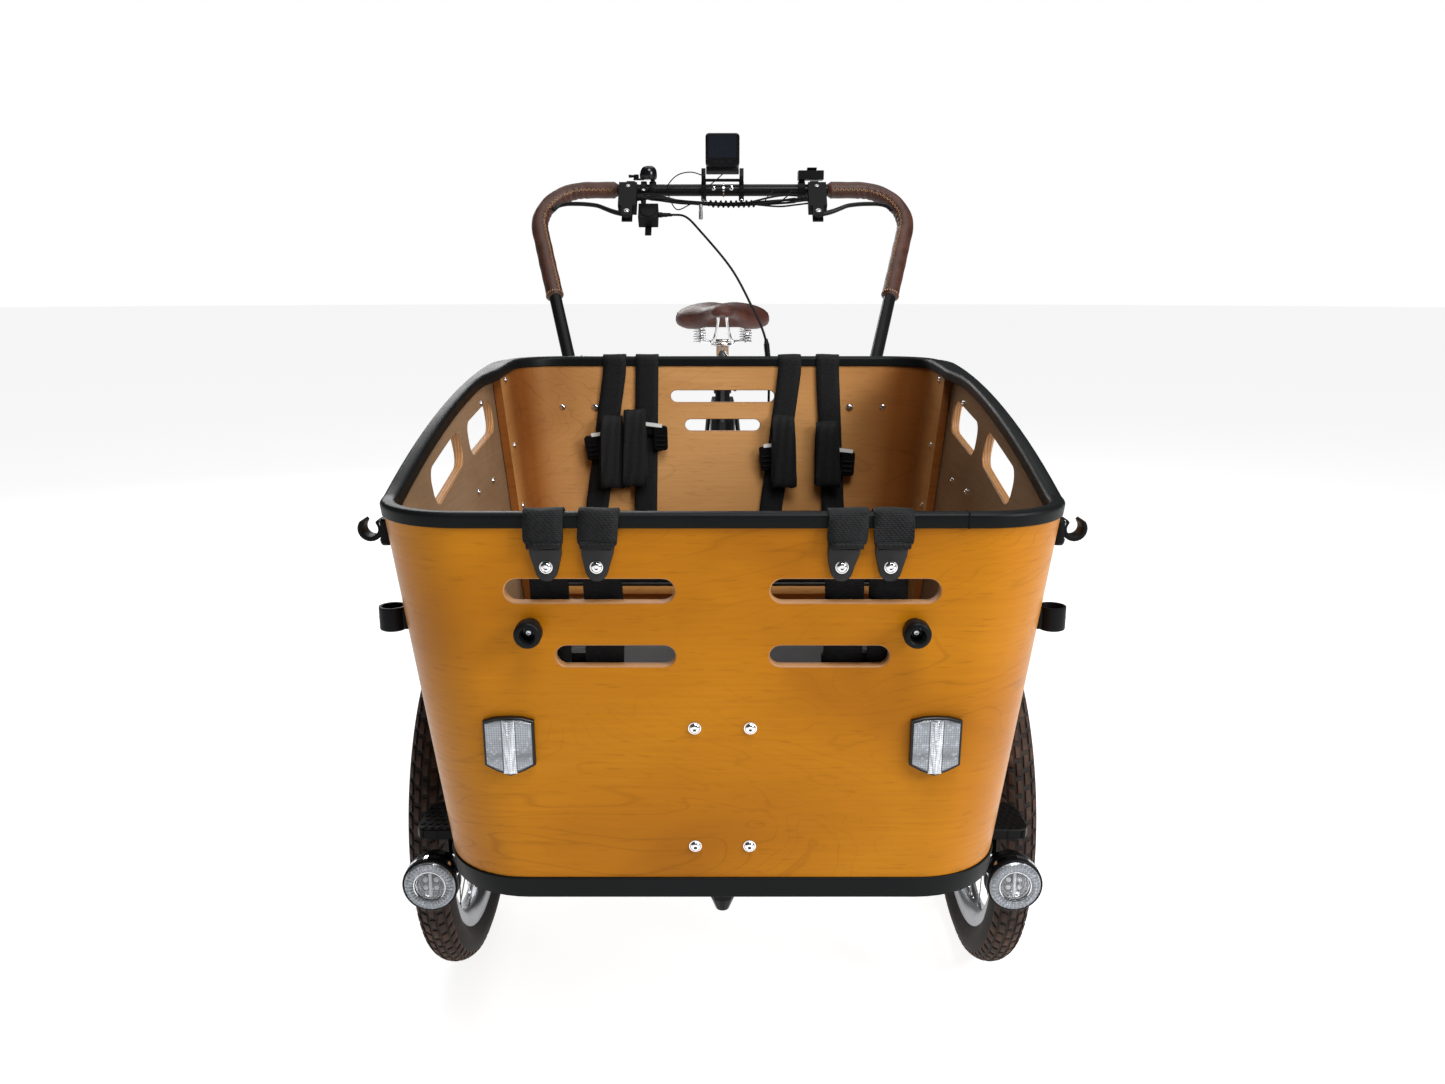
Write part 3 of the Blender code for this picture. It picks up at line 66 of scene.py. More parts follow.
SHEET = 0.012
BASE_Z = 0.329
TRIM_HEIGHT = 0.016
CORNER_RADIUS = 0.098
RIM_FRONT_Z = 0.76
RIM_REAR_Z = 0.863
FRONT_BASE_Y, FRONT_RIM_Y = -0.459, -0.486
REAR_BASE_Y, REAR_RIM_Y = 0.338, 0.346
FRONT_BASE_HALF, FRONT_RIM_HALF = 0.3075, 0.36
REAR_BASE_HALF, REAR_RIM_HALF = 0.3075, 0.361
WALL_Z = 0.353
TRIM_LIP = 0.0025
LAP_START, LAP_END = 2.84, 2.93
LAP_INSET = SHEET + 0.0012

BAR_Y, BAR_Z, BAR_LEAN = 0.686, 1.155, 0.876
BAR_RADIUS = 0.011
DOWN = Vector((0, -BAR_LEAN, -1)).normalized()
FACE = Vector((0, -1, BAR_LEAN)).normalized()
ACROSS = Vector((1, 0, 0))


# ---------------------------------------------------------------- looks


class Look:
    """A node material: the fixed numbers sit on the shader's own sockets."""

    def __init__(self, name, colour, roughness, metallic=0.0, **sockets):
        self.material = bpy.data.materials.new(name)
        self.material.use_nodes = True
        self.tree = self.material.node_tree
        self.shader = self.tree.nodes["Principled BSDF"]
        self.shader.inputs["Base Color"].default_value = (*colour, 1)
        self.shader.inputs["Roughness"].default_value = roughness
        self.shader.inputs["Metallic"].default_value = metallic
        for socket, value in sockets.items():
            self.shader.inputs[socket.replace("_", " ")].default_value = value

    def add(self, kind, inputs=None, **settings):
        node = self.tree.nodes.new("ShaderNode" + kind)
        for name, value in settings.items():
            setattr(node, name, value)
        for key, value in (inputs or {}).items():
            if isinstance(value, bpy.types.NodeSocket):
                self.tree.links.new(value, node.inputs[key])
            else:
                node.inputs[key].default_value = value
        return node

    def place(self, source="Object", scale=(1, 1, 1)):
        """Texture coordinates, scaled: source is UV or Object."""
        coords = self.add("TexCoord").outputs[source]
        return self.add("Mapping", {"Vector": coords, "Scale": scale}).outputs[0]

    def noise(self, vector, scale, detail=2.0, distortion=0.0):
        inputs = {"Vector": vector, "Scale": scale, "Detail": detail, "Distortion": distortion}
        return self.add("TexNoise", inputs).outputs["Fac"]

    def maths(self, operation, a, b=0.0):
        return self.add("Math", {0: a, 1: b}, operation=operation).outputs[0]

    def ramp(self, value, stops):
        node = self.add("ValToRGB", {"Fac": value})
        ramp = node.color_ramp
        while len(ramp.elements) < len(stops):
            ramp.elements.new(1.0)
        for element, (place, colour) in zip(ramp.elements, stops):
            element.position = place
            element.color = (*colour, 1) if len(colour) == 3 else colour
        return node.outputs["Color"]

    def grey_ramp(self, value, low, high, dark=0.0, light=1.0):
        return self.ramp(value, [(low, (dark,) * 3), (high, (light,) * 3)])

    def mix(self, share, a, b, blend="MIX"):
        node = self.add("Mix", data_type="RGBA", blend_type=blend)
        for index, value in ((0, share), (6, a), (7, b)):
            if isinstance(value, bpy.types.NodeSocket):
                self.tree.links.new(value, node.inputs[index])
            elif index:
                node.inputs[index].default_value = (*value, 1)
            else:
                node.inputs[index].default_value = value
        return node.outputs[2]

    def colour(self, socket):
        self.tree.links.new(socket, self.shader.inputs["Base Color"])

    def rough(self, value, low, high):
        """Roughness that wanders between two values."""
        spread = self.add("MapRange", {"Value": value, "To Min": low, "To Max": high})
        self.tree.links.new(spread.outputs[0], self.shader.inputs["Roughness"])

    def bump(self, height, distance, strength=1.0, chain=None):
        inputs = {"Height": height, "Distance": distance, "Strength": strength}
        if chain is not None:
            inputs["Normal"] = chain
        normal = self.add("Bump", inputs).outputs[0]
        self.tree.links.new(normal, self.shader.inputs["Normal"])
        return normal


def ply_look(name, deep, middle, pale, lines, source="UV", bends=()):
    """Varnished rotary-cut veneer: wandering growth lines, fibre and cloudy colour, with painted shade at
    the sheet's bends when bends are given.
    """
    tint = (*(min(1.0, c / middle[0] + 0.25) for c in middle), 1)
    look = Look(
        name, middle, 0.4, Specular_IOR_Level=0.24, Specular_Tint=tint, Coat_Weight=0.04, Coat_Roughness=0.2
    )
    spread = look.place(source, (1.0, 2.1, 1.0) if source == "UV" else (1.0, 1.0, 2.1))
    figure = look.noise(spread, 2.3, 2.5, 0.9)
    rings = look.maths("PINGPONG", look.maths("MULTIPLY", figure, lines), 0.5)
    narrow = look.grey_ramp(rings, 0.0, 0.075, 1.0, 0.0)
    patches = look.grey_ramp(look.noise(spread, 1.9, 1.0), 0.38, 0.66)
    flecks = look.noise(look.place(source, (30, 260, 30) if source == "UV" else (30, 30, 260)), 1.0, 2.0)
    fibre = look.noise(look.place(source, (9, 240, 9) if source == "UV" else (9, 9, 240)), 1.0, 3.0, 0.2)
    cloud = look.noise(look.place(source, (2.2, 3.4, 2.2)), 1.3, 3.0, 0.4)
    base = look.ramp(cloud, [(0.3, deep), (0.52, middle), (0.74, pale)])
    base = look.mix(look.maths("MULTIPLY", look.grey_ramp(fibre, 0.35, 0.75), 0.3), base, deep)
    base = look.mix(
        look.maths("MULTIPLY", look.grey_ramp(flecks, 0.6, 0.72), 0.28), base, tuple(c * 0.5 for c in deep)
    )
    drawn = look.maths("MULTIPLY", look.maths("MULTIPLY", narrow, patches), 0.3)
    base = look.mix(drawn, base, tuple(c * 0.42 for c in deep))
    # Painted shade: bends darken the colour along the sheet where its bent corners fall into shade.
    if bends:
        run = look.add("SeparateXYZ", {0: look.place("UV")}).outputs["X"]
        base = look.mix(1.0, base, look.ramp(run, bends), "MULTIPLY")
    look.colour(base)
    look.rough(fibre, 0.3, 0.44)
    look.bump(fibre, 0.00025, 0.35)
    return look.material


def plain_look(name, colour, roughness, grain=900.0, depth=0.00005, metallic=0.0, spread=0.08, **sockets):
    """Moulded or coated surface: a fine grain, slightly uneven gloss and colour."""
    look = Look(name, colour, roughness, metallic, **sockets)
    where = look.place()
    fine = look.noise(where, grain, 2.0)
    broad = look.noise(where, 14.0, 3.0)
    look.colour(
        look.ramp(
            broad, [(0.3, tuple(c * 0.82 for c in colour)), (0.7, tuple(min(1, c * 1.18) for c in colour))]
        )
    )
    look.rough(broad, max(0.02, roughness - spread), roughness + spread)
    look.bump(fine, depth, 0.6)
    return look.material


def leather_look(name, colour, worn):
    """Pebbled hide: small cells, creases and worn patches."""
    look = Look(name, colour, 0.5, Specular_IOR_Level=0.32, Coat_Weight=0.06, Coat_Roughness=0.35)
    where = look.place()
    cells = look.add(
        "TexVoronoi", {"Vector": where, "Scale": 620.0}, feature="DISTANCE_TO_EDGE"
    ).outputs["Distance"]
    creases = look.add("TexVoronoi", {"Vector": where, "Scale": 95.0, "Randomness": 1.0},
                       feature="DISTANCE_TO_EDGE").outputs["Distance"]
    broad = look.noise(where, 26.0, 4.0, 0.6)
    tone = look.ramp(broad, [(0.28, tuple(c * 0.55 for c in colour)), (0.55, colour), (0.8, worn)])
    look.colour(look.mix(look.grey_ramp(cells, 0.0, 0.12, 0.55, 0.0), tone, tuple(c * 0.4 for c in colour)))
    look.rough(broad, 0.36, 0.58)
    first = look.bump(look.grey_ramp(creases, 0.0, 0.1), 0.00022, 0.35)
    look.bump(look.grey_ramp(cells, 0.0, 0.18), 0.00016, 0.6, first)
    return look.material


def webbing_look(name, colour):
    """Woven nylon band: ribs across it and a fine twill, on UVs in metres."""
    look = Look(name, colour, 0.62, Specular_IOR_Level=0.15, Sheen_Weight=0.03, Sheen_Roughness=0.45)
    weft = look.add("TexWave", {"Vector": look.place("UV"), "Scale": 150.0},
                    bands_direction="Y", wave_profile="SIN").outputs["Fac"]
    twill = look.add("TexWave", {"Vector": look.place("UV"), "Scale": 130.0},
                     bands_direction="DIAGONAL", wave_profile="TRI").outputs["Fac"]
    fuzz = look.noise(look.place(), 260.0, 3.0)
    tone = look.ramp(fuzz, [(0.3, tuple(c * 0.6 for c in colour)), (0.75, tuple(c * 1.9 for c in colour))])
    look.colour(look.mix(look.maths("MULTIPLY", twill, 0.35), tone, tuple(c * 2.4 for c in colour)))
    first = look.bump(weft, 0.0004, 0.7)
    look.bump(twill, 0.0003, 0.7, first)
    return look.material


def rubber_look(name, colour, dusty):
    """Dull rubber with dusty, worn patches."""
    look = Look(name, colour, 0.8, Specular_IOR_Level=0.25)
    where = look.place()
    broad = look.noise(where, 34.0, 4.0, 0.5)
    specks = look.noise(where, 420.0, 2.0)
    tone = look.ramp(broad, [(0.3, tuple(c * 0.5 for c in colour)), (0.55, colour), (0.78, dusty)])
    look.colour(look.mix(look.maths("MULTIPLY", specks, 0.35), tone, tuple(c * 0.5 for c in colour)))
    look.rough(broad, 0.62, 0.9)
    look.bump(specks, 0.0003, 0.7)
    return look.material


def metal_look(name, colour, roughness, streaks=(1, 1, 1), spread=0.08):
    """Metal with fine scratches and uneven gloss."""
    look = Look(name, colour, roughness, 1.0)
    where = look.place("Object", streaks)
    fine = look.noise(where, 240.0, 3.0)
    broad = look.noise(where, 18.0, 3.0)
    look.colour(look.ramp(broad, [(0.3, tuple(c * 0.8 for c in colour)), (0.7, colour)]))
    look.rough(fine, max(0.03, roughness - spread), roughness + spread)
    look.bump(fine, 0.00004, 0.5)
    return look.material


def prism_look(name, colour=(0.34, 0.37, 0.41), metallic=0.35):
    """Moulded retroreflector: a fine field of small corner cubes under a clear face, with painted glints on
    random cubes.
    """
    look = Look(name, colour, 0.24, metallic, Coat_Weight=0.9, Coat_Roughness=0.06)
    where = look.place()
    cubes = look.add("TexVoronoi", {"Vector": where, "Scale": 400.0, "Randomness": 0.08}, feature="F1")
    edges = look.add(
        "TexVoronoi", {"Vector": where, "Scale": 400.0, "Randomness": 0.08}, feature="DISTANCE_TO_EDGE"
    )
    broad = look.noise(where, 46.0, 2.0)
    tone = look.ramp(broad, [(0.35, tuple(c * 0.72 for c in colour)), (0.65, colour)])
    tone = look.mix(
        look.grey_ramp(edges.outputs["Distance"], 0.02, 0.22, 0.85, 0.0), tone,
        tuple(c * 0.3 for c in colour)
    )
    # Painted glints: some random cubes are lightened as if catching the light.
    look.colour(
        look.mix(
            look.grey_ramp(cubes.outputs["Color"], 0.7, 0.85, 0.0, 0.35), tone,
            tuple(min(1, c * 1.5) for c in colour)
        )
    )
    look.bump(cubes.outputs["Distance"], 0.0005, 0.5)
    return look.material


def clear_look(name, colour=(0.97, 0.98, 1.0), roughness=0.02, weight=0.96):
    """Clear moulded plastic."""
    look = Look(name, colour, roughness, 0.0, IOR=1.46, Transmission_Weight=weight)
    ripple = look.noise(look.place(), 90.0, 1.0)
    look.rough(ripple, 0.0, roughness * 2)
    look.bump(ripple, 0.00005, 0.2)
    return look.material


PLY_OUT = ply_look(
    "ply_varnished_amber", (0.3, 0.098, 0.003), (0.42, 0.15, 0.004), (0.5, 0.195, 0.008), 24.0
)
# Painted shade: the rear panel's inner veneer is darkened round its two bent corners, where the inside of
# the box falls into shade.
BEND_SHADE = (0.42, 0.27, 0.16)
# Painted shade: a darker, greyer copy of the inner veneer, for the inner faces of the front sheet whose
# side walls the box itself shades.
PLY_INNER_SHADED = ply_look("ply_inner_side_painted_shade", (0.165, 0.1, 0.055), (0.24, 0.152, 0.09), (0.3, 0.195, 0.12), 18.0)
BEND_SHADE_STOPS = [
    (0.03, (1, 1, 1)), (0.13, BEND_SHADE), (0.19, BEND_SHADE), (0.3, (1, 1, 1)), (0.68, (1, 1, 1)),
    (0.79, BEND_SHADE), (0.86, BEND_SHADE), (0.94, (1, 1, 1))
]
PLY_IN = ply_look(
    "ply_inner_tan", (0.4, 0.185, 0.06), (0.54, 0.27, 0.095), (0.62, 0.33, 0.13), 18.0, bends=BEND_SHADE_STOPS
)
PLY_BLOCK = ply_look(
    "ply_board", (0.3, 0.13, 0.036), (0.42, 0.2, 0.062), (0.5, 0.26, 0.095), 18.0, "Object"
)
PAINT = plain_look(
    "frame_black_paint", (0.0055, 0.0055, 0.006), 0.32, 700, 0.00003, Specular_IOR_Level=0.13
)
TRIM = plain_look(
    "trim_black_rubber", (0.0045, 0.0052, 0.0055), 0.42, 1100, 0.00006, Specular_IOR_Level=0.1
)
PLASTIC = plain_look(
    "black_plastic", (0.0042, 0.0042, 0.0046), 0.46, 1300, 0.00007, Specular_IOR_Level=0.09
)
GLOSS = plain_look(
    "gloss_black_plastic", (0.004, 0.004, 0.005), 0.18, 600, 0.00001, spread=0.04, Specular_IOR_Level=0.35
)
BEZEL = plain_look(
    "reflector_shell_black", (0.004, 0.004, 0.005), 0.3, 900, 0.00003, Specular_IOR_Level=0.3
)
SCREEN = plain_look(
    "display_glass", (0.006, 0.008, 0.012), 0.06, 200, 0.00001, spread=0.02, Coat_Weight=1.0
)
TYRE = rubber_look("tyre_brown_rubber", (0.05, 0.026, 0.017), (0.105, 0.058, 0.038))
SIDEWALL = rubber_look("tyre_sidewall", (0.022, 0.017, 0.015), (0.05, 0.034, 0.026))
ALLOY = metal_look("rim_alloy", (0.3, 0.31, 0.33), 0.34)
STEEL = metal_look("spoke_steel", (0.6, 0.61, 0.63), 0.25)
CHROME = metal_look("chrome", (0.86, 0.87, 0.89), 0.09, spread=0.04)
GREY = plain_look("grey_ferrule", (0.2, 0.21, 0.22), 0.35, 500, 0.00003, 0.6)
LEATHER = leather_look("grip_brown_leather", (0.062, 0.021, 0.012), (0.105, 0.04, 0.024))
SADDLE_LEATHER = leather_look("saddle_brown_leather", (0.07, 0.019, 0.011), (0.13, 0.04, 0.024))
VINYL = leather_look("cushion_black_vinyl", (0.01, 0.01, 0.011), (0.022, 0.022, 0.024))
TAB = leather_look("strap_tab_black", (0.0055, 0.0055, 0.006), (0.01, 0.01, 0.011))
THREAD = plain_look("tan_thread", (0.46, 0.27, 0.12), 0.7, 1800, 0.0001)
DARK_THREAD = plain_look("black_thread", (0.02, 0.02, 0.02), 0.8, 1800, 0.0001)
WEBBING = webbing_look("webbing_black", (0.0045, 0.0047, 0.0052))
TAG = plain_look("white_tag", (0.72, 0.72, 0.7), 0.7, 1500, 0.00005)
PRISM = prism_look("prism_lens")
BRIGHT_PRISM = prism_look("bright_prism", (0.74, 0.78, 0.84), 0.75)
SMOKED = plain_look("smoked_lens_margin", (0.1, 0.11, 0.12), 0.2, 500, 0.00002, 0.3)
CLEAR = clear_look("clear_lens")
LED = plain_look("led_bar", (0.85, 0.86, 0.88), 0.3, 700, 0.0001)


# ---------------------------------------------------------------- geometry


def lerp(a, b, t):
    """The value a share of the way from one to another."""
    return a + (b - a) * t


def unit(angle):
    """A direction in the Y-Z plane, degrees from +Y towards +Z."""
    turn = math.radians(angle)
    return Vector((0, math.cos(turn), math.sin(turn)))


def placed(origin, local_x, local_y):
    """A placing matrix from an origin and two directions."""
    x = Vector(local_x).normalized()
    z = x.cross(Vector(local_y)).normalized()
    return Matrix.Translation(origin) @ Matrix((x, z.cross(x), z)).transposed().to_4x4()


def axis_place(origin, axis):
    """A placing matrix whose local Z runs along axis."""
    turn = Vector((0, 0, 1)).rotation_difference(Vector(axis))
    return Matrix.Translation(origin) @ turn.to_matrix().to_4x4()


def added(name, data):
    """A new object in the scene."""
    obj = bpy.data.objects.new(name, data)
    bpy.context.scene.collection.objects.link(obj)
    return obj


def baked(obj):
    """The mesh that an object's modifiers make of it; the object itself goes."""
    shape = obj.evaluated_get(bpy.context.evaluated_depsgraph_get())
    mesh = bpy.data.meshes.new_from_object(shape)
    bpy.data.objects.remove(obj, do_unlink=True)
    return mesh


def tangent(path, i):
    """The direction of a path at one of its points."""
    return (path[min(i + 1, len(path) - 1)] - path[max(i - 1, 0)]).normalized()


def outward(turn):
    """The direction at an angle round a forward-facing lamp."""
    return Vector((math.cos(turn), 0, math.sin(turn)))


def smooth_path(corners, count):
    """A Catmull-Rom curve through the corners, with count points to each stretch."""
    corners = [Vector(corner) for corner in corners]
    ends = [2 * corners[0] - corners[1], *corners, 2 * corners[-1] - corners[-2]]
    path = []
    for a, b, c, d in zip(ends, ends[1:], ends[2:], ends[3:]):
        for i in range(count):
            t = i / count
            bend = 2 * a - 5 * b + 4 * c - d
            twist = 3 * b - a - 3 * c + d
            path.append((2 * b + (c - a) * t + bend * t * t + twist * t**3) / 2)
    path.append(corners[-1])
    return path


def fillet(corners, radius, steps=8):
    """A path through corner points with every bend rounded to one radius."""
    corners = [Vector(corner) for corner in corners]
    path = [corners[0]]
    for before, corner, after in zip(corners, corners[1:], corners[2:]):
        inward, outward = (before - corner).normalized(), (after - corner).normalized()
        half_turn = (math.pi - inward.angle(outward)) / 2
        reach = radius * math.tan(half_turn)
        middle = corner + (inward + outward).normalized() * radius / math.cos(half_turn)
        start, end = corner + inward * reach - middle, corner + outward * reach - middle
        path += [middle + start.slerp(end, i / steps) * start.length for i in range(steps + 1)]
    path.append(corners[-1])
    return path


def even_path(path, step):
    """The same path with points a step apart."""
    made, carry = [path[0].copy()], 0.0
    for a, b in zip(path, path[1:]):
        length = (b - a).length
        along = step - carry
        while along <= length:
            made.append(a.lerp(b, along / length))
            along += step
        carry = length - (along - step)
    return made


def rounded_rectangle(width, height, radius, steps=4):
    """Outline of a rectangle with arcs at its corners."""
    outline = []
    for index, (a, b) in enumerate(((1, 1), (-1, 1), (-1, -1), (1, -1))):
        for i in range(steps + 1):
            angle = math.pi / 2 * (index + i / steps)
            outline.append((a * (width / 2 - radius) + radius * math.cos(angle),
                            b * (height / 2 - radius) + radius * math.sin(angle)))
    return outline


def obround(length, height, steps=10):
    """Outline of a slot with round ends."""
    return rounded_rectangle(length, height, height / 2 - 0.00001, steps // 2)


def ring_section(radius, sides, squash=1.0):
    """Points round a circle, for a swept tube."""
    turns = [2 * math.pi * (i + 0.5) / sides for i in range(sides)]
    return [(radius * math.cos(turn), squash * radius * math.sin(turn)) for turn in turns]


class Piece:
    """Collects the geometry of one visible piece, with UVs in metres."""

    def __init__(self):
        self.bm = bmesh.new()
        self.uv = self.bm.loops.layers.uv.new("UVMap")

    def skin(self, rings, loop=False, caps=True, look=0, closed=True):
        """Joins rings of points; a loop has no ends, otherwise both are capped."""
        made = [[self.bm.verts.new(point) for point in ring] for ring in rings]
        centres = [sum(ring, Vector()) / len(ring) for ring in [[Vector(p) for p in r] for r in rings]]
        count = len(made[0])
        widest = max(
            rings, key=lambda r: sum((Vector(r[j]) - Vector(r[j - 1])).length for j in range(count))
        )
        around = [0.0]
        for j in range(count):
            around.append(around[-1] + (Vector(widest[(j + 1) % count]) - Vector(widest[j])).length)
        pairs = [(i, i + 1) for i in range(len(made) - 1)]
        if loop:
            pairs.append((len(made) - 1, 0))
        along = 0.0
        for i, k in pairs:
            step = (centres[k] - centres[i]).length or 0.001
            if centres[k] == centres[i]:
                step = (Vector(rings[k][0]) - Vector(rings[i][0])).length
            for j in range(count if closed else count - 1):
                n = (j + 1) % count
                face = self.bm.faces.new((made[i][j], made[i][n], made[k][n], made[k][j]))
                face.material_index = look
                corners = (
                    (around[j], along), (around[j + 1], along), (around[j + 1], along + step),
                    (around[j], along + step)
                )
                for corner, value in zip(face.loops, corners):
                    corner[self.uv].uv = value
            along += step
        if caps and not loop:
            for ring in (made[0], made[-1]):
                face = self.bm.faces.new(ring)
                face.material_index = look
                for j, corner in enumerate(face.loops):
                    corner[self.uv].uv = (around[j], 0.002 * (j % 2))
        return self

    def lathe(self, start, axis, profile, sides=24, look=0, caps=True, hexed=()):
        """A turned body: profile pairs are distance along the axis and radius.

        Profile rows listed in hexed are hexagons rather than circles.
        """
        place = axis_place(start, axis)
        rings = []
        for row, (along, radius) in enumerate(profile):
            ring = []
            for i in range(sides):
                turn = 2 * math.pi * i / sides
                reach = radius
                if row in hexed:
                    reach *= math.cos(math.pi / 6) / math.cos(turn % (math.pi / 3) - math.pi / 6)
                ring.append(place @ Vector((reach * math.cos(turn), reach * math.sin(turn), along)))
            rings.append(ring)
        return self.skin(rings, caps=caps, look=look)

    def hoop(self, centre, profile, sides, look=0):
        """A closed outline of (distance along X, radius) turned round an X axis."""
        rings = []
        for i in range(sides):
            out = unit(360 * (i + 0.5) / sides - 90)
            rings.append(
                [Vector(centre) + Vector((along, 0, 0)) + out * radius for along, radius in profile]
            )
        return self.skin(rings, loop=True, look=look)

    def rod(self, start, end, radius, sides=12, look=0):
        start, end = Vector(start), Vector(end)
        return self.lathe(start, end - start, [(0, radius), ((end - start).length, radius)], sides, look)

    def sweep(self, path, section, up=(0, 0, 1), loop=False, look=0, caps=True):
        """Carries a section along a path: a list of pairs, or a function of the share along it."""
        path = [Vector(point) for point in path]
        last = len(path) - 1
        rings = []
        for i, point in enumerate(path):
            before = path[i - 1] if loop or i else point
            after = path[(i + 1) % len(path)] if loop or i < last else point
            along = (after - before).normalized()
            side = along.cross(Vector(up)).normalized()
            upright = side.cross(along)
            shape = section(i / last) if callable(section) else section
            rings.append([point + side * a + upright * b for a, b in shape])
        return self.skin(rings, loop=loop, look=look, caps=caps)

    def tube(self, path, radius, sides=10, look=0, up=(0, 0, 1)):
        """A round tube along a path, its section turned as little as possible."""
        path = [Vector(point) for point in path]
        last = len(path) - 1
        along = (path[1] - path[0]).normalized()
        side = along.cross(Vector(up))
        side = (side if side.length > 0.05 else along.cross(ACROSS)).normalized()
        rings = []
        for i, point in enumerate(path):
            along = tangent(path, i)
            side = (side - along * side.dot(along)).normalized()
            upright = side.cross(along)
            reach = radius(i / last) if callable(radius) else radius
            rings.append([point + (side * a + upright * b) * reach for a, b in ring_section(1, sides)])
        return self.skin(rings, look=look)

    def slab(self, outline, place, thickness, look=0, edge=0.0):
        """Extrudes a flat outline along a place's local Z, its edges eased by a chamfer."""
        middle = Vector((sum(a for a, _ in outline), sum(b for _, b in outline))) / len(outline)
        size = max(max(abs(a - middle.x), abs(b - middle.y)) for a, b in outline)
        tight = 1 - edge / size
        levels = [
            (0, tight), (edge, 1), (thickness - edge, 1), (thickness, tight)
        ] if edge else [(0, 1), (thickness, 1)]
        rings = []
        for height, share in levels:
            rings.append(
                [
                    place @ Vector(
                        (middle.x + (a - middle.x) * share, middle.y + (b - middle.y) * share, height)
                    ) for a,
                    b in outline
                ]
            )
        return self.skin(rings, look=look)

    def block(self, low, high, look=0, ease=0.0):
        """A block between two opposite corners."""
        low, high = Vector(low), Vector(high)
        size = Vector((abs(high.x - low.x), abs(high.y - low.y), abs(high.z - low.z)))
        middle = (low + high) / 2
        outline = rounded_rectangle(size.x, size.y, max(ease, 0.0001), 2 if ease else 1)
        place = Matrix.Translation((middle.x, middle.y, min(low.z, high.z)))
        return self.slab(outline, place, size.z, look, ease * 0.7)

    def mesh(self):
        bmesh.ops.recalc_face_normals(self.bm, faces=self.bm.faces)
        mesh = bpy.data.meshes.new("piece")
        self.bm.to_mesh(mesh)
        self.bm.free()
        return mesh

    def done(self, name, looks, slot, body="carriage", replaces=(), bevel=0.0, angle=38, subdivide=0):
        return finished(self.mesh(), name, looks, body, replaces, bevel, angle, subdivide)


def finished(mesh, name, looks, body="carriage", replaces=(), bevel=0.0, angle=38, subdivide=0):
    """Names a piece, gives it its looks and hangs it on its CAD body."""
    mesh.transform(Matrix.Translation(SHIFT))
    if not mesh.materials:
        for look in looks if isinstance(looks, (list, tuple)) else [looks]:
            mesh.materials.append(look)
    mesh.shade_smooth()
    mesh.set_sharp_from_angle(angle=math.radians(angle))
    obj = added(name, mesh)
    if bevel:
        ease(obj, bevel)
    if subdivide:
        modifier = obj.modifiers.new("smooth", "SUBSURF")
        modifier.levels = modifier.render_levels = subdivide
    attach(obj, body)
    if replaces:
        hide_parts(*([replaces] if isinstance(replaces, str) else replaces))
    return obj


def ease(obj, width, segments=2, angle=32):
    """A bevel of one width on the sharp edges."""
    modifier = obj.modifiers.new("ease", "BEVEL")
    modifier.width = width
    modifier.segments = segments
    modifier.limit_method = "ANGLE"
    modifier.angle_limit = math.radians(angle)
    modifier.harden_normals = True
    modifier.use_clamp_overlap = True


def cut(mesh, tool):
    """The mesh with a tool's solid taken away."""
    base, other = added("base", mesh), added("tool", tool)
    modifier = base.modifiers.new("cut", "BOOLEAN")
    modifier.operation = "DIFFERENCE"
    modifier.solver = "EXACT"
    modifier.object = other
    result = baked(base)
    bpy.data.objects.remove(other, do_unlink=True)
    return result


def on_bar(x, down, face=0.0):
    """A point by its place along the bar, down its plane and out from its face."""
    return Vector((x, BAR_Y, BAR_Z)) + DOWN * down + FACE * face


def bolt(piece, place, radius, look=0, tall=0.5):
    """A button-head bolt with a hexagon socket, on a flange, along a place's local Z."""
    start = place.translation
    axis = place.to_3x3() @ Vector((0, 0, 1))
    high = radius * tall
    profile = [
        (0, radius), (high * 0.18, radius), (high * 0.24, radius * 0.86), (high * 0.55, radius * 0.78)
    ]
    profile += [
        (high * 0.86, radius * 0.6), (high, radius * 0.4), (high * 0.98, radius * 0.36),
        (high * 0.25, radius * 0.33)
    ]
    piece.lathe(start, axis, profile, 24, look, hexed=(6, 7))


# ---------------------------------------------------------------- plywood box


def rim_height(y):
    """The box's top edge: level at the front, then an arc up to the rear."""
    return max(RIM_FRONT_Z, RIM_REAR_Z - 0.133 * ((0.33 - y) / 0.82) ** 2)


def wall_point(side, place, z, inset=0.0):
    """A point on the box's outer surface, or inset from it.

    Place runs 0 to 5 on each side: front, corner, side wall, corner and rear.
    """
    front_share = (z - BASE_Z) / (RIM_FRONT_Z - BASE_Z)
    rear_share = (z - BASE_Z) / (RIM_REAR_Z - BASE_Z)
    front = lerp(FRONT_BASE_Y, FRONT_RIM_Y, front_share) + inset
    rear = lerp(REAR_BASE_Y, REAR_RIM_Y, rear_share) - inset
    wide_front = lerp(FRONT_BASE_HALF, FRONT_RIM_HALF, front_share) - inset
    wide_rear = lerp(REAR_BASE_HALF, REAR_RIM_HALF, rear_share) - inset
    radius = CORNER_RADIUS - inset
    if place <= 1:
        x, y = (wide_front - radius) * place, front
    elif place <= 2:
        angle = (place - 1) * math.pi / 2
        x, y = wide_front - radius + radius * math.sin(angle), front + radius - radius * math.cos(angle)
    elif place <= 3:
        x, y = lerp(wide_front, wide_rear, place - 2), lerp(front + radius, rear - radius, place - 2)
    elif place <= 4:
        angle = (place - 3) * math.pi / 2
        x, y = wide_rear - radius + radius * math.cos(angle), rear - radius + radius * math.sin(angle)
    else:
        x, y = (wide_rear - radius) * (5 - place), rear
    return Vector((side * x, y, z))


def sheet_top(side, place):
    """Height of the plywood's top edge, just below the rim trim."""
    return rim_height(wall_point(side, place, RIM_FRONT_Z).y) - TRIM_HEIGHT


def stretch(start, end, count):
    """Evenly spaced places between two ends."""
    return [lerp(start, end, i / count) for i in range(count + 1)]


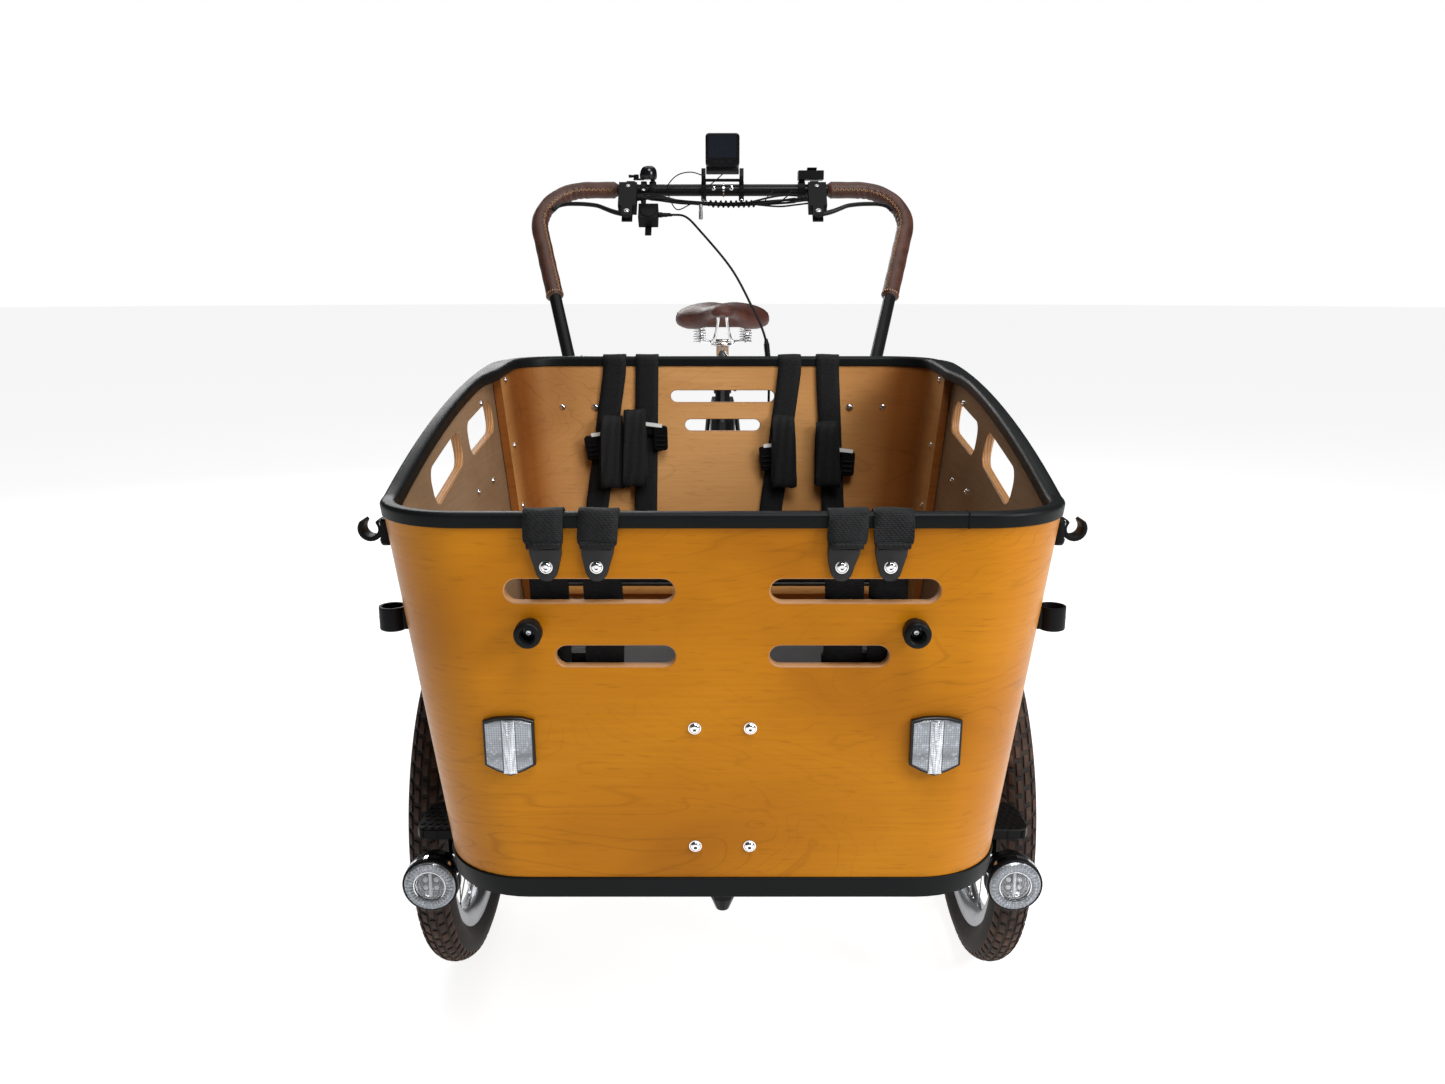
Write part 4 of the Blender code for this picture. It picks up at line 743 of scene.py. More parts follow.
def bent_sheet(stations, inset, inner_look=0):
    """A bent plywood sheet through stations given as (side, place), with its length as U."""
    bm = bmesh.new()
    uv = bm.loops.layers.uv.new("UVMap")
    columns, lengths, before = [], [], None
    for side, place in stations:
        top = sheet_top(side, place)
        points = [wall_point(side, place, z, depth) for depth, z in
                  ((inset, WALL_Z), (inset, top), (inset + SHEET, top), (inset + SHEET, WALL_Z))]
        middle = wall_point(side, place, 0.55, inset)
        lengths.append(lengths[-1] + (middle - before).length if lengths else 0.0)
        before = middle
        columns.append([bm.verts.new(point) for point in points])
    for i in range(len(columns) - 1):
        for j in range(4):
            n = (j + 1) % 4
            face = bm.faces.new((columns[i][j], columns[i][n], columns[i + 1][n], columns[i + 1][j]))
            face.material_index = inner_look if j == 2 else 0
            for corner in face.loops:
                at = i if corner.vert in columns[i] else i + 1
                corner[uv].uv = (lengths[at], corner.vert.co.z)
    for column in (columns[0], columns[-1]):
        face = bm.faces.new(column)
        for corner in face.loops:
            corner[uv].uv = (corner.vert.co.y, corner.vert.co.z)
    bmesh.ops.recalc_face_normals(bm, faces=bm.faces)
    mesh = bpy.data.meshes.new("sheet")
    bm.to_mesh(mesh)
    bm.free()
    return mesh


def front_frame(x, z, lift=0.0003):
    """Places flat things on the front panel: local X across, local Y up, local Z forward."""
    up = Vector((0, FRONT_RIM_Y - FRONT_BASE_Y, RIM_FRONT_Z - BASE_Z)).normalized()
    place = placed(wall_point(1, 0, z), (1, 0, 0), up)
    return Matrix.Translation((x, 0, 0)) @ place @ Matrix.Translation((0, 0, lift))


def layer_look(name, across):
    """Edge look whose layers lie along one direction through the sheet."""
    look = Look(name, (0.4, 0.2, 0.08), 0.6)
    where = look.add("TexCoord").outputs["Object"]
    split = look.add("SeparateXYZ", {0: where})
    stack = look.maths("PINGPONG", look.maths("MULTIPLY", split.outputs[across], 270.0), 0.5)
    fine = look.noise(look.place("Object", (80, 80, 80)), 1.0, 3.0)
    tone = look.ramp(stack, [(0.12, (0.42, 0.2, 0.07)), (0.36, (0.2, 0.085, 0.028))])
    look.colour(look.mix(look.maths("MULTIPLY", fine, 0.4), tone, (0.52, 0.27, 0.1)))
    look.bump(stack, 0.0002)
    return look.material


CUT_Y = layer_look("ply_layers_y", "Y")
CUT_X = layer_look("ply_layers_x", "X")


def eased_cutter(piece, outline, place, near, far, look, ease_by=0.0012):
    """Adds a slot cutter that leaves a small round on both faces of the sheet between near and far."""
    levels = [
        (near - 0.01, ease_by), (near, ease_by), (near + ease_by, 0), (far - ease_by, 0), (far, ease_by)
    ]
    levels.append((far + 0.01, ease_by))
    rings = []
    for height, grow in levels:
        ring = []
        for i, (a, b) in enumerate(outline):
            normal = (Vector(outline[(i + 1) % len(outline)]) - Vector(outline[i - 1])).normalized()
            ring.append(place @ Vector((a + normal.y * grow, b - normal.x * grow, height)))
        rings.append(ring)
    piece.skin(rings, look=look)


def panel(name, replaces, stations, inset, cutters, looks, inner_look=0):
    """A bent sheet less its cutters; looks are the veneer, the cut edges and any inner veneer."""
    mesh, tool = bent_sheet(stations, inset, inner_look), cutters.mesh()
    for look in looks:
        mesh.materials.append(look)
        tool.materials.append(look)
    finished(cut(mesh, tool), name, looks, replaces=replaces)


def build_panels():
    """The front and rear bent sheets with their slots and hand-holds."""
    half = [(1, place) for place in (*stretch(LAP_END, 2.03, 14), 2.0, *stretch(1.93, 1.07, 12), 1.0, 0.97)]
    stations = half + [(-1, place) for _, place in reversed(half)]
    cutters = Piece()
    for side in (1, -1):
        for x, z, length, height in ((0.1335, 0.679, 0.171, 0.025), (0.109, 0.609, 0.122, 0.0225)):
            eased_cutter(cutters, obround(length, height), front_frame(side * x, z, 0.0), -SHEET, 0.0, 1)
        for y, z, tilt in ((-0.17, 0.755, 0.198), (0.035, 0.78, 0.117)):
            share = (y - wall_point(1, 2, z).y) / (wall_point(1, 3, z).y - wall_point(1, 2, z).y)
            wall = wall_point(side, 2 + share, z)
            slope = wall_point(side, 2.5, 0.8) - wall_point(side, 2.5, 0.7)
            along = Vector((0, 1, tilt)).normalized()
            place = placed((wall.x - side * SHEET / 2, y, z), along, slope - along * slope.dot(along))
            outline = rounded_rectangle(0.16, 0.046, 0.018, 6)
            eased_cutter(cutters, outline, place, -SHEET / 2, SHEET / 2, 2, 0.0014)
    panel(
        "front_ply_panel", "box_front_panel", stations, 0, cutters,
        [PLY_OUT, CUT_Y, CUT_X, PLY_INNER_SHADED], 3
    )

    half = [(1, place) for place in (*stretch(LAP_START, 3.0, 2), *stretch(3.07, 4.0, 13), 4.03)]
    stations = half + [(-1, place) for _, place in reversed(half)]
    cutters = Piece()
    for z, reach in ((0.797, 0.0865), (0.749, 0.063)):
        place = placed((0, wall_point(1, 5, z, LAP_INSET).y, z), (-1, 0, 0), (0, 0, 1))
        eased_cutter(cutters, obround(2 * reach, 0.02), place, -SHEET, 0.0, 1)
    panel("rear_ply_panel", "box_rear_panel", stations, LAP_INSET, cutters, [PLY_IN, CUT_Y])


def ramp(value, start, end):
    """How far a value has gone from start to end, from 0 to 1."""
    return min(1.0, max(0.0, (value - start) / (end - start)))


def edge_insets(place):
    """Outer and inner inset of a trim that covers both sheets where they lap."""
    outer = lerp(0, LAP_INSET, ramp(place, LAP_END + 0.02, LAP_END + 0.12)) - TRIM_LIP
    inner = lerp(SHEET, LAP_INSET + SHEET, ramp(place, LAP_START - 0.12, LAP_START - 0.01)) + TRIM_LIP
    return outer, inner


def edge_ring(piece, low_of, high_of, round_by):
    """A closed ring of trim round the box, its top edges rounded."""
    places = [0, 0.95, *stretch(1, 2, 12), *stretch(2.06, 2.8, 12), *stretch(2.83, 3.05, 6)]
    places += [*stretch(3.1, 4, 12), 4.05, 5]
    stations = [(1, place) for place in places] + [(-1, place) for place in reversed(places[1:-1])]
    rings = []
    for side, place in stations:
        outer, inner = edge_insets(place)
        low, high = low_of(side, place), high_of(side, place)
        ring = [wall_point(side, place, low, outer + 0.0012), wall_point(side, place, low + 0.0008, outer)]
        for turn in range(0, 91, 18):
            angle = math.radians(turn)
            ring.append(
                wall_point(
                    side, place, high - round_by * (1 - math.sin(angle)),
                    outer + round_by * (1 - math.cos(angle))
                )
            )
        for turn in range(90, -1, -18):
            angle = math.radians(turn)
            ring.append(
                wall_point(
                    side, place, high - round_by * (1 - math.sin(angle)),
                    inner - round_by * (1 - math.cos(angle))
                )
            )
        ring += [wall_point(side, place, low + 0.0008, inner), wall_point(side, place, low, inner - 0.0012)]
        rings.append(ring)
    return piece.skin(rings, loop=True)


def build_trims():
    """Rim trim and base band round the box."""
    edge_ring(
        Piece(), lambda s, p: sheet_top(s, p) + 0.0003, lambda s, p: sheet_top(s, p) + TRIM_HEIGHT, 0.0055
    ).done("rim_profile", TRIM, "black_trim", replaces="rim_trim")
    edge_ring(Piece(), lambda s, p: BASE_Z, lambda s, p: WALL_Z - 0.0003, 0.0016).done(
        "base_profile", TRIM, "black_trim", replaces="base_band")
    seam = Piece()
    for side, place in ((1, 0.93), (-1, 4.1)):
        middle = wall_point(side, place, sheet_top(side, place) + 0.008, SHEET / 2)
        seam.block(middle - Vector((0.0006, 0.0092, 0.0078)), middle + Vector((0.0006, 0.0092, 0.0083)))
    seam.done("rim_seams", PLASTIC, "black_trim")


def wall_frame(side, place, z, inset=0.0, inward=False):
    """A place on the box wall whose local Z points out of the wall, or into the box."""
    here = wall_point(side, place, z, inset)
    step = wall_point(side, place + 0.01, z, inset) - wall_point(side, place - 0.01, z, inset)
    up = wall_point(side, place, z + 0.01, inset) - wall_point(side, place, z - 0.01, inset)
    out = step.cross(up).normalized()
    centre = wall_point(side, place, z, inset + 0.05)
    if (out.dot(here - centre) < 0) != inward:
        out = -out
    return axis_place(here, out)


def build_bolts():
    """The bolts through the panels."""
    outside = Piece()
    for x in (-0.029, 0.029):
        for z in (0.529, 0.391):
            bolt(outside, front_frame(x, z), 0.0068)
    for x in (-0.175, -0.125, 0.1185, 0.167):
        bolt(outside, front_frame(x, 0.7055, 0.0046), 0.0066)
    outside.done("front_bolts", CHROME, "chrome")
    inside = Piece()
    depth = LAP_INSET + SHEET + 0.0002
    for side in (1, -1):
        for x, z in ((0.212, 0.779), (0.268, 0.779)):
            wall = wall_point(1, 5, z, depth)
            bolt(inside, axis_place((side * x, wall.y, z), (0, -1, 0)), 0.0062)
        for z in (0.836, 0.735, 0.64):
            bolt(inside, wall_frame(side, 2.89, z, depth, True), 0.0055)
        for z in (0.812, 0.7):
            bolt(inside, wall_frame(side, 2.7, z, SHEET + 0.0002, True), 0.005)
        for place, z in ((2.1, 0.722), (2.1, 0.64), (2.3, 0.7), (2.55, 0.7)):
            bolt(inside, wall_frame(side, place, z, SHEET + 0.0002, True), 0.005)
    inside.done("inner_bolts", CHROME, "chrome")


build_panels()
build_trims()
build_bolts()


# ---------------------------------------------------------------- fittings on the box


def build_reflectors():
    """Shield-shaped prism reflectors: a dark shell, two prism fields and a smooth middle ridge."""
    outline = [(-0.0265, -0.0215), (-0.0145, -0.0285), (0, -0.034), (0.0145, -0.0285), (0.0265, -0.0215)]
    outline += [(0.0265, 0.0285), (0.014, 0.032), (0, 0.0328), (-0.014, 0.032), (-0.0265, 0.0285)]
    for name, side in SIDES.items():
        place = front_frame(side * 0.2215, 0.511)
        shell = Piece().slab(outline, place, 0.006, edge=0.0006)
        shell.done(f"reflector_shell_{name}", BEZEL, "black_trim")
        lens = Piece()
        inner = [(a * 0.915, b * 0.925) for a, b in outline]
        lens.slab(inner, place @ Matrix.Translation((0, 0, 0.0058)), 0.0014, 2, 0.0004)
        for lean in (-1, 1):
            low_x, high_x = sorted((lean * 0.0075, lean * 0.0238))
            field = [(low_x, -0.027 if lean > 0 else -0.0195), (high_x, -0.0195 if lean > 0 else -0.027)]
            field += [(high_x, 0.0262 if lean > 0 else 0.0295), (low_x, 0.0295 if lean > 0 else 0.0262)]
            lens.slab(field, place @ Matrix.Translation((0, 0, 0.007)), 0.0006, edge=0.0002)
        ridge = []
        for height in (-0.0305, -0.029, 0.029, 0.03):
            shrink = 0.6 if abs(height) > 0.0295 else 1.0
            section = [
                (-0.0068, 0.007), (-0.003, 0.007 + 0.0012 * shrink), (0.0006, 0.007 + 0.003 * shrink)
            ]
            section += [(0.004, 0.007 + 0.001 * shrink), (0.0072, 0.007)]
            ridge.append([place @ Vector((a, height, b)) for a, b in section])
        lens.skin(ridge, look=1)
        lens.done(
            f"reflector_lens_{name}", [PRISM, BRIGHT_PRISM, SMOKED], "clear_lens",
            replaces=f"front_reflector_{name}"
        )


def build_bumpers():
    """Rubber knobs with their screws on the front panel."""
    for name, side in SIDES.items():
        place = front_frame(side * 0.194, 0.64)
        forward = place.to_3x3() @ Vector((0, 0, 1))
        profile = [
            (0, 0.01), (0.0005, 0.0108), (0.008, 0.0108), (0.0088, 0.0118), (0.0096, 0.0134), (0.011, 0.014)
        ]
        profile += [(0.0215, 0.014), (0.0238, 0.0134), (0.0252, 0.0118), (0.0254, 0.0092), (0.0246, 0.008)]
        profile += [(0.02, 0.0076), (0.015, 0.0074), (0.012, 0.007)]
        knob = Piece().lathe(place.translation, forward, profile, 36)
        knob.done(f"bumper_knob_{name}", TRIM, "black_trim", replaces=f"bumper_{name}")
        screw = Piece()
        bolt(screw, axis_place(place.translation + forward * 0.0122, forward), 0.0052)
        screw.done(f"bumper_screw_{name}", STEEL, "chrome")


LIGHT_X, LIGHT_Y, LIGHT_Z = 0.346, -0.36, 0.285


def build_headlights():
    """A ring of prisms round a clear lens, over a faceted bowl with an upright light bar."""
    for name, side in SIDES.items():
        face = Vector((side * LIGHT_X, LIGHT_Y, LIGHT_Z))
        back = Vector((0, 1, 0))
        shell = [
            (0.0196, 0.0012), (0.0196, 0.0158), (0.002, 0.0158), (-0.0002, 0.0302), (-0.0002, 0.0318),
            (0.0008, 0.0329), (0.0065, 0.033), (0.0072, 0.0322)
        ]
        shell += [(0.012, 0.0322), (0.013, 0.033), (0.0195, 0.033), (0.0215, 0.0318), (0.024, 0.03)]
        shell += [(0.035, 0.0282), (0.042, 0.0255), (0.0475, 0.0195), (0.0515, 0.0118), (0.052, 0.01)]
        case = Piece().lathe(face, back, shell, 48)
        case.done(f"headlight_case_{name}", PLASTIC, "black_trim", replaces=f"headlight_{name}")
        band = Piece()
        for i in range(17):
            turn = math.radians(90 + (i - 8) * 8.6)
            out = outward(turn)
            place = placed(face + out * 0.03225 + back * 0.01, (-math.sin(turn), 0, math.cos(turn)), back)
            band.slab(
                rounded_rectangle(0.0043, 0.0125, 0.0006, 2), place @ Matrix.Translation((0, 0, -0.0006)),
                0.0012
            )
        band.done(f"headlight_band_{name}", CHROME, "chrome")

        prisms = Piece()
        ring = [
            (-0.0004, 0.0182), (-0.0022, 0.019), (-0.003, 0.0235), (-0.0024, 0.0285), (-0.0004, 0.0303),
            (0.001, 0.0303), (0.001, 0.0182)
        ]
        rings = []
        for i in range(72):
            turn = 2 * math.pi * i / 72
            out = outward(turn)
            lift = 0.0005 if i % 2 else 0.0
            rings.append(
                [
                    face + out * radius + back * (along - (lift if along < -0.001 else 0)) for along,
                    radius in ring
                ]
            )
        prisms.skin(rings, loop=True)
        prisms.done(f"headlight_prisms_{name}", PRISM, "clear_lens", angle=12)

        bowl = Piece()
        rings = []
        for depth, radius in ((0.0004, 0.0181), (0.006, 0.016), (0.012, 0.0105), (0.015, 0.004)):
            ring = []
            for i in range(24):
                turn = 2 * math.pi * (i + 0.5 * (depth > 0.008)) / 24
                facet = 1.0 - 0.05 * (i % 2)
                ring.append(
                    face + outward(turn) * radius * facet + back * depth
                )
            rings.append(ring)
        bowl.skin(rings, caps=False)
        made = bowl.done(f"headlight_bowl_{name}", BRIGHT_PRISM, "chrome", angle=5)
        made.modifiers.new("thick", "SOLIDIFY").thickness = 0.0006
        bar = Piece().block(
            face + Vector((-0.0017, 0.0022, -0.0172)), face + Vector((0.0017, 0.0052, 0.0172)), 0, 0.0008
        )
        for turn in (38, 142, 218, 322):
            out = Vector((math.cos(math.radians(turn)), 0, math.sin(math.radians(turn))))
            bar.lathe(
                face + out * 0.0082 + back * 0.0065, -back,
                [(0, 0.003), (0.0012, 0.003), (0.0026, 0.0016), (0.003, 0.0004)], 12
            )
        bar.done(f"headlight_bar_{name}", LED, "clear_lens")
        glass = Piece().lathe(
            face, back,
            [
                (-0.0034, 0.0003), (-0.0033, 0.006), (-0.0026, 0.012), (-0.0012, 0.017), (-0.0006, 0.017),
                (-0.002, 0.012), (-0.0027, 0.006), (-0.0028, 0.0003)
            ],
            40
        )
        glass.done(f"headlight_glass_{name}", CLEAR, "clear_lens")
        rim = Piece()
        ring = [(0.0176, -0.0008), (0.0181, -0.0022), (0.019, -0.0026), (0.0194, -0.0012), (0.0186, 0.0004)]
        rings = []
        for i in range(48):
            turn = 2 * math.pi * i / 48
            out = outward(turn)
            rings.append([face + out * radius + back * along for radius, along in ring])
        rim.skin(rings, loop=True)
        rim.done(f"headlight_ring_{name}", CHROME, "chrome")


def build_steps():
    """The ribbed steps above the headlights."""
    for name, side in SIDES.items():
        tread = Piece()
        outline = [(0.3132, -0.3398), (0.354, -0.3398), (0.361, -0.3368), (0.3648, -0.33), (0.3648, -0.287)]
        outline += [(0.36, -0.27), (0.35, -0.2622), (0.3132, -0.2622)]
        tread.slab(
            [(side * x, y) for x, y in outline], Matrix.Translation((0, 0, 0.334)), 0.0128, edge=0.0012
        )
        for row in range(7):
            for column in range(5):
                x = 0.3185 + column * 0.0092 + (0.0046 if row % 2 else 0)
                y = -0.334 + row * 0.0106
                if x < 0.361 and not (x > 0.354 and y > -0.272):
                    tread.lathe(
                        (side * x, y, 0.3467), (0, 0, 1), [(0, 0.0034), (0.0009, 0.003), (0.0012, 0.0016)],
                        10
                    )
        for x in (0.3225, 0.34, 0.3575):
            tread.block((side * x - 0.0012, -0.3405, 0.335), (side * x + 0.0012, -0.3396, 0.3455))
        tread.block(
            (min(side * 0.315, side * 0.333), -0.311, 0.3203),
            (max(side * 0.315, side * 0.333), -0.289, 0.3345), 0, 0.001
        )
        tread.done(f"step_plate_{name}", PLASTIC, "black_frame", replaces=f"step_{name}", angle=30)


def build_tent_fittings():
    """Clips and pole cups for the rain tent."""
    y = -0.375
    for name, side in SIDES.items():
        wall_x = wall_point(1, 2.02, 0.735).x
        centre = Vector((side * (wall_x + 0.0225), y, 0.722))
        clip = Piece()
        rings = []
        for step in range(19):
            turn = math.radians(lerp(130, 410, step / 18))
            out = Vector((side * math.cos(turn), 0, math.sin(turn)))
            thick = 0.0018 + (0.0008 if 0 < step < 18 else 0)
            ring = []
            for a, b in rounded_rectangle(thick * 2, 0.0218, 0.0012, 3):
                ring.append(centre + out * (0.01115 + a) + Vector((0, b, 0)))
            rings.append(ring)
        clip.skin(rings)
        low_x, high_x = sorted((side * (wall_x + 0.0003), side * (wall_x + 0.0112)))
        clip.block((low_x, y - 0.015, 0.7045), (high_x, y + 0.015, 0.7335), 0, 0.0035)
        for z in (0.7095, 0.729):
            out = Vector((side, 0, 0.06))
            bolt(clip, axis_place((side * (wall_x + 0.0106), y - 0.0098, z), out), 0.0036, 1)
        clip.done(f"tent_clip_hook_{name}", [PLASTIC, STEEL], "black_trim", replaces=f"tent_clip_{name}")

        wall_x = wall_point(1, 2.02, 0.634).x
        cup_x = wall_x + 0.019
        cup = Piece()
        bowl = [
            (0, 0.0125), (0.001, 0.0145), (0.0025, 0.0149), (0.023, 0.0149), (0.024, 0.015),
            (0.0268, 0.0148)
        ]
        bowl += [(0.027, 0.0138), (0.0268, 0.012), (0.025, 0.0115), (0.0062, 0.0115)]
        cup.lathe((side * cup_x, y, 0.607), (0, 0, 1), bowl, 32)
        low_x, high_x = sorted((side * (wall_x + 0.0003), side * (cup_x - 0.0122)))
        cup.block((low_x, y - 0.009, 0.609), (high_x, y + 0.009, 0.632), 0, 0.0015)
        plate_x = sorted((side * (wall_x + 0.0003), side * (wall_x + 0.003)))
        cup.block((plate_x[0], y - 0.0088, 0.6092), (plate_x[1], y + 0.0088, 0.6318), 0, 0.001)
        bolt(cup, axis_place((side * (wall_x + 0.0335), y, 0.6205), (side, 0, 0)), 0.0034, 1, 0.25)
        cup.done(f"tent_cup_{name}", [PLASTIC, STEEL], "black_trim", replaces=f"tent_pole_cup_{name}")


build_reflectors()
build_bumpers()
build_headlights()
build_steps()
build_tent_fittings()


# ---------------------------------------------------------------- harnesses


STRAP_WIDTH = 0.038
STRAP_THICK = 0.0021


def webbing(
    piece, path, width=STRAP_WIDTH, thick=STRAP_THICK, across=ACROSS, look=0, wave=0.0, seed=0.0, pleats=5
):
    """A flat woven band along a path; width and across may be functions of the share along it."""
    path = [Vector(point) for point in path]
    last = len(path) - 1
    rings = []
    for i, point in enumerate(path):
        share = i / last
        along = tangent(path, i)
        side = Vector(across(share) if callable(across) else across)
        side = (side - along * side.dot(along)).normalized()
        normal = side.cross(along).normalized()
        wide = width(share) if callable(width) else width
        ring = []
        steps = 11 if pleats > 5 else 5
        spread = [k / (steps - 1) - 0.5 for k in range(steps)]
        flat = [(a * 0.97, 0.5 - 0.1 * (abs(a) == 0.5)) for a in spread]
        for a, b in [(-0.5, 0), *flat, (0.5, 0), *[(a, -b) for a, b in reversed(flat)]]:
            cup = wave * math.sin(seed + 9 * share + pleats * a) * (0.4 + abs(a))
            ring.append(point + side * (a * wide) + normal * (b * thick + cup))
        rings.append(ring)
    piece.skin(rings, look=look)


def front_loop(piece, x, lean, seed):
    """The loop of a front strap that folds over the rim, with its tapered tab."""
    top, low = RIM_FRONT_Z, 0.742
    out_y = FRONT_RIM_Y - TRIM_LIP
    in_y = FRONT_RIM_Y + SHEET + TRIM_LIP
    corners = [
        (x + lean, out_y - 0.003, low - 0.012), (x + lean * 0.8, out_y - 0.0062, low - 0.009),
        (x + lean * 0.5, out_y - 0.005, low)
    ]
    corners += [(x, out_y - 0.003, top - 0.008), (x, out_y, top - 0.0004), (x, out_y + 0.004, top + 0.0019)]
    corners += [
        (x, (out_y + in_y) / 2, top + 0.0024), (x, in_y - 0.0035, top + 0.0018),
        (x, in_y + 0.0018, top - 0.004)
    ]
    corners += [
        (x, in_y + 0.0026, top - 0.02), (x, in_y + 0.006, 0.7), (x + 0.001, in_y + 0.011, 0.64),
        (x, in_y + 0.013, 0.592)
    ]
    path = smooth_path(corners, 5)
    webbing(piece, path, lambda t: 0.04 - 0.0025 * ramp(0.12 - t, 0, 0.12), 0.0026, ACROSS, 0, 0.0009, seed)
    fold = smooth_path(
        [
            (x + lean, out_y - 0.006, low - 0.01), (x + lean, out_y - 0.0078, low - 0.013),
            (x + lean, out_y - 0.0058, low - 0.0158), (x + lean, out_y - 0.0035, low - 0.013),
            (x + lean, out_y - 0.003, low - 0.006)
        ],
        4
    )
    webbing(piece, fold, 0.0345, 0.0026, ACROSS, 0, 0.0006, seed + 2)


def front_tab(piece, x, lean):
    """A moulded tab under the loop, tapering to a round end at its bolt."""
    rings = []
    bolt_z, high_z = 0.7055, 0.7345
    for height, half, lift in (
        (high_z, 0.0165, 0.0052), (0.728, 0.0168, 0.005), (0.718, 0.016, 0.0044), (0.71, 0.014, 0.004),
        (0.705, 0.0126, 0.0038), (0.7, 0.0114, 0.0038), (0.696, 0.0098, 0.0037), (0.6925, 0.0072, 0.0036),
        (0.6905, 0.0036, 0.003)
    ):
        share = (height - bolt_z) / (high_z - bolt_z)
        centre = x + lean * max(0.0, share)
        ring = []
        for a, b in (
            (-1, 0.0), (-0.97, 0.75), (-0.85, 1.0), (0, 1.04), (0.85, 1.0), (0.97, 0.75), (1, 0.0)
        ):
            place = front_frame(centre + a * half, height, 0.0004 + b * lift)
            ring.append(place.translation)
        rings.append(ring)
    piece.skin(rings)
    ridge = []
    for a in (-0.88, -0.5, 0, 0.5, 0.88):
        ridge.append(front_frame(x + lean * 0.7 + a * 0.016, 0.7235, 0.0056).translation)
    piece.tube(ridge, 0.0007, 6)


def build_front_straps():
    """Both pairs of straps over the front rim, with tabs, bolts and buckles."""
    leans = {-0.175: -0.001, -0.125: 0.002, 0.1185: 0.0035, 0.167: 0.001}
    for name, places in (("left", (0.1185, 0.167)), ("right", (-0.125, -0.175))):
        straps, tabs = Piece(), Piece()
        for index, x in enumerate(places):
            loop_x = x + leans[x] * 1.5
            front_loop(straps, loop_x, -leans[x] * 0.6, index * 2.1 + x * 9)
            front_tab(tabs, x, leans[x])
        straps.done(
            f"front_strap_webbing_{name}", WEBBING, "webbing", replaces=f"harness_front_{name}", angle=60
        )
        tabs.done(f"front_strap_tabs_{name}", TAB, "black_trim", angle=50)
        hardware = Piece()
        middle = sum(places) / 2
        y = FRONT_RIM_Y + SHEET + TRIM_LIP + 0.019
        hardware.block((middle - 0.04, y - 0.0045, 0.579), (middle + 0.04, y + 0.006, 0.606), 0, 0.0035)
        hardware.block((middle - 0.014, y + 0.0055, 0.585), (middle + 0.014, y + 0.0085, 0.6), 0, 0.002)
        for x in places:
            hardware.block((x - 0.0235, y - 0.011, 0.642), (x + 0.0235, y - 0.0012, 0.664), 0, 0.002)
        hardware.done(f"front_strap_hardware_{name}", PLASTIC, "black_trim")


def folded_bundle(piece, x, y, top, low, lean, seed):
    """Slack webbing folded back on itself, pleated by its ties, hanging in a rounded loop."""
    for layer, (shift, depth, drop, wide) in enumerate(
        ((0.004, 0.0, 0.01, 0.032), (-0.003, 0.0052, 0.004, 0.033), (0.001, 0.0104, 0.0, 0.036))
    ):
        end = low + drop
        loop = [
            (x + shift * 0.3, y - depth + 0.005, top + 0.004),
            (x + shift * 0.3, y - depth - 0.001, top - 0.008)
        ]
        loop += [
            (x + shift + lean * 0.3, y - depth - 0.003, lerp(top, end, 0.35)),
            (x + shift + lean * 0.7, y - depth - 0.0036, lerp(top, end, 0.75))
        ]
        loop += [
            (x + shift + lean, y - depth - 0.003, end + 0.006), (x + shift + lean, y - depth + 0.0004, end),
            (x + shift + lean, y - depth + 0.0034, end + 0.008)
        ]
        turn = Vector((1, 0.22 * math.sin(seed + layer), 0.05 * math.cos(seed * 2 + layer))).normalized()
        webbing(
            piece, smooth_path(loop, 7), lambda t: wide + 0.005 * ramp(t, 0.1, 0.6), 0.0024, turn, 0,
            0.0015, seed + layer * 2, 17
        )


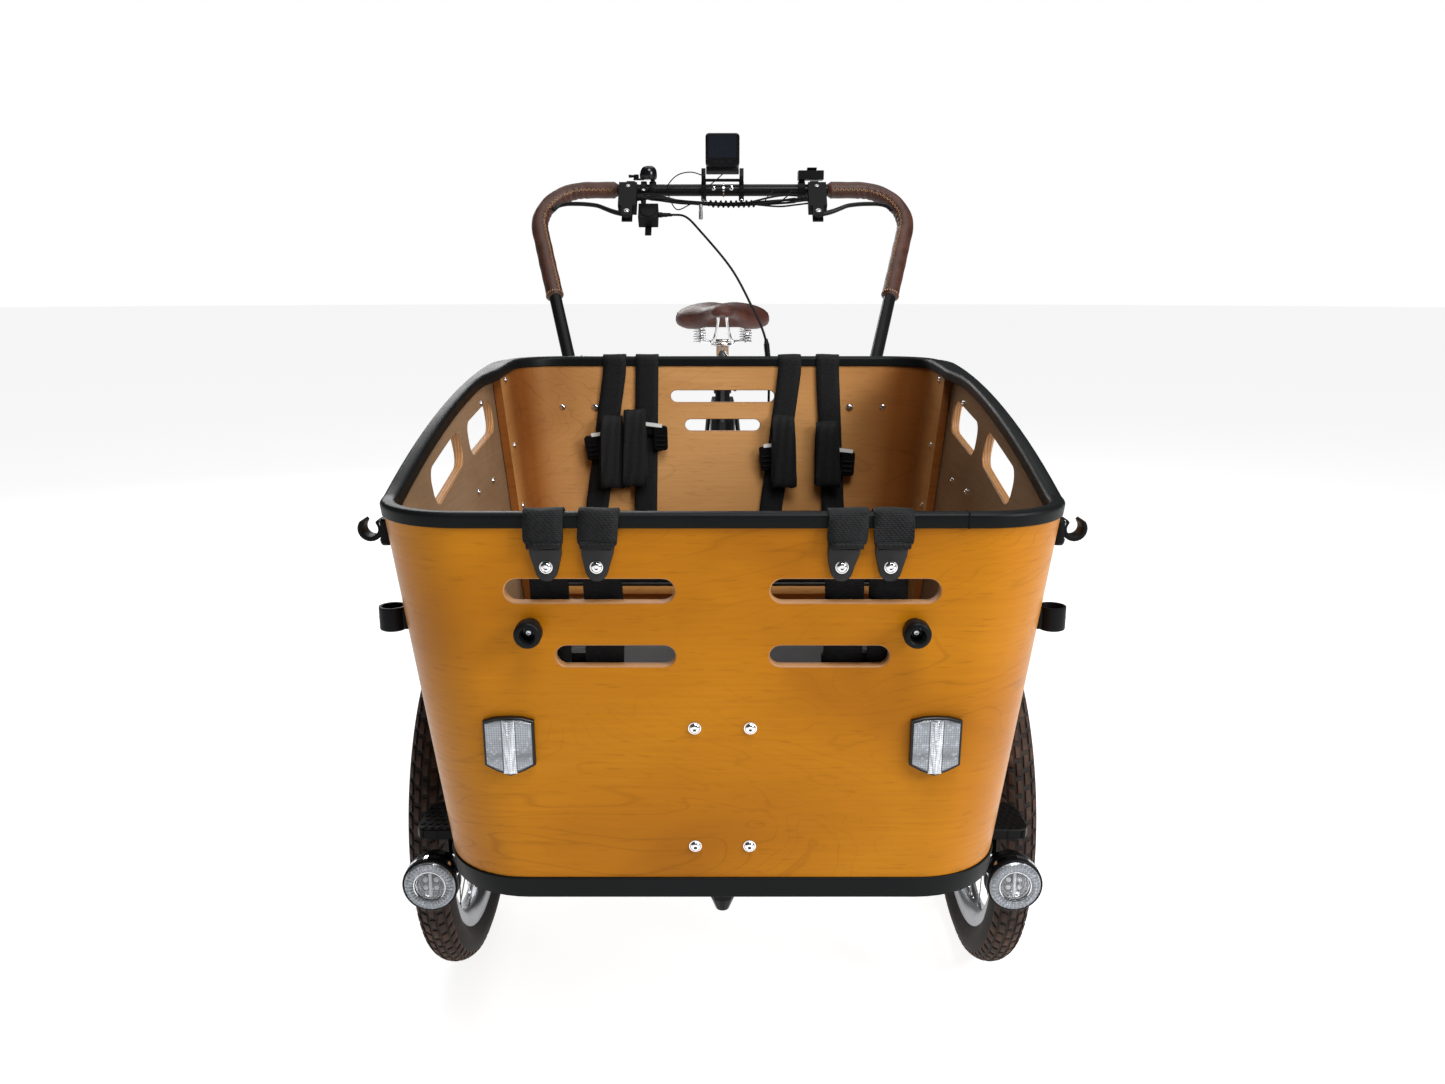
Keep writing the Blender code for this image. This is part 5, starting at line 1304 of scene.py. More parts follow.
def rear_strap(straps, hardware, x_top, x_low, fold, seed):
    """A shoulder strap over the rear rim, with its folded slack, adjuster and white tag."""
    top = RIM_REAR_Z
    out_y = REAR_RIM_Y - LAP_INSET + TRIM_LIP
    in_y = REAR_RIM_Y - LAP_INSET - SHEET - TRIM_LIP
    corners = [
        (x_top, out_y + 0.0022, 0.818), (x_top, out_y + 0.0028, top - 0.012),
        (x_top, out_y + 0.001, top - 0.001)
    ]
    corners += [
        (x_top, out_y - 0.004, top + 0.002), (x_top, (out_y + in_y) / 2, top + 0.0024),
        (x_top, in_y + 0.0035, top + 0.0018)
    ]
    corners += [(x_top, in_y - 0.0016, top - 0.004), (x_top, in_y - 0.0022, 0.838)]
    for share, depth in ((0.25, 0.004), (0.45, 0.005), (0.62, 0.0048), (0.8, 0.0064), (1.0, 0.008)):
        z = lerp(0.838, 0.592, share)
        corners.append((lerp(x_top, x_low, share), in_y - depth + 0.0008 * math.sin(seed + 7 * share), z))
    lean = Vector((1, 0, (x_low - x_top) / -0.246)).normalized()
    webbing(
        straps, smooth_path(corners, 4), STRAP_WIDTH, STRAP_THICK,
        lambda t: ACROSS.lerp(lean, ramp(t, 0.5, 0.6)), 0, 0.0006, seed
    )
    bundle_x, bundle_top, bundle_low, sway, buckle_x, buckle_z, tag_x, tag_width = fold
    folded_bundle(straps, bundle_x, in_y - 0.011, bundle_top, bundle_low, sway, seed)
    toward = math.copysign(1, buckle_x - bundle_x)
    place = placed((buckle_x, in_y - 0.011, buckle_z), lean, (0, 0, 1))
    hardware.slab(
        rounded_rectangle(0.023, 0.041, 0.005, 4), place @ Matrix.Translation((0, 0, -0.0035)), 0.008, 0,
        0.0014
    )
    for bar in (-0.0125, -0.0045, 0.0035):
        hardware.tube(
            [
                place @ Vector((-0.0085, bar, 0.0044)), place @ Vector((0, bar, 0.0056)),
                place @ Vector((0.0085, bar, 0.0044))
            ],
            0.0014, 8
        )
    ladder = placed((lerp(buckle_x, bundle_x, 0.5), in_y - 0.0098, buckle_z + 0.012), lean, (0, 0, 1))
    hardware.slab(
        rounded_rectangle(0.047, 0.012, 0.004, 3), ladder @ Matrix.Translation((0, 0, -0.0018)), 0.0036, 0,
        0.0008
    )
    tag = placed((tag_x, in_y - 0.0152, buckle_z + 0.0225), (1, 0, -0.12 * toward), (0, 0, 1))
    hardware.slab(rounded_rectangle(tag_width, 0.006, 0.0008, 2), tag, 0.0009, 1)


def build_rear_straps():
    """Both pairs of straps over the rear rim, with their folded slack."""
    in_y = REAR_RIM_Y - LAP_INSET - SHEET - TRIM_LIP
    places = {
        "left": (
            (0.111, 0.08, (0.101, 0.762, 0.648, 0.002, 0.074, 0.695, 0.08, 0.023)),
            (0.174, 0.188, (0.173, 0.752, 0.65, 0.003, 0.2095, 0.686, 0.206, 0.024)),
        ),
        "right": (
            (-0.125, -0.13, (-0.146, 0.772, 0.65, -0.001, -0.103, 0.729, -0.114, 0.027)),
            (-0.179, -0.215, (-0.1835, 0.762, 0.648, -0.001, -0.217, 0.713, -0.21, 0.017)),
        ),
    }
    for name, pairs in places.items():
        straps, hardware = Piece(), Piece()
        for index, (x_top, x_low, fold) in enumerate(pairs):
            rear_strap(straps, hardware, x_top, x_low, fold, index * 1.7 + x_top * 11)
        low_x, high_x = sorted((pairs[0][1], pairs[1][1]))
        hardware.block(
            (low_x - 0.018, in_y - 0.0118, 0.578), (high_x + 0.018, in_y - 0.003, 0.604), 0, 0.003
        )
        straps.done(
            f"rear_strap_webbing_{name}", WEBBING, "webbing", replaces=f"harness_rear_{name}", angle=60
        )
        hardware.done(f"rear_strap_hardware_{name}", [PLASTIC, TAG], "black_trim")


build_front_straps()
build_rear_straps()


# ---------------------------------------------------------------- wheels


def tyre(name, centre, outer, half, rim_radius, blocks, body, replaces):
    """A carcass with a ribbed sidewall under rows of tread blocks."""
    tread_depth = 0.0022
    crown = outer - tread_depth
    middle, tall = (crown + rim_radius) / 2, (crown - rim_radius) / 2
    piece = Piece()
    profile = [(0.5 * half, rim_radius - 0.0004), (-0.5 * half, rim_radius - 0.0004)]
    for angle in range(200, -21, -11):
        turn = math.radians(angle)
        swell = 0.0006 if angle % 22 == 0 and (angle > 150 or angle < 30) else 0.0
        profile.append(((half - 0.0006 + swell) * math.cos(turn), middle + (tall + swell) * math.sin(turn)))
    piece.hoop(centre, profile, 96, 1)

    def surface(across):
        share = min(0.999, abs(across) / half)
        return middle + tall * math.sqrt(1 - share * share)

    pitch = 2 * math.pi / blocks
    rows = (
        (-0.72, 0.2, 0.5, 0.3), (-0.38, 0.26, 0.0, 0.12), (0.0, 0.24, 0.5, 0.0), (0.38, 0.26, 0.0, -0.12),
        (0.72, 0.2, 0.5, -0.3)
    )
    for i in range(blocks):
        for place, wide, offset, skew in rows:
            rings = []
            for lift, tight in ((-0.0012, 1.0), (tread_depth * 0.75, 0.94), (tread_depth, 0.8)):
                ring = []
                for a, b in ((-1, -1), (1, -1), (1, 1), (-1, 1)):
                    x = (place + a * wide / 2 * tight) * half
                    turn = (i + offset) * pitch + (b * 0.37 * tight + skew * a * 0.4) * pitch
                    reach = min(surface(x) + lift, outer - 0.0001)
                    ring.append(
                        Vector(centre) + Vector((x, reach * math.cos(turn), reach * math.sin(turn)))
                    )
                rings.append(ring)
            piece.skin(rings)
    piece.done(name, [TYRE, SIDEWALL], "tyre_rubber", body, replaces, angle=40)


def rim_and_spokes(name, centre, rim_radius, flange_x, flange_radius, spokes, cross, hub, body, replaces):
    """A flanged alloy rim, laced steel spokes with nipples, and a turned hub."""
    wheel = Piece()
    r = rim_radius
    section = [
        (0.0146, r - 0.0006), (0.0148, r + 0.0034), (0.016, r + 0.0042), (0.0172, r + 0.0034),
        (0.017, r - 0.008)
    ]
    section += [(0.015, r - 0.013), (0.01, r - 0.0176), (0.005, r - 0.0196)]
    section += [(-x, radius) for x, radius in reversed(section)]
    wheel.hoop(centre, section, 96)
    wheel.lathe(centre, (1, 0, 0), hub, 40, 2)
    steel = Piece()
    for i in range(spokes):
        turn = 360 * (i + 0.5) / spokes
        side = 1 if i % 2 else -1
        lean = turn + cross * (1 if i % 4 < 2 else -1)
        head = Vector(centre) + unit(lean) * flange_radius + Vector(
            (side * (flange_x + (0.0012 if i % 4 < 2 else -0.0012)), 0, 0)
        )
        end = Vector(centre) + unit(turn) * (r - 0.017) + Vector((side * 0.002, 0, 0))
        steel.rod(head, end, 0.001, 6)
        inward = (head - end).normalized()
        steel.rod(end + inward * 0.0115, end - inward * 0.003, 0.0019, 6, 1)
        steel.lathe(
            head - Vector((side * 0.0025, 0, 0)), (side, 0, 0),
            [(0, 0.0018), (0.0035, 0.0018), (0.0045, 0.001)], 8
        )
    steel.done(f"{name}_spokes", [STEEL, CHROME], "alloy", body)
    eyelets = Piece()
    for i in range(spokes):
        out = unit(360 * (i + 0.5) / spokes)
        foot = Vector(centre) + out * (r - 0.0204)
        eyelets.lathe(foot, out, [(0, 0.0026), (0.001, 0.0036), (0.0018, 0.0038)], 10)
    valve = unit(7)
    eyelets.rod(Vector(centre) + valve * (r - 0.048), Vector(centre) + valve * (r - 0.019), 0.0028, 10, 1)
    eyelets.rod(Vector(centre) + valve * (r - 0.052), Vector(centre) + valve * (r - 0.047), 0.0036, 10, 1)
    eyelets.done(f"{name}_eyelets", [CHROME, PLASTIC], "alloy", body)
    wheel.done(f"{name}_rim_hub", [ALLOY, ALLOY, PAINT], "alloy", body, replaces, angle=30)


def build_front_wheels():
    """Both front wheels with tyres, rims and spokes."""
    for name, side in SIDES.items():
        centre = Vector((side * 0.38, 0, 0.255))
        body = f"front_wheel_{name}"
        inward = -side
        hub = [
            (0.0578, 0.01), (0.0578, 0.0405), (0.056, 0.043), (0.05, 0.0435), (0.0485, 0.0455),
            (0.0325, 0.0458)
        ]
        hub += [
            (0.031, 0.044), (0.0295, 0.032), (0.027, 0.0335), (0.024, 0.0335), (0.0232, 0.03),
            (0.0215, 0.0185)
        ]
        hub += [
            (-0.0205, 0.0175), (-0.022, 0.03), (-0.023, 0.0335), (-0.0262, 0.0335), (-0.0275, 0.029),
            (-0.0285, 0.017)
        ]
        hub += [(-0.04, 0.016), (-0.0432, 0.014), (-0.0438, 0.01)]
        rim_and_spokes(
            f"front_wheel_{name}", centre, 0.204, 0.0245, 0.0305, 36, 52,
            [(inward * along, radius) for along, radius in hub], body, body
        )
        tyre(f"front_tyre_{name}_tread", centre, 0.255, 0.027, 0.204, 72, body, f"front_tyre_{name}")
        cap = Piece()
        cap.lathe(
            centre + Vector((side * 0.0505, 0, 0)), (-side, 0, 0),
            [(0, 0.004), (0.0008, 0.0095), (0.003, 0.0118), (0.006, 0.012)], 24
        )
        cap.done(f"front_hub_cap_{name}", PLASTIC, "black_trim", body)


def build_rear_wheel():
    """The rear wheel with its hub motor and tyre."""
    centre = Vector((0, 1.4, 0.335))
    hub = [
        (-0.0455, 0.01), (-0.045, 0.02), (-0.0375, 0.0225), (-0.0345, 0.062), (-0.0335, 0.073),
        (-0.031, 0.0795)
    ]
    hub += [
        (-0.027, 0.08), (-0.0255, 0.076), (-0.021, 0.0745), (0.021, 0.0745), (0.0255, 0.076), (0.027, 0.08)
    ]
    hub += [
        (0.031, 0.0795), (0.0335, 0.073), (0.0345, 0.056), (0.0375, 0.032), (0.045, 0.025), (0.059, 0.02),
        (0.0595, 0.01)
    ]
    rim_and_spokes("rear_wheel", centre, 0.284, 0.0288, 0.077, 36, 24, hub, "rear_wheel", "rear_wheel")
    tyre("rear_tyre_tread", centre, 0.335, 0.025, 0.284, 92, "rear_wheel", "rear_tyre")
    ribs = Piece()
    for i in range(24):
        out = unit(15 * i)
        base = centre + out * 0.06
        ribs.rod(
            base + Vector((-0.0352, 0, 0)) - out * 0.014, base + Vector((-0.0346, 0, 0)) + out * 0.006,
            0.0011, 6
        )
    for i in range(6):
        out = unit(60 * i + 30)
        bolt(ribs, axis_place(centre + out * 0.043 + Vector((0.0352, 0, 0)), (1, 0, 0)), 0.0034, 1)
        bolt(ribs, axis_place(centre + out * 0.0665 + Vector((-0.034, 0, 0)), (-1, 0, 0)), 0.003, 1)
    ribs.done("rear_hub_motor_ribs", [PAINT, STEEL], "alloy", "rear_wheel")


build_front_wheels()
build_rear_wheel()


# ---------------------------------------------------------------- push bar and grips


def bar_corners(side):
    """The centreline corners of one side of the push bar."""
    knee = Vector((side * 0.242, 0.3535, 0.775))
    corner = Vector((side * 0.366, BAR_Y, BAR_Z))
    return Vector(
        (side * 0.24, 0.3525, 0.3193)
    ), knee, corner.lerp(knee, 0.526), corner, Vector((side * 0.2, BAR_Y, BAR_Z))


def build_push_bar():
    """The bent push bar and its leather grips."""
    path = []
    for side, order in ((1, 1), (-1, -1)):
        foot, knee, grip_end, corner, grip_start = bar_corners(side)
        leg = fillet([foot, knee, grip_end], 0.085, 8)
        bend = fillet([grip_end, corner, grip_start], 0.085, 12)
        path += (leg[:-1] + bend)[::order]
    bar = Piece().tube(path, BAR_RADIUS, 24, up=FACE)
    for side in (1, -1):
        x = side * 0.24
        bar.block((x - 0.042, 0.3342, 0.766), (x + 0.042, 0.352, 0.792), 0, 0.003)
        for reach in (-0.03, 0.03):
            bolt(bar, axis_place((x + reach, 0.3516, 0.779), (0, 1, 0)), 0.0058, 1)
        bar.lathe((x, 0.3525, 0.33), (0, 0, 1), [(0, 0.0135), (0.012, 0.0135), (0.016, 0.0112)], 20)
    bar.done("push_bar_tube", [PAINT, STEEL], "black_frame", replaces="push_bar")
    for name, side in SIDES.items():
        grip(name, side)


def grip(name, side):
    """A stitched leather sleeve that gathers into creases round the inside of its bend."""
    _, _, grip_end, corner, grip_start = bar_corners(side)
    path = even_path(fillet([grip_end, corner, grip_start], 0.085, 24), 0.0022)
    last = len(path) - 1
    sleeve, thread = Piece(), Piece()
    rings = []
    bends = []
    for i, point in enumerate(path):
        near, far = path[max(i - 4, 0)], path[min(i + 4, last)]
        bends.append((point - near).angle(far - point, 0.0) if 4 <= i <= last - 4 else 0.0)
    creased = max(bends)
    for i, point in enumerate(path):
        along = tangent(path, i)
        inside = along.cross(FACE).normalized() * side
        if inside.dot(Vector((0, BAR_Y, 0.9)) - point) < 0:
            inside = -inside
        bend = bends[i] / creased
        edge = ramp(i, 0, 3) * ramp(last - i, 0, 3)
        ring = []
        for j in range(28):
            turn = 2 * math.pi * j / 28
            out = inside * math.cos(turn) + FACE * math.sin(turn)
            toward = max(0.0, math.cos(turn))
            crease = bend * toward * 0.0009 * math.sin(i * 1.05 + 0.9 * math.sin(turn * 2 + i * 0.11))
            ripple = 0.00022 * math.sin(i * 0.37 + turn * 2.0) + 0.00015 * math.sin(i * 0.13 - turn * 3.0)
            seam = -0.0006 * math.exp(-((math.degrees(turn) - 48) / 5.0) ** 2)
            lip = 0.0006 * (math.exp(-((i - 3) / 1.5) ** 2) + math.exp(-((last - i - 3) / 1.5) ** 2))
            ring.append(point + out * (0.01125 + 0.0036 * edge + 0.00045 + crease + ripple + seam + lip))
        rings.append(ring)
    sleeve.skin(rings)
    sleeve.done(f"grip_sleeve_{name}", LEATHER, "leather", replaces=f"grip_{name}", angle=80)

    for i in range(4, last - 4, 2):
        point = path[i]
        along = (path[i + 1] - path[i - 1]).normalized()
        inside = along.cross(FACE).normalized() * side
        if inside.dot(Vector((0, BAR_Y, 0.9)) - point) < 0:
            inside = -inside
        points = []
        for offset, turn, lift in ((-0.0013, 40, 0.01505), (0.0, 48, 0.0156), (0.0013, 56, 0.01505)):
            angle = math.radians(turn)
            points.append(
                point + along * offset * (1 if i % 4 else -1) + (
                    inside * math.cos(angle) + FACE * math.sin(angle)
                ) * lift
            )
        thread.tube(points, 0.00042, 6)
    point = path[3]
    along = (path[4] - path[2]).normalized()
    inside = along.cross(FACE).normalized()
    for j in range(22):
        angle = 2 * math.pi * j / 22
        out = inside * math.cos(angle) + FACE * math.sin(angle)
        thread.tube(
            [
                point - along * 0.0018 + out * 0.01545, point + out * 0.016,
                point + along * 0.0018 + out * 0.01545
            ],
            0.00045, 6
        )
    thread.done(f"grip_stitching_{name}", THREAD, "leather")


build_push_bar()


# ---------------------------------------------------------------- controls on the bar


def build_levers():
    """Both brake levers with their clamps and pivots."""
    for name, side in SIDES.items():
        stops = [
            (0.176, 0.083), (0.19, 0.0815), (0.205, 0.0765), (0.22, 0.069), (0.2345, 0.062),
            (0.255, 0.0585), (0.274, 0.0575), (0.292, 0.058), (0.306, 0.0625), (0.3145, 0.0705)
        ]
        path = smooth_path([on_bar(side * x, down, 0.022) for x, down in stops], 4)

        def section(share):
            wide = 0.004 + 0.0004 * math.sin(share * math.pi)
            tall = lerp(0.0058, 0.0034, ramp(share, 0.0, 0.45)) + 0.0012 * ramp(share, 0.88, 0.97)
            return [
                (tall * math.cos(t), wide * math.sin(t)) for t in (2 * math.pi * k / 14 for k in range(14))
            ]

        lever = Piece().sweep(path, section, FACE)
        pivot = on_bar(side * 0.178, 0.083, 0.022)
        lever.lathe(
            pivot - FACE * 0.0049, FACE,
            [(0, 0.0078), (0.0006, 0.0082), (0.0092, 0.0082), (0.0098, 0.0078)], 24
        )
        tip = path[-1]
        lever.lathe(
            tip - FACE * 0.0046, FACE,
            [(0, 0.0018), (0.0012, 0.004), (0.0046, 0.005), (0.008, 0.004), (0.0092, 0.0018)], 16
        )
        lever.done(
            f"brake_lever_blade_{name}", PAINT, "black_frame", f"brake_lever_{name}", f"brake_lever_{name}",
            angle=50
        )

        extra = Piece()
        bolt(extra, axis_place(pivot + FACE * 0.009, FACE), 0.0048, 1, 0.4)
        bolt(extra, axis_place(on_bar(side * 0.1775, 0.02, 0.031), FACE), 0.0036, 1, 0.4)
        bolt(extra, axis_place(on_bar(side * 0.1775, -0.0165, 0.002), -DOWN), 0.0034, 1, 0.4)
        hub_x = side * 0.16
        barrel = [
            (0, 0.0052), (0.004, 0.0052), (0.0046, 0.0044), (0.006, 0.0044), (0.0066, 0.0056),
            (0.012, 0.0056), (0.013, 0.0036), (0.019, 0.003)
        ]
        extra.lathe(on_bar(hub_x, 0.045, 0.024), (-side, 0, 0), barrel, 20)
        extra.slab(
            rounded_rectangle(0.02, 0.034, 0.004, 3),
            placed(on_bar(side * 0.178, 0.044, 0.0306), ACROSS, DOWN), 0.0022, 0, 0.0007
        )
        extra.done(f"brake_hardware_{name}", [PLASTIC, STEEL], "black_frame")


def build_display():
    """The display and its tilting bracket."""
    upright = placed((0, 0.674, 1.2255), (1, 0, 0), (0, 0, 1))
    case = Piece()
    case.slab(
        rounded_rectangle(0.064, 0.06, 0.007, 6), upright @ Matrix.Translation((0, 0, 0.0002)), 0.0176, 0,
        0.0022
    )
    case.block((-0.031, 0.6642, 1.1822), (0.031, 0.6718, 1.198), 0, 0.0015)
    front = upright @ Matrix.Translation((0, 0, 0.0176))
    case.slab(
        rounded_rectangle(0.052, 0.04, 0.003, 4), front @ Matrix.Translation((0, 0.006, 0)), 0.0003, 1
    )
    for x in (-0.014, 0.0, 0.014):
        case.slab(
            obround(0.0095, 0.0048, 8), front @ Matrix.Translation((x, -0.0215, 0)), 0.0004, 2, 0.0001
        )
    back = upright @ Matrix.Translation((0, 0, -0.0009))
    case.slab(rounded_rectangle(0.05, 0.046, 0.004, 4), back, 0.0014, 2, 0.0004)
    for height in (0.0165, 0.0115, 0.0065):
        case.slab(
            obround(0.036, 0.0016, 6), back @ Matrix.Translation((0, height, -0.0004)), 0.0008, 2, 0.0002
        )
    case.slab(
        rounded_rectangle(0.018, 0.012, 0.002, 3), back @ Matrix.Translation((0, -0.019, -0.0006)), 0.0012,
        2, 0.0003
    )
    case.done("display_case", [GLOSS, SCREEN, PLASTIC], "gloss_black", "display", "display", angle=30)

    extra = Piece()
    for side in (1, -1):
        x = side * 0.036
        bolt(extra, axis_place((x, 0.67, 1.135), (0, -1, 0)), 0.0036, 0, 0.4)
        extra.lathe((x, 0.686, 1.144), (0, 0, -1), [(0, 0.005), (0.008, 0.005), (0.0092, 0.004)], 16, 1)
        bolt(extra, axis_place((side * 0.017, 0.6752, 1.158), (0, -1, 0.1)), 0.0046, 0, 0.35)
    extra.hoop(
        (0, BAR_Y, BAR_Z), [(0.0005, 0.011), (0.0035, 0.011), (0.0035, 0.0124), (0.0005, 0.0124)], 32
    )
    extra.lathe((0, 0.67, 1.201), (0, -1, 0), [(0, 0.0045), (0.0008, 0.0042)], 16)
    extra.done("display_hardware", [CHROME, PLASTIC], "chrome")


def build_bell():
    """The bell, its clamp and its striker."""
    bell = Piece()
    centre = Vector((-0.1415, BAR_Y + 0.002, 1.1745))
    profile = [
        (0.0, 0.014), (0.0006, 0.0152), (0.003, 0.0158), (0.006, 0.0164), (0.011, 0.0163), (0.0165, 0.0156),
        (0.0205, 0.0138), (0.0235, 0.0105), (0.025, 0.0062), (0.0254, 0.002)
    ]
    bell.lathe(centre, (0, 0, 1), profile, 40)
    bell.hoop(
        (-0.133, BAR_Y, BAR_Z),
        [
            (-0.006, 0.0114), (0.006, 0.0114), (0.0062, 0.0155), (0.005, 0.016), (-0.005, 0.016),
            (-0.0062, 0.0155)
        ],
        32, 1
    )
    bell.rod((-0.133, BAR_Y, BAR_Z + 0.0135), (-0.133, BAR_Y, 1.176), 0.0042, 16, 1)
    bell.block((-0.17, BAR_Y - 0.003, 1.1735), (-0.15, BAR_Y + 0.007, 1.1765), 1, 0.0008)
    bell.rod((-0.133, BAR_Y, BAR_Z - 0.0125), (-0.133, BAR_Y, BAR_Z - 0.0195), 0.0032, 12, 2)
    bell.done("bell_dome", [GLOSS, PLASTIC, STEEL], "black_frame", replaces="bell")
    thumb = Piece()
    pivot = Vector((-0.1647, BAR_Y + 0.002, 1.177))
    thumb.lathe(pivot, (0, 0, 1), [(0, 0.0046), (0.0006, 0.005), (0.0062, 0.005), (0.0068, 0.0044)], 20)
    rings = []
    for x, half, low, high in (
        (-0.166, 0.0026, 1.1785, 1.183), (-0.171, 0.0024, 1.1783, 1.1828), (-0.176, 0.003, 1.1781, 1.1834),
        (-0.179, 0.003, 1.1781, 1.1835)
    ):
        y = BAR_Y + 0.002
        rings.append(
            [
                Vector((x, y + a * half, lerp(low, high, b))) for a,
                b in ((-1, 0.2), (-0.7, 0), (0.7, 0), (1, 0.2), (1, 0.8), (0.7, 1), (-0.7, 1), (-1, 0.8))
            ]
        )
    thumb.skin(rings)
    thumb.done("bell_thumb_lever", PLASTIC, "black_frame", "bell_striker", "bell_striker")


def build_cables():
    """Gear cable, control loom, loose wires and the shifter outlet."""
    gear = [on_bar(-0.0975, 0.063), on_bar(-0.07, 0.068), (-0.042, 0.62, 1.077), (0.0156, 0.55, 1.008)]
    gear += [(0.0517, 0.45, 0.9406), (0.072, 0.378, 0.892), (0.078, 0.354, 0.84), (0.078, 0.35, 0.74)]
    gear += [(0.078, 0.35, 0.6), (0.078, 0.35, 0.46), (0.078, 0.35, 0.35)]
    route = smooth_path(gear, 8)
    run = Piece().tube(route, 0.0021, 12)
    cable = run.done("gear_cable_run", PLASTIC, "black_trim", replaces="gear_cable")
    boot = Piece()
    profile = []
    for i in range(9):
        along = i * 0.004
        profile += [
            (along, 0.0042), (along + 0.0012, 0.005), (along + 0.0026, 0.005), (along + 0.0036, 0.0042)
        ]
    profile += [(0.04, 0.0034), (0.044, 0.0026)]
    boot.lathe((0.0775, 0.356, 0.848), Vector((-0.004, 0.016, 0.044)), profile, 20)
    sleeve = boot.done("gear_cable_boot", TRIM, "black_trim")

    loom = [on_bar(-0.1605, 0.044, 0.024), on_bar(-0.12, 0.046, 0.024), on_bar(-0.07, 0.044, 0.012)]
    loom += [
        on_bar(0, 0.042, 0.006), on_bar(0.07, 0.046, 0.012), on_bar(0.12, 0.05, 0.022),
        on_bar(0.1605, 0.048, 0.024)
    ]
    core = smooth_path(loom, 12)
    bundle = Piece()
    last = len(core) - 1
    for k in range(3):
        strand = []
        for i, point in enumerate(core):
            share = i / last
            spread = 0.0021 + 0.0055 * abs(share - 0.48) * (1 if 0.1 < share < 0.9 else 0.4)
            turn = 2 * math.pi * (k / 3) + share * 7.0
            strand.append(point + DOWN * math.cos(turn) * spread + FACE * math.sin(turn) * spread * 0.6)
        bundle.tube(strand, 0.0022, 8)
    helix = []
    start, end = 0.44, 0.64
    for i in range(181):
        share = lerp(start, end, i / 180)
        index = share * last
        low = int(index)
        point = core[low].lerp(core[min(low + 1, last)], index - low)
        turn = 2 * math.pi * 9 * i / 180
        helix.append(point + (DOWN * math.cos(turn) + FACE * math.sin(turn)) * 0.0058)
    bundle.tube(helix, 0.0014, 6)
    bundle.done("control_loom_bundle", PLASTIC, "black_trim", replaces="control_loom")

    wires = Piece()
    routes = [
        (
            [
                (-0.036, 0.668, 1.18), (-0.06, 0.664, 1.186), (-0.086, 0.664, 1.18), (-0.104, 0.664, 1.16),
                (-0.1, 0.666, 1.138), (-0.086, 0.664, 1.118), on_bar(-0.06, 0.046, 0.01)
            ],
            0.0011
        ),
        (
            [
                (0.004, 0.668, 1.186), (-0.012, 0.666, 1.172), (-0.028, 0.664, 1.158),
                (-0.036, 0.662, 1.14), on_bar(-0.03, 0.04, 0.012)
            ],
            0.0011
        ),
        (
            [
                on_bar(0.1605, 0.04, 0.022), on_bar(0.134, 0.034, 0.02), on_bar(0.112, 0.028, 0.014),
                on_bar(0.086, 0.034, 0.014), on_bar(0.056, 0.042, 0.012)
            ],
            0.0019
        ),
        (
            [
                on_bar(0.16, 0.056, 0.022), on_bar(0.136, 0.062, 0.024), on_bar(0.106, 0.06, 0.018),
                on_bar(0.066, 0.05, 0.012)
            ],
            0.0017
        ),
        (
            [
                (0.15, 0.676, 1.15), on_bar(0.132, 0.02, 0.018), on_bar(0.12, 0.036, 0.018),
                on_bar(0.104, 0.048, 0.016), on_bar(0.086, 0.05, 0.012)
            ],
            0.0012
        ),
        ([on_bar(0.098, 0.014, 0.014), on_bar(0.088, 0.03, 0.018), on_bar(0.078, 0.046, 0.014)], 0.0011),
        (
            [
                on_bar(-0.16, 0.036, 0.022), on_bar(-0.136, 0.03, 0.02), on_bar(-0.104, 0.034, 0.014),
                on_bar(-0.07, 0.042, 0.01)
            ],
            0.0019
        ),
    ]
    for corners, radius in routes:
        wires.tube(smooth_path(corners, 10), radius, 8)
    wires.done("control_wires", PLASTIC, "black_trim")
    ferrule = Piece()
    hang = on_bar(-0.041, 0.046, 0.01)
    ferrule.lathe(
        hang, (0, 0, -1),
        [
            (0, 0.0022), (0.002, 0.0036), (0.006, 0.0038), (0.0065, 0.0032), (0.012, 0.0032),
            (0.0125, 0.0038), (0.027, 0.0038), (0.028, 0.003)
        ],
        16
    )
    ferrule.done("loom_ferrule", GREY, "chrome")
    outlet = Piece()
    barrel = [(0, 0.005), (0.006, 0.005), (0.008, 0.004), (0.016, 0.0038), (0.018, 0.003), (0.026, 0.0026)]
    start = on_bar(-0.121, 0.0635)
    outlet.lathe(start, on_bar(-0.096, 0.064) - start, barrel, 20)
    outlet.lathe(
        on_bar(-0.1395, 0.066, 0.0135), FACE, [(0, 0.015), (0.001, 0.0158), (0.0022, 0.015), (0.003, 0.01)],
        32
    )
    bolt(outlet, axis_place(on_bar(-0.15, 0.011, 0.0125), FACE), 0.0034, 1, 0.4)
    outlet.done("gear_shifter_outlet", [PLASTIC, STEEL], "black_frame")


build_levers()
build_display()
build_bell()
build_cables()


# ---------------------------------------------------------------- saddle


SADDLE_STATIONS = [
    (1.0955, 0.009, 0.9195, 0.908), (1.0985, 0.018, 0.9245, 0.906), (1.106, 0.0252, 0.9298, 0.9042),
    (1.125, 0.0295, 0.9335, 0.9035), (1.15, 0.0325, 0.9338, 0.9005), (1.18, 0.0418, 0.9318, 0.8935),
    (1.2, 0.056, 0.9304, 0.88), (1.22, 0.0735, 0.9302, 0.8705), (1.245, 0.096, 0.9316, 0.8668),
    (1.268, 0.1105, 0.9335, 0.8668), (1.295, 0.1165, 0.936, 0.8694), (1.32, 0.1095, 0.9378, 0.8736),
    (1.337, 0.093, 0.9372, 0.88), (1.345, 0.07, 0.9355, 0.886),
]
PAN_Z = 0.8785
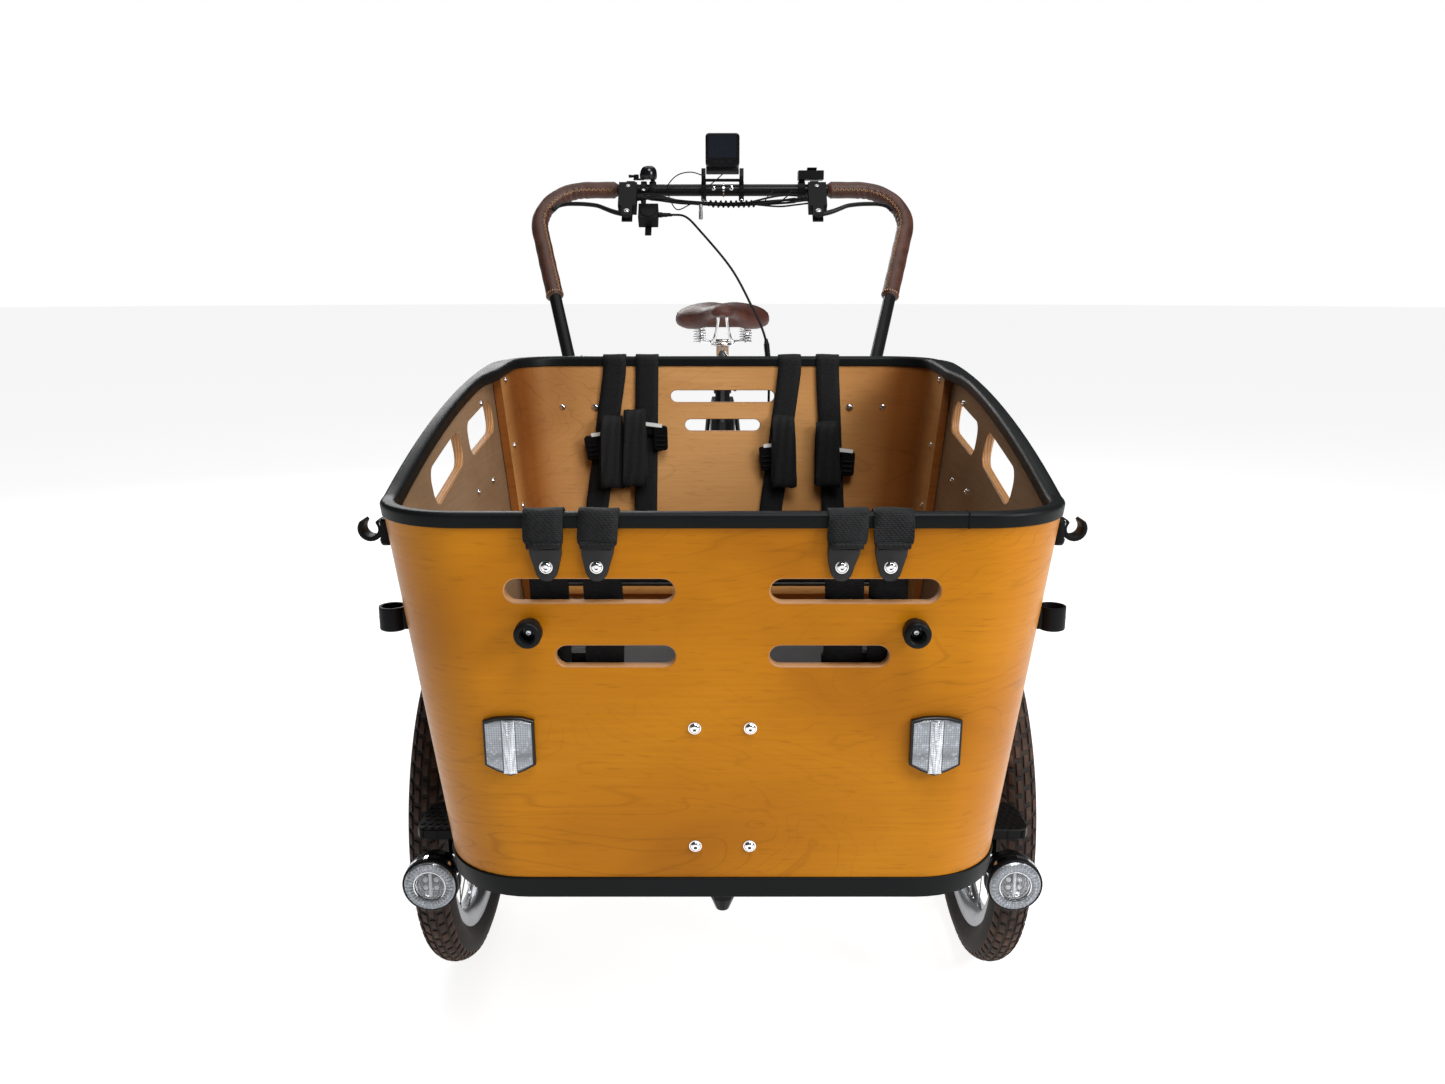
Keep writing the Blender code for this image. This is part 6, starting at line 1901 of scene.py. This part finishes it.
# The springs, the rail clamp and the seat tube, in the same frame as SHIFT.
SPRING_X, SPRING_Y = 0.057, 1.285
CLAMP_Y, CLAMP_DECK = 1.1587, 0.8372
SEAT_TUBE_FOOT, SEAT_TUBE_TOP = Vector((0, 0.92, 0.29)), Vector((0, 1.125, 0.751))


def saddle_ring(y, half, crown, low, count=44):
    """One cross-section: a crowned top with a rear channel, and skirts that tuck under."""
    waist = lerp(low, crown, 0.36)
    ring = []
    for i in range(count):
        turn = 2 * math.pi * i / count
        across, rise = math.cos(turn), math.sin(turn)
        if rise >= 0:
            z = waist + (crown - waist) * rise**0.72
            z -= 0.0042 * math.exp(-((half * across / 0.013) ** 2)) * ramp(y, 1.2, 1.32)
            x = half * math.copysign(abs(across) ** 0.86, across)
        else:
            z = waist - (waist - low) * min(1.0, abs(rise) ** 0.6 * 1.04)
            z = max(z, lerp(low, max(low + 0.004, PAN_Z), ramp(abs(rise), 0.55, 0.75)))
            x = half * math.copysign(abs(across) ** 0.9, across) * (1 - 0.1 * abs(rise))
        ring.append(Vector((x, y, z)))
    return ring


def build_saddle():
    """The leather saddle, its sprung rails and the seat tube clamp."""
    curve = smooth_path([(y, half, crown) for y, half, crown, _ in SADDLE_STATIONS], 5)
    lows = smooth_path([(y, low, 0) for y, _, _, low in SADDLE_STATIONS], 5)
    rings = [saddle_ring(a.x, a.y, a.z, b.y) for a, b in zip(curve, lows)]
    cover = Piece().skin(rings)
    hide = cover.done("saddle_leather", SADDLE_LEATHER, "leather", "saddle", "saddle", angle=70)

    seam = Piece()
    for column in (2, 20):
        edge = [ring[column] for ring in rings[4:-3]]
        outward = Vector((math.copysign(1, edge[8].x), 0, 0.45)).normalized()
        line = even_path([point + outward * 0.0001 for point in edge], 0.0026)
        for a, b in zip(line[::2], line[1::2]):
            seam.tube(
                [a - outward * 0.0003, a.lerp(b, 0.5) + outward * 0.0006, b - outward * 0.0003], 0.00042, 6
            )
    seam.done("saddle_stitching", DARK_THREAD, "leather", "saddle")

    frame_steel = Piece()
    top_y, deck = CLAMP_Y, CLAMP_DECK
    frame_steel.block((-0.026, top_y - 0.02, deck), (0.026, top_y + 0.02, deck + 0.007), 0, 0.002)
    frame_steel.block(
        (-0.026, top_y - 0.017, deck + 0.0076), (0.026, top_y + 0.017, deck + 0.0148), 0, 0.002
    )
    for side in (1, -1):
        rail = [
            (side * 0.01, 1.119, 0.905), (side * 0.0105, 1.1205, 0.896), (side * 0.015, 1.124, deck + 0.032)
        ]
        rail += [
            (side * 0.0215, top_y - 0.026, deck + 0.0098), (side * 0.0215, top_y + 0.026, deck + 0.0078)
        ]
        rail += [(side * 0.039, 1.235, deck + 0.007), (side * 0.054, 1.274, deck + 0.0062)]
        frame_steel.tube(smooth_path(rail, 8), 0.0036, 12)
        coil = []
        for i in range(161):
            share = i / 160
            turn = 2 * math.pi * 5 * share
            reach = 0.014 - 0.0012 * abs(2 * share - 1)
            coil.append(
                (
                    side * SPRING_X + reach * math.cos(turn), SPRING_Y + reach * math.sin(turn),
                    lerp(deck + 0.0062, deck + 0.0368, share)
                )
            )
        frame_steel.tube(coil, 0.002, 8)
        for height in (deck + 0.0022, deck + 0.0372):
            frame_steel.lathe(
                (side * SPRING_X, SPRING_Y, height), (0, 0, 1),
                [(0, 0.0125), (0.0005, 0.016), (0.0024, 0.0162), (0.0028, 0.012)], 24
            )
        frame_steel.rod(
            (side * SPRING_X, SPRING_Y, deck + 0.0026), (side * SPRING_X, SPRING_Y, deck + 0.0398), 0.003,
            12
        )
        bolt(frame_steel, axis_place((side * 0.0262, top_y, deck + 0.0073), (side, 0, 0)), 0.006, 0, 0.5)
    frame_steel.done("saddle_undercarriage", CHROME, "chrome", "saddle", "saddle_springs")
    post = Piece()
    axis, foot = (SEAT_TUBE_TOP - SEAT_TUBE_FOOT).normalized(), SEAT_TUBE_TOP
    post.lathe(
        foot + axis * 0.0004, axis, [(0, 0.016), (0.001, 0.0166), (0.005, 0.0166), (0.0062, 0.015)], 28
    )
    post.done("seatpost_seal", PLASTIC, "black_trim", "saddle")
    clamp = Piece()
    across = Vector((1, 0, 0))
    back = foot - axis * 0.01 + axis.cross(across).normalized() * -0.0235
    clamp.rod(back - across * 0.014, back + across * 0.014, 0.0036, 14)
    clamp.rod(back - across * 0.017, back - across * 0.013, 0.0062, 16)
    lever = [
        back + across * 0.013, back + across * 0.019 + Vector((0, 0, 0.004)),
        foot + Vector((0.0275, -0.004, -0.01)), foot + Vector((0.029, -0.026, -0.012))
    ]
    clamp.tube(smooth_path(lever, 6), lambda share: lerp(0.0032, 0.0048, ramp(share, 0.3, 0.9)), 12)
    clamp.done("seat_quick_release", ALLOY, "alloy", "rider_frame")


build_saddle()


# ---------------------------------------------------------------- drivetrain and rear end


CHAIN_X = -0.0545
CHAIN_PITCH = 0.0127


def wrap_line(pulleys):
    """Points round a chain that passes each (centre y, centre z, radius, turn) in order."""
    count = len(pulleys)
    headings = []
    for (y1, z1, r1, s1), (y2, z2, r2, s2) in zip(pulleys, pulleys[1:] + pulleys[:1]):
        apart = math.hypot(y2 - y1, z2 - z1)
        headings.append(math.atan2(z2 - z1, y2 - y1) + math.asin((s1 * r1 - s2 * r2) / apart))
    points = []
    for i in range(count):
        y, z, radius, turn = pulleys[i]
        start = headings[i - 1] - turn * math.pi / 2
        angle_swept = ((headings[i] - headings[i - 1]) * turn) % (2 * math.pi)
        for k in range(25):
            angle = start + turn * angle_swept * k / 24
            points.append(Vector((CHAIN_X, y + radius * math.cos(angle), z + radius * math.sin(angle))))
    return points


def build_chain():
    """Chain links along the wrap line."""
    line = wrap_line(
        [
            (0.92, 0.29, 0.0902, 1), (1.378, 0.195, 0.0187, 1), (1.408, 0.258, 0.0187, -1),
            (1.4, 0.335, 0.0372, 1)
        ]
    )
    line.append(line[0])
    length = sum((b - a).length for a, b in zip(line, line[1:]))
    count = 2 * round(length / CHAIN_PITCH / 2)
    joints = even_path(line, length / count)[:count]
    links = Piece()
    for i, point in enumerate(joints):
        ahead = joints[(i + 1) % count]
        along = (ahead - point).normalized()
        reach = 0.0019 if i % 2 else 0.0027
        for side in (1, -1):
            x = side * reach - (0.0004 if side < 0 else 0)
            place = placed(
                point.lerp(ahead, 0.5) + Vector((x, 0, 0)), along, Vector((1, 0, 0)).cross(along)
            )
            waist = []
            for a, b in obround((ahead - point).length + 0.0076, 0.0076, 6):
                waist.append((a, b * (1 - 0.16 * math.exp(-((a / 0.003) ** 2)))))
            links.slab(waist, place, 0.0008, 0)
        links.rod(point - Vector((0.0031, 0, 0)), point + Vector((0.0031, 0, 0)), 0.002, 8)
        links.rod(point - Vector((0.0014, 0, 0)), point + Vector((0.0014, 0, 0)), 0.0037, 10, 1)
    links.done("chain_links", [STEEL, CHROME], "alloy", "rider_frame", "chain", angle=30)


def toothed(piece, centre, root, tip, teeth, x, half, look=0):
    """A ring of rounded teeth for a chain."""
    for i in range(teeth):
        turn = 360 * i / teeth
        rings = []
        for radius, wide in ((root - 0.003, 0.3), (root + (tip - root) * 0.5, 0.2), (tip, 0.09)):
            spread = 360 / teeth * wide
            lean = half if radius < tip else half * 0.6
            low, high = unit(turn - spread) * radius, unit(turn + spread) * radius
            rings.append(
                [
                    centre + Vector((x - lean, *low[1:])), centre + Vector((x + lean, *low[1:])),
                    centre + Vector((x + lean, *high[1:])), centre + Vector((x - lean, *high[1:]))
                ]
            )
        piece.skin(rings, look=look)


def build_drivetrain():
    """Chainring and sprocket teeth, derailleur and pedals."""
    centre = Vector((0, 0.92, 0.29))
    ring = Piece()
    toothed(ring, centre, 0.085, 0.0905, 44, CHAIN_X, 0.0009)
    for i in range(5):
        out = unit(72 * i)
        bolt(ring, axis_place(centre + Vector((-0.0568, 0, 0)) + out * 0.076, (-1, 0, 0)), 0.0052, 1, 0.4)
    for side in (1, -1):
        bolt(ring, axis_place(centre + Vector((side * 0.0742, 0, 0)), (side, 0, 0)), 0.011, 2, 0.3)
    ring.done("chainring_teeth", [ALLOY, CHROME, PLASTIC], "alloy", "crank")

    cog = Piece()
    axle = Vector((0, 1.4, 0.335))
    toothed(cog, axle, 0.032, 0.0362, 18, CHAIN_X, 0.0009)
    for x, radius in ((-0.0512, 0.027), (-0.0486, 0.0262)):
        cog.hoop(
            axle, [(x - 0.0007, 0.015), (x + 0.0007, 0.015), (x + 0.0007, radius), (x - 0.0007, radius)], 36
        )
    cog.done("sprocket_teeth", STEEL, "alloy", "rear_sprocket")

    mech = Piece()
    for y, z in ((1.408, 0.258), (1.378, 0.195)):
        pulley = Vector((0, y, z))
        toothed(mech, pulley, 0.0135, 0.0172, 11, CHAIN_X, 0.0009)
        mech.lathe(
            pulley + Vector((-0.0608, 0, 0)), (-1, 0, 0), [(0, 0.005), (0.0012, 0.0048), (0.0018, 0.003)],
            16, 1
        )
    cage = obround(0.094, 0.02, 8)
    heading = (Vector((0, 1.408, 0.258)) - Vector((0, 1.378, 0.195))).normalized()
    place = placed((-0.05, 1.393, 0.2265), heading, Vector((1, 0, 0)).cross(heading))
    mech.slab(cage, place, 0.0012, 0)
    mech.tube(
        smooth_path(
            [(-0.07, 1.38, 0.3), (-0.072, 1.34, 0.318), (-0.07, 1.29, 0.316), (-0.06, 1.22, 0.312)], 8
        ),
        0.0022, 8, 2
    )
    bolt(mech, axis_place((-0.0762, 1.411, 0.29), (-1, 0, 0)), 0.007, 1, 0.4)
    mech.done("derailleur_details", [PLASTIC, STEEL, TRIM], "black_frame", "rider_frame")

    for name, forward in (("right", -1), ("left", 1)):
        side = SIDES[name]
        y, z = 0.92 + forward * 0.17, 0.29
        low, high = side * 0.0764, side * 0.1716
        pedal = Piece()
        pedal.lathe(
            (side * 0.077, y, z), (side, 0, 0),
            [
                (0, 0.011), (0.002, 0.0122), (0.03, 0.0105), (0.06, 0.0105), (0.086, 0.0118),
                (0.092, 0.0108), (0.094, 0.006)
            ],
            20
        )
        for ahead in (1, -1):
            outline = []
            for a, b in rounded_rectangle(0.094, 0.024, 0.004, 4):
                outline.append((a, b * (1 - 0.1 * math.cos(a / 0.094 * 2 * math.pi * 5))))
            place = placed(((low + high) / 2, y + ahead * 0.0452, z), (1, 0, 0), (0, 0, 1))
            pedal.slab(outline, place @ Matrix.Translation((0, 0, -0.0035)), 0.007, 0, 0.0008)
            for x in (side * 0.086, side * 0.124, side * 0.161):
                pedal.block(
                    (x - 0.005, y + ahead * 0.008, z - 0.0085), (x + 0.005, y + ahead * 0.043, z + 0.0085),
                    0, 0.0015
                )
                for height in (-0.012, 0.0085):
                    pedal.block(
                        (x - 0.0045, y + ahead * 0.012, z + height),
                        (x + 0.0045, y + ahead * 0.04, z + height + 0.0035), 2, 0.0008
                    )
            pedal.slab(
                rounded_rectangle(0.056, 0.012, 0.002, 3),
                placed(
                    ((low + high) / 2, y + ahead * (0.049 if ahead > 0 else 0.0486), z), (1, 0, 0),
                    (0, 0, 1)
                ) @ Matrix.Translation((0, 0, -0.0008)),
                0.0016, 1, 0.0003
            )
        pedal.done(
            f"pedal_platform_{name}", [PLASTIC, AMBER, TRIM], "black_trim", f"pedal_{name}",
            f"pedal_{name}", angle=30
        )


AMBER = prism_look("amber_prism", (0.62, 0.2, 0.01), 0.3)


def build_battery():
    """Battery details and the fender stays."""
    slope = math.atan2(0.45, 0.53)
    lift = Vector((0, -math.sin(slope), math.cos(slope)))
    along = Vector((0, math.cos(slope), math.sin(slope)))
    start = Vector((0, 0.7, 0.319)) + lift * 0.0668
    details = Piece()
    for share in (0.035, 0.285):
        place = placed(start + along * share, (1, 0, 0), lift)
        details.slab(
            rounded_rectangle(0.0696, 0.0796, 0.0125, 4), place @ Matrix.Translation((0, 0, -0.0015)),
            0.003, 1, 0.0006
        )
    for side in (1, -1):
        upright = placed(
            start + along * 0.16 + Vector((side * 0.0336, 0, 0)), along, lift if side > 0 else -lift
        )
        details.slab(
            obround(0.19, 0.03, 12), upright @ Matrix.Translation((0, 0, -0.0006)), 0.0014, 1, 0.0004
        )
        for offset in (-0.008, 0.0, 0.008):
            step = upright @ Matrix.Translation((0, offset, 0.0006))
            details.slab(obround(0.16, 0.0022, 6), step, 0.0009, 0, 0.0002)
    lock = start + along * 0.085 + Vector((0.034, 0, 0)) - lift * 0.022
    details.lathe(lock, (1, 0, 0), [(-0.0005, 0.0085), (0.001, 0.0085), (0.0016, 0.007)], 24, 2)
    details.slab(
        rounded_rectangle(0.0012, 0.006, 0.0004, 2), placed(lock + Vector((0.0016, 0, 0)), along, lift),
        0.0003, 1
    )
    handle_start = start + along * 0.3302 + lift * 0.02
    handle = [
        handle_start - Vector((0.022, 0, 0)), handle_start - Vector((0.02, 0, 0)) + along * 0.014,
        handle_start + along * 0.0165, handle_start + Vector((0.02, 0, 0)) + along * 0.014,
        handle_start + Vector((0.022, 0, 0))
    ]
    details.tube(smooth_path(handle, 6), 0.0032, 10, 1)
    details.done("battery_details", [PLASTIC, GLOSS, CHROME], "black_trim", "rider_frame")
    stays = Piece()
    for side in (1, -1):
        for angle in (128, 8):
            top = Vector((0, 1.4, 0.335)) + unit(angle) * 0.35 + Vector((side * 0.029, 0, 0))
            foot = Vector((side * 0.061, 1.4, 0.335)) + unit(angle) * 0.03
            stays.tube(
                smooth_path(
                    [foot, foot.lerp(top, 0.12) + Vector((side * 0.003, 0, 0)), foot.lerp(top, 0.9), top], 6
                ),
                0.0018, 8
            )
            stays.lathe(
                top - Vector((side * 0.003, 0, 0)), (side, 0, 0),
                [(0, 0.004), (0.004, 0.004), (0.0052, 0.0026)], 12, 1
            )
    stays.done("fender_stays", [PAINT, STEEL], "black_frame", "rider_frame")


build_chain()
build_drivetrain()
build_battery()


# ---------------------------------------------------------------- benches


BENCH_HALF, BENCH_TOP = 0.268, 0.575
CUSHION_TALL = 0.04
VOXEL = 0.0065
SWELL_LIMIT = 0.007
SWELL_STEPS = 16
CHANNELS = (-0.134, 0.0, 0.134)


def swollen(mesh, low, high):
    """The cushion after its cover is blown out between pinned seams by the foam inside."""
    obj = added("cushion", mesh)
    start = [vertex.co.copy() for vertex in mesh.vertices]
    group = obj.vertex_groups.new(name="held")
    for index, point in enumerate(start):
        rim = min(point.x - low.x, high.x - point.x, point.y - low.y, high.y - point.y)
        lid = min(high.z - point.z, point.z - low.z)
        held = point.z < low.z + 0.002 or max(rim, lid) < 0.006
        group.add([index], 1.0 if held else 0.02, "REPLACE")
    modifier = obj.modifiers.new("cloth", "CLOTH")
    settings = modifier.settings
    settings.use_pressure = True
    settings.uniform_pressure_force = 4.0
    settings.vertex_group_mass = "held"
    settings.quality = 4
    settings.effector_weights.gravity = 0.0
    modifier.collision_settings.use_collision = False
    modifier.point_cache.frame_start, modifier.point_cache.frame_end = 1, SWELL_STEPS
    for step in range(1, SWELL_STEPS + 1):
        bpy.context.scene.frame_set(step)
    result = baked(obj)
    bpy.context.scene.frame_set(1)
    for vertex, before in zip(result.vertices, start):
        move = vertex.co - before
        if move.length > SWELL_LIMIT:
            vertex.co = before + move.normalized() * SWELL_LIMIT
    return result


def build_cushion(name, low, high):
    """A bench cushion swollen between its seams, with sewn channels and piping."""
    low, high = Vector(low), Vector(high)
    block = Piece()
    block.block(low, high, 0, 0.006)
    obj = added("block", block.mesh())
    modifier = obj.modifiers.new("even", "REMESH")
    modifier.mode = "VOXEL"
    modifier.voxel_size = VOXEL
    mesh = baked(obj)
    mesh = swollen(mesh, low, high)
    middle, half = (low + high) / 2, (high - low) / 2
    for vertex in mesh.vertices:
        point = vertex.co
        across = (point.x - middle.x) / half.x
        deep = (point.y - middle.y) / half.y
        if point.z > middle.z:
            crown = max(0.0, 1 - across**4) * max(0.0, 1 - deep**4)
            channel = sum(math.exp(-(((point.x - middle.x) - offset) / 0.0075) ** 2) for offset in CHANNELS)
            wrinkle = math.sin(point.x * 61 + point.y * 23) * math.sin(point.y * 87 - point.x * 17)
            point.z += 0.003 * crown - 0.0052 * channel * crown**0.3 + 0.0005 * wrinkle * crown
    cushion = finished(mesh, f"cushion_{name}", VINYL, angle=75, subdivide=1)

    piping = Piece()
    for z in (low.z + 0.003, high.z - 0.003):
        corners = rounded_rectangle(2 * half.x - 0.0005, 2 * half.y - 0.0005, 0.01, 6)
        path = [Vector((middle.x + a, middle.y + b, z)) for a, b in corners]
        piping.sweep(path, ring_section(0.0024, 8), (0, 0, 1), True)
    for offset in CHANNELS:
        for i in range(24):
            y = lerp(low.y + 0.014, high.y - 0.014, i / 23)
            piping.rod(
                (middle.x + offset, y - 0.002, high.z - 0.0018),
                (middle.x + offset, y + 0.002, high.z - 0.0018), 0.0006, 6, 1
            )
    piping.done(f"cushion_piping_{name}", [VINYL, DARK_THREAD], "inner_ply")


def build_benches():
    """Plywood seats on the end walls, each under its cushion."""
    for name, (wall_y, knee_y) in {"front": (-0.432, -0.205), "rear": (0.296, 0.075)}.items():
        low_y, high_y = sorted((wall_y, knee_y))
        toward = math.copysign(1, wall_y - knee_y)
        wood = Piece()
        board_top = BENCH_TOP - CUSHION_TALL - 0.0004
        wood.block((-BENCH_HALF, low_y, board_top - 0.0116), (BENCH_HALF, high_y, board_top), 0, 0.0015)
        riser = sorted((knee_y + toward * 0.015, knee_y + toward * 0.027))
        wood.block(
            (-BENCH_HALF, riser[0], WALL_Z + 0.0004), (BENCH_HALF, riser[1], board_top - 0.012), 0, 0.0008
        )
        for x in (-0.235, -0.08, 0.08, 0.235):
            for z in (0.385, 0.5):
                bolt(wood, axis_place((x, knee_y + toward * 0.015, z), (0, -toward, 0)), 0.006, 1, 0.35)
        wood.done(f"bench_boards_{name}", [PLY_BLOCK, CHROME], "inner_ply", replaces=f"bench_{name}")
        build_cushion(
            name, (-BENCH_HALF + 0.004, low_y + 0.004, board_top + 0.0004),
            (BENCH_HALF - 0.004, high_y - 0.004, BENCH_TOP - 0.004)
        )


build_benches()


# ---------------------------------------------------------------- carried-over CAD nodes


CARRIED = {
    "box_floor": (PLY_BLOCK, 0),
    "chassis": (PAINT, 0.0015),
    "main_frame": (PAINT, 0.001),
    "rear_fender": (PAINT, 0.0006),
    "battery": (PLASTIC, 0.002),
    "rear_axle": (CHROME, 0.0004),
    "rear_derailleur": (PAINT, 0.0005),
    "rear_sprocket": (STEEL, 0.0003),
    "crankset": (ALLOY, 0.001),
    "brake_housing_left": (PLASTIC, 0.0012),
    "brake_housing_right": (PLASTIC, 0.0012),
    "gear_shifter": (PLASTIC, 0.0012),
    "shift_paddle": (PLASTIC, 0.0006),
    "control_pad": (PLASTIC, 0.0015),
    "assist_rocker": (GLOSS, 0.0005),
    "display_bracket": (PLASTIC, 0.0008),
    "bell": (GLOSS, 0.0006),
    "bell_striker": (PLASTIC, 0.0005),
    "seatpost": (CHROME, 0.0006),
}


def carry_over():
    """Every CAD node still showing gets its finished material and eased edges."""
    for name, node in NODES.items():
        if node.hide_render:
            continue
        look, width = CARRIED.get(name, (PLASTIC, 0))
        node.data.materials.clear()
        node.data.materials.append(look)
        if width:
            weld = node.modifiers.new("weld", "WELD")
            weld.merge_threshold = 0.00001
            ease(node, width)


carry_over()


# ---------------------------------------------------------------- camera, floor and light


def area_light(name, place, target, size, power, colour=(1, 1, 1)):
    """A rectangular soft light turned towards its target."""
    data = bpy.data.lights.new(name, "AREA")
    data.shape = "RECTANGLE"
    data.size, data.size_y = size
    data.energy = power
    data.color = colour
    light = added(name, data)
    light.location = place
    light.rotation_euler = (Vector(target) - Vector(place)).to_track_quat("-Z", "Y").to_euler()


WORLD_LIGHT, FLOOR_GLOW = 0.07, 0.88
CAMERA_LENS, CAMERA_PITCH = 28.27, 12.755
CAMERA_PLACE = (0, -2.205, 0.978)


def make_stage():
    """Camera, white surround, pale floor and four soft lights."""
    camera_data = bpy.data.cameras.new("camera")
    camera_data.lens = CAMERA_LENS
    camera_data.sensor_width = 36.0
    camera_data.clip_end = 200.0
    camera = added("camera", camera_data)
    camera.location = CAMERA_PLACE
    camera.rotation_euler = (math.radians(90 - CAMERA_PITCH), 0, 0)
    bpy.context.scene.camera = camera

    world = bpy.data.worlds.new("studio")
    world.use_nodes = True
    nodes, links = world.node_tree.nodes, world.node_tree.links
    seen, lit = nodes["Background"], nodes.new("ShaderNodeBackground")
    seen.inputs["Color"].default_value = lit.inputs["Color"].default_value = (1, 1, 1, 1)
    seen.inputs["Strength"].default_value, lit.inputs["Strength"].default_value = 1.0, WORLD_LIGHT
    rays, blend = nodes.new("ShaderNodeLightPath"), nodes.new("ShaderNodeMixShader")
    links.new(rays.outputs["Is Camera Ray"], blend.inputs[0])
    links.new(lit.outputs[0], blend.inputs[1])
    links.new(seen.outputs[0], blend.inputs[2])
    links.new(blend.outputs[0], nodes["World Output"].inputs["Surface"])
    bpy.context.scene.world = world
    bpy.context.scene.view_settings.view_transform = "Standard"

    bm = bmesh.new()
    bmesh.ops.create_circle(bm, cap_ends=True, segments=64, radius=60.0)
    floor_mesh = bpy.data.meshes.new("floor")
    bm.to_mesh(floor_mesh)
    bm.free()
    floor_look = Look(
        "floor_pale", (0.5, 0.5, 0.5), 0.8, Specular_IOR_Level=0.1, Emission_Color=(1, 1, 1, 1),
        Emission_Strength=FLOOR_GLOW
    )
    floor_mesh.materials.append(floor_look.material)
    floor = added("floor", floor_mesh)
    floor.location = (0, 0, -0.0004)

    area_light("key", (2.3, -2.3, 2.0), (0, -0.4, 0.5), (1.1, 1.1), 74)
    area_light("front", (0.5, -1.9, 3.0), (0, -0.2, 0.6), (1.3, 1.0), 60)
    area_light("top", (0, 0.5, 3.3), (0, 0, 0.4), (2.6, 2.6), 34)
    area_light("back", (-1.2, 3.2, 2.2), (0, 0.3, 0.7), (2.0, 1.2), 40)


make_stage()
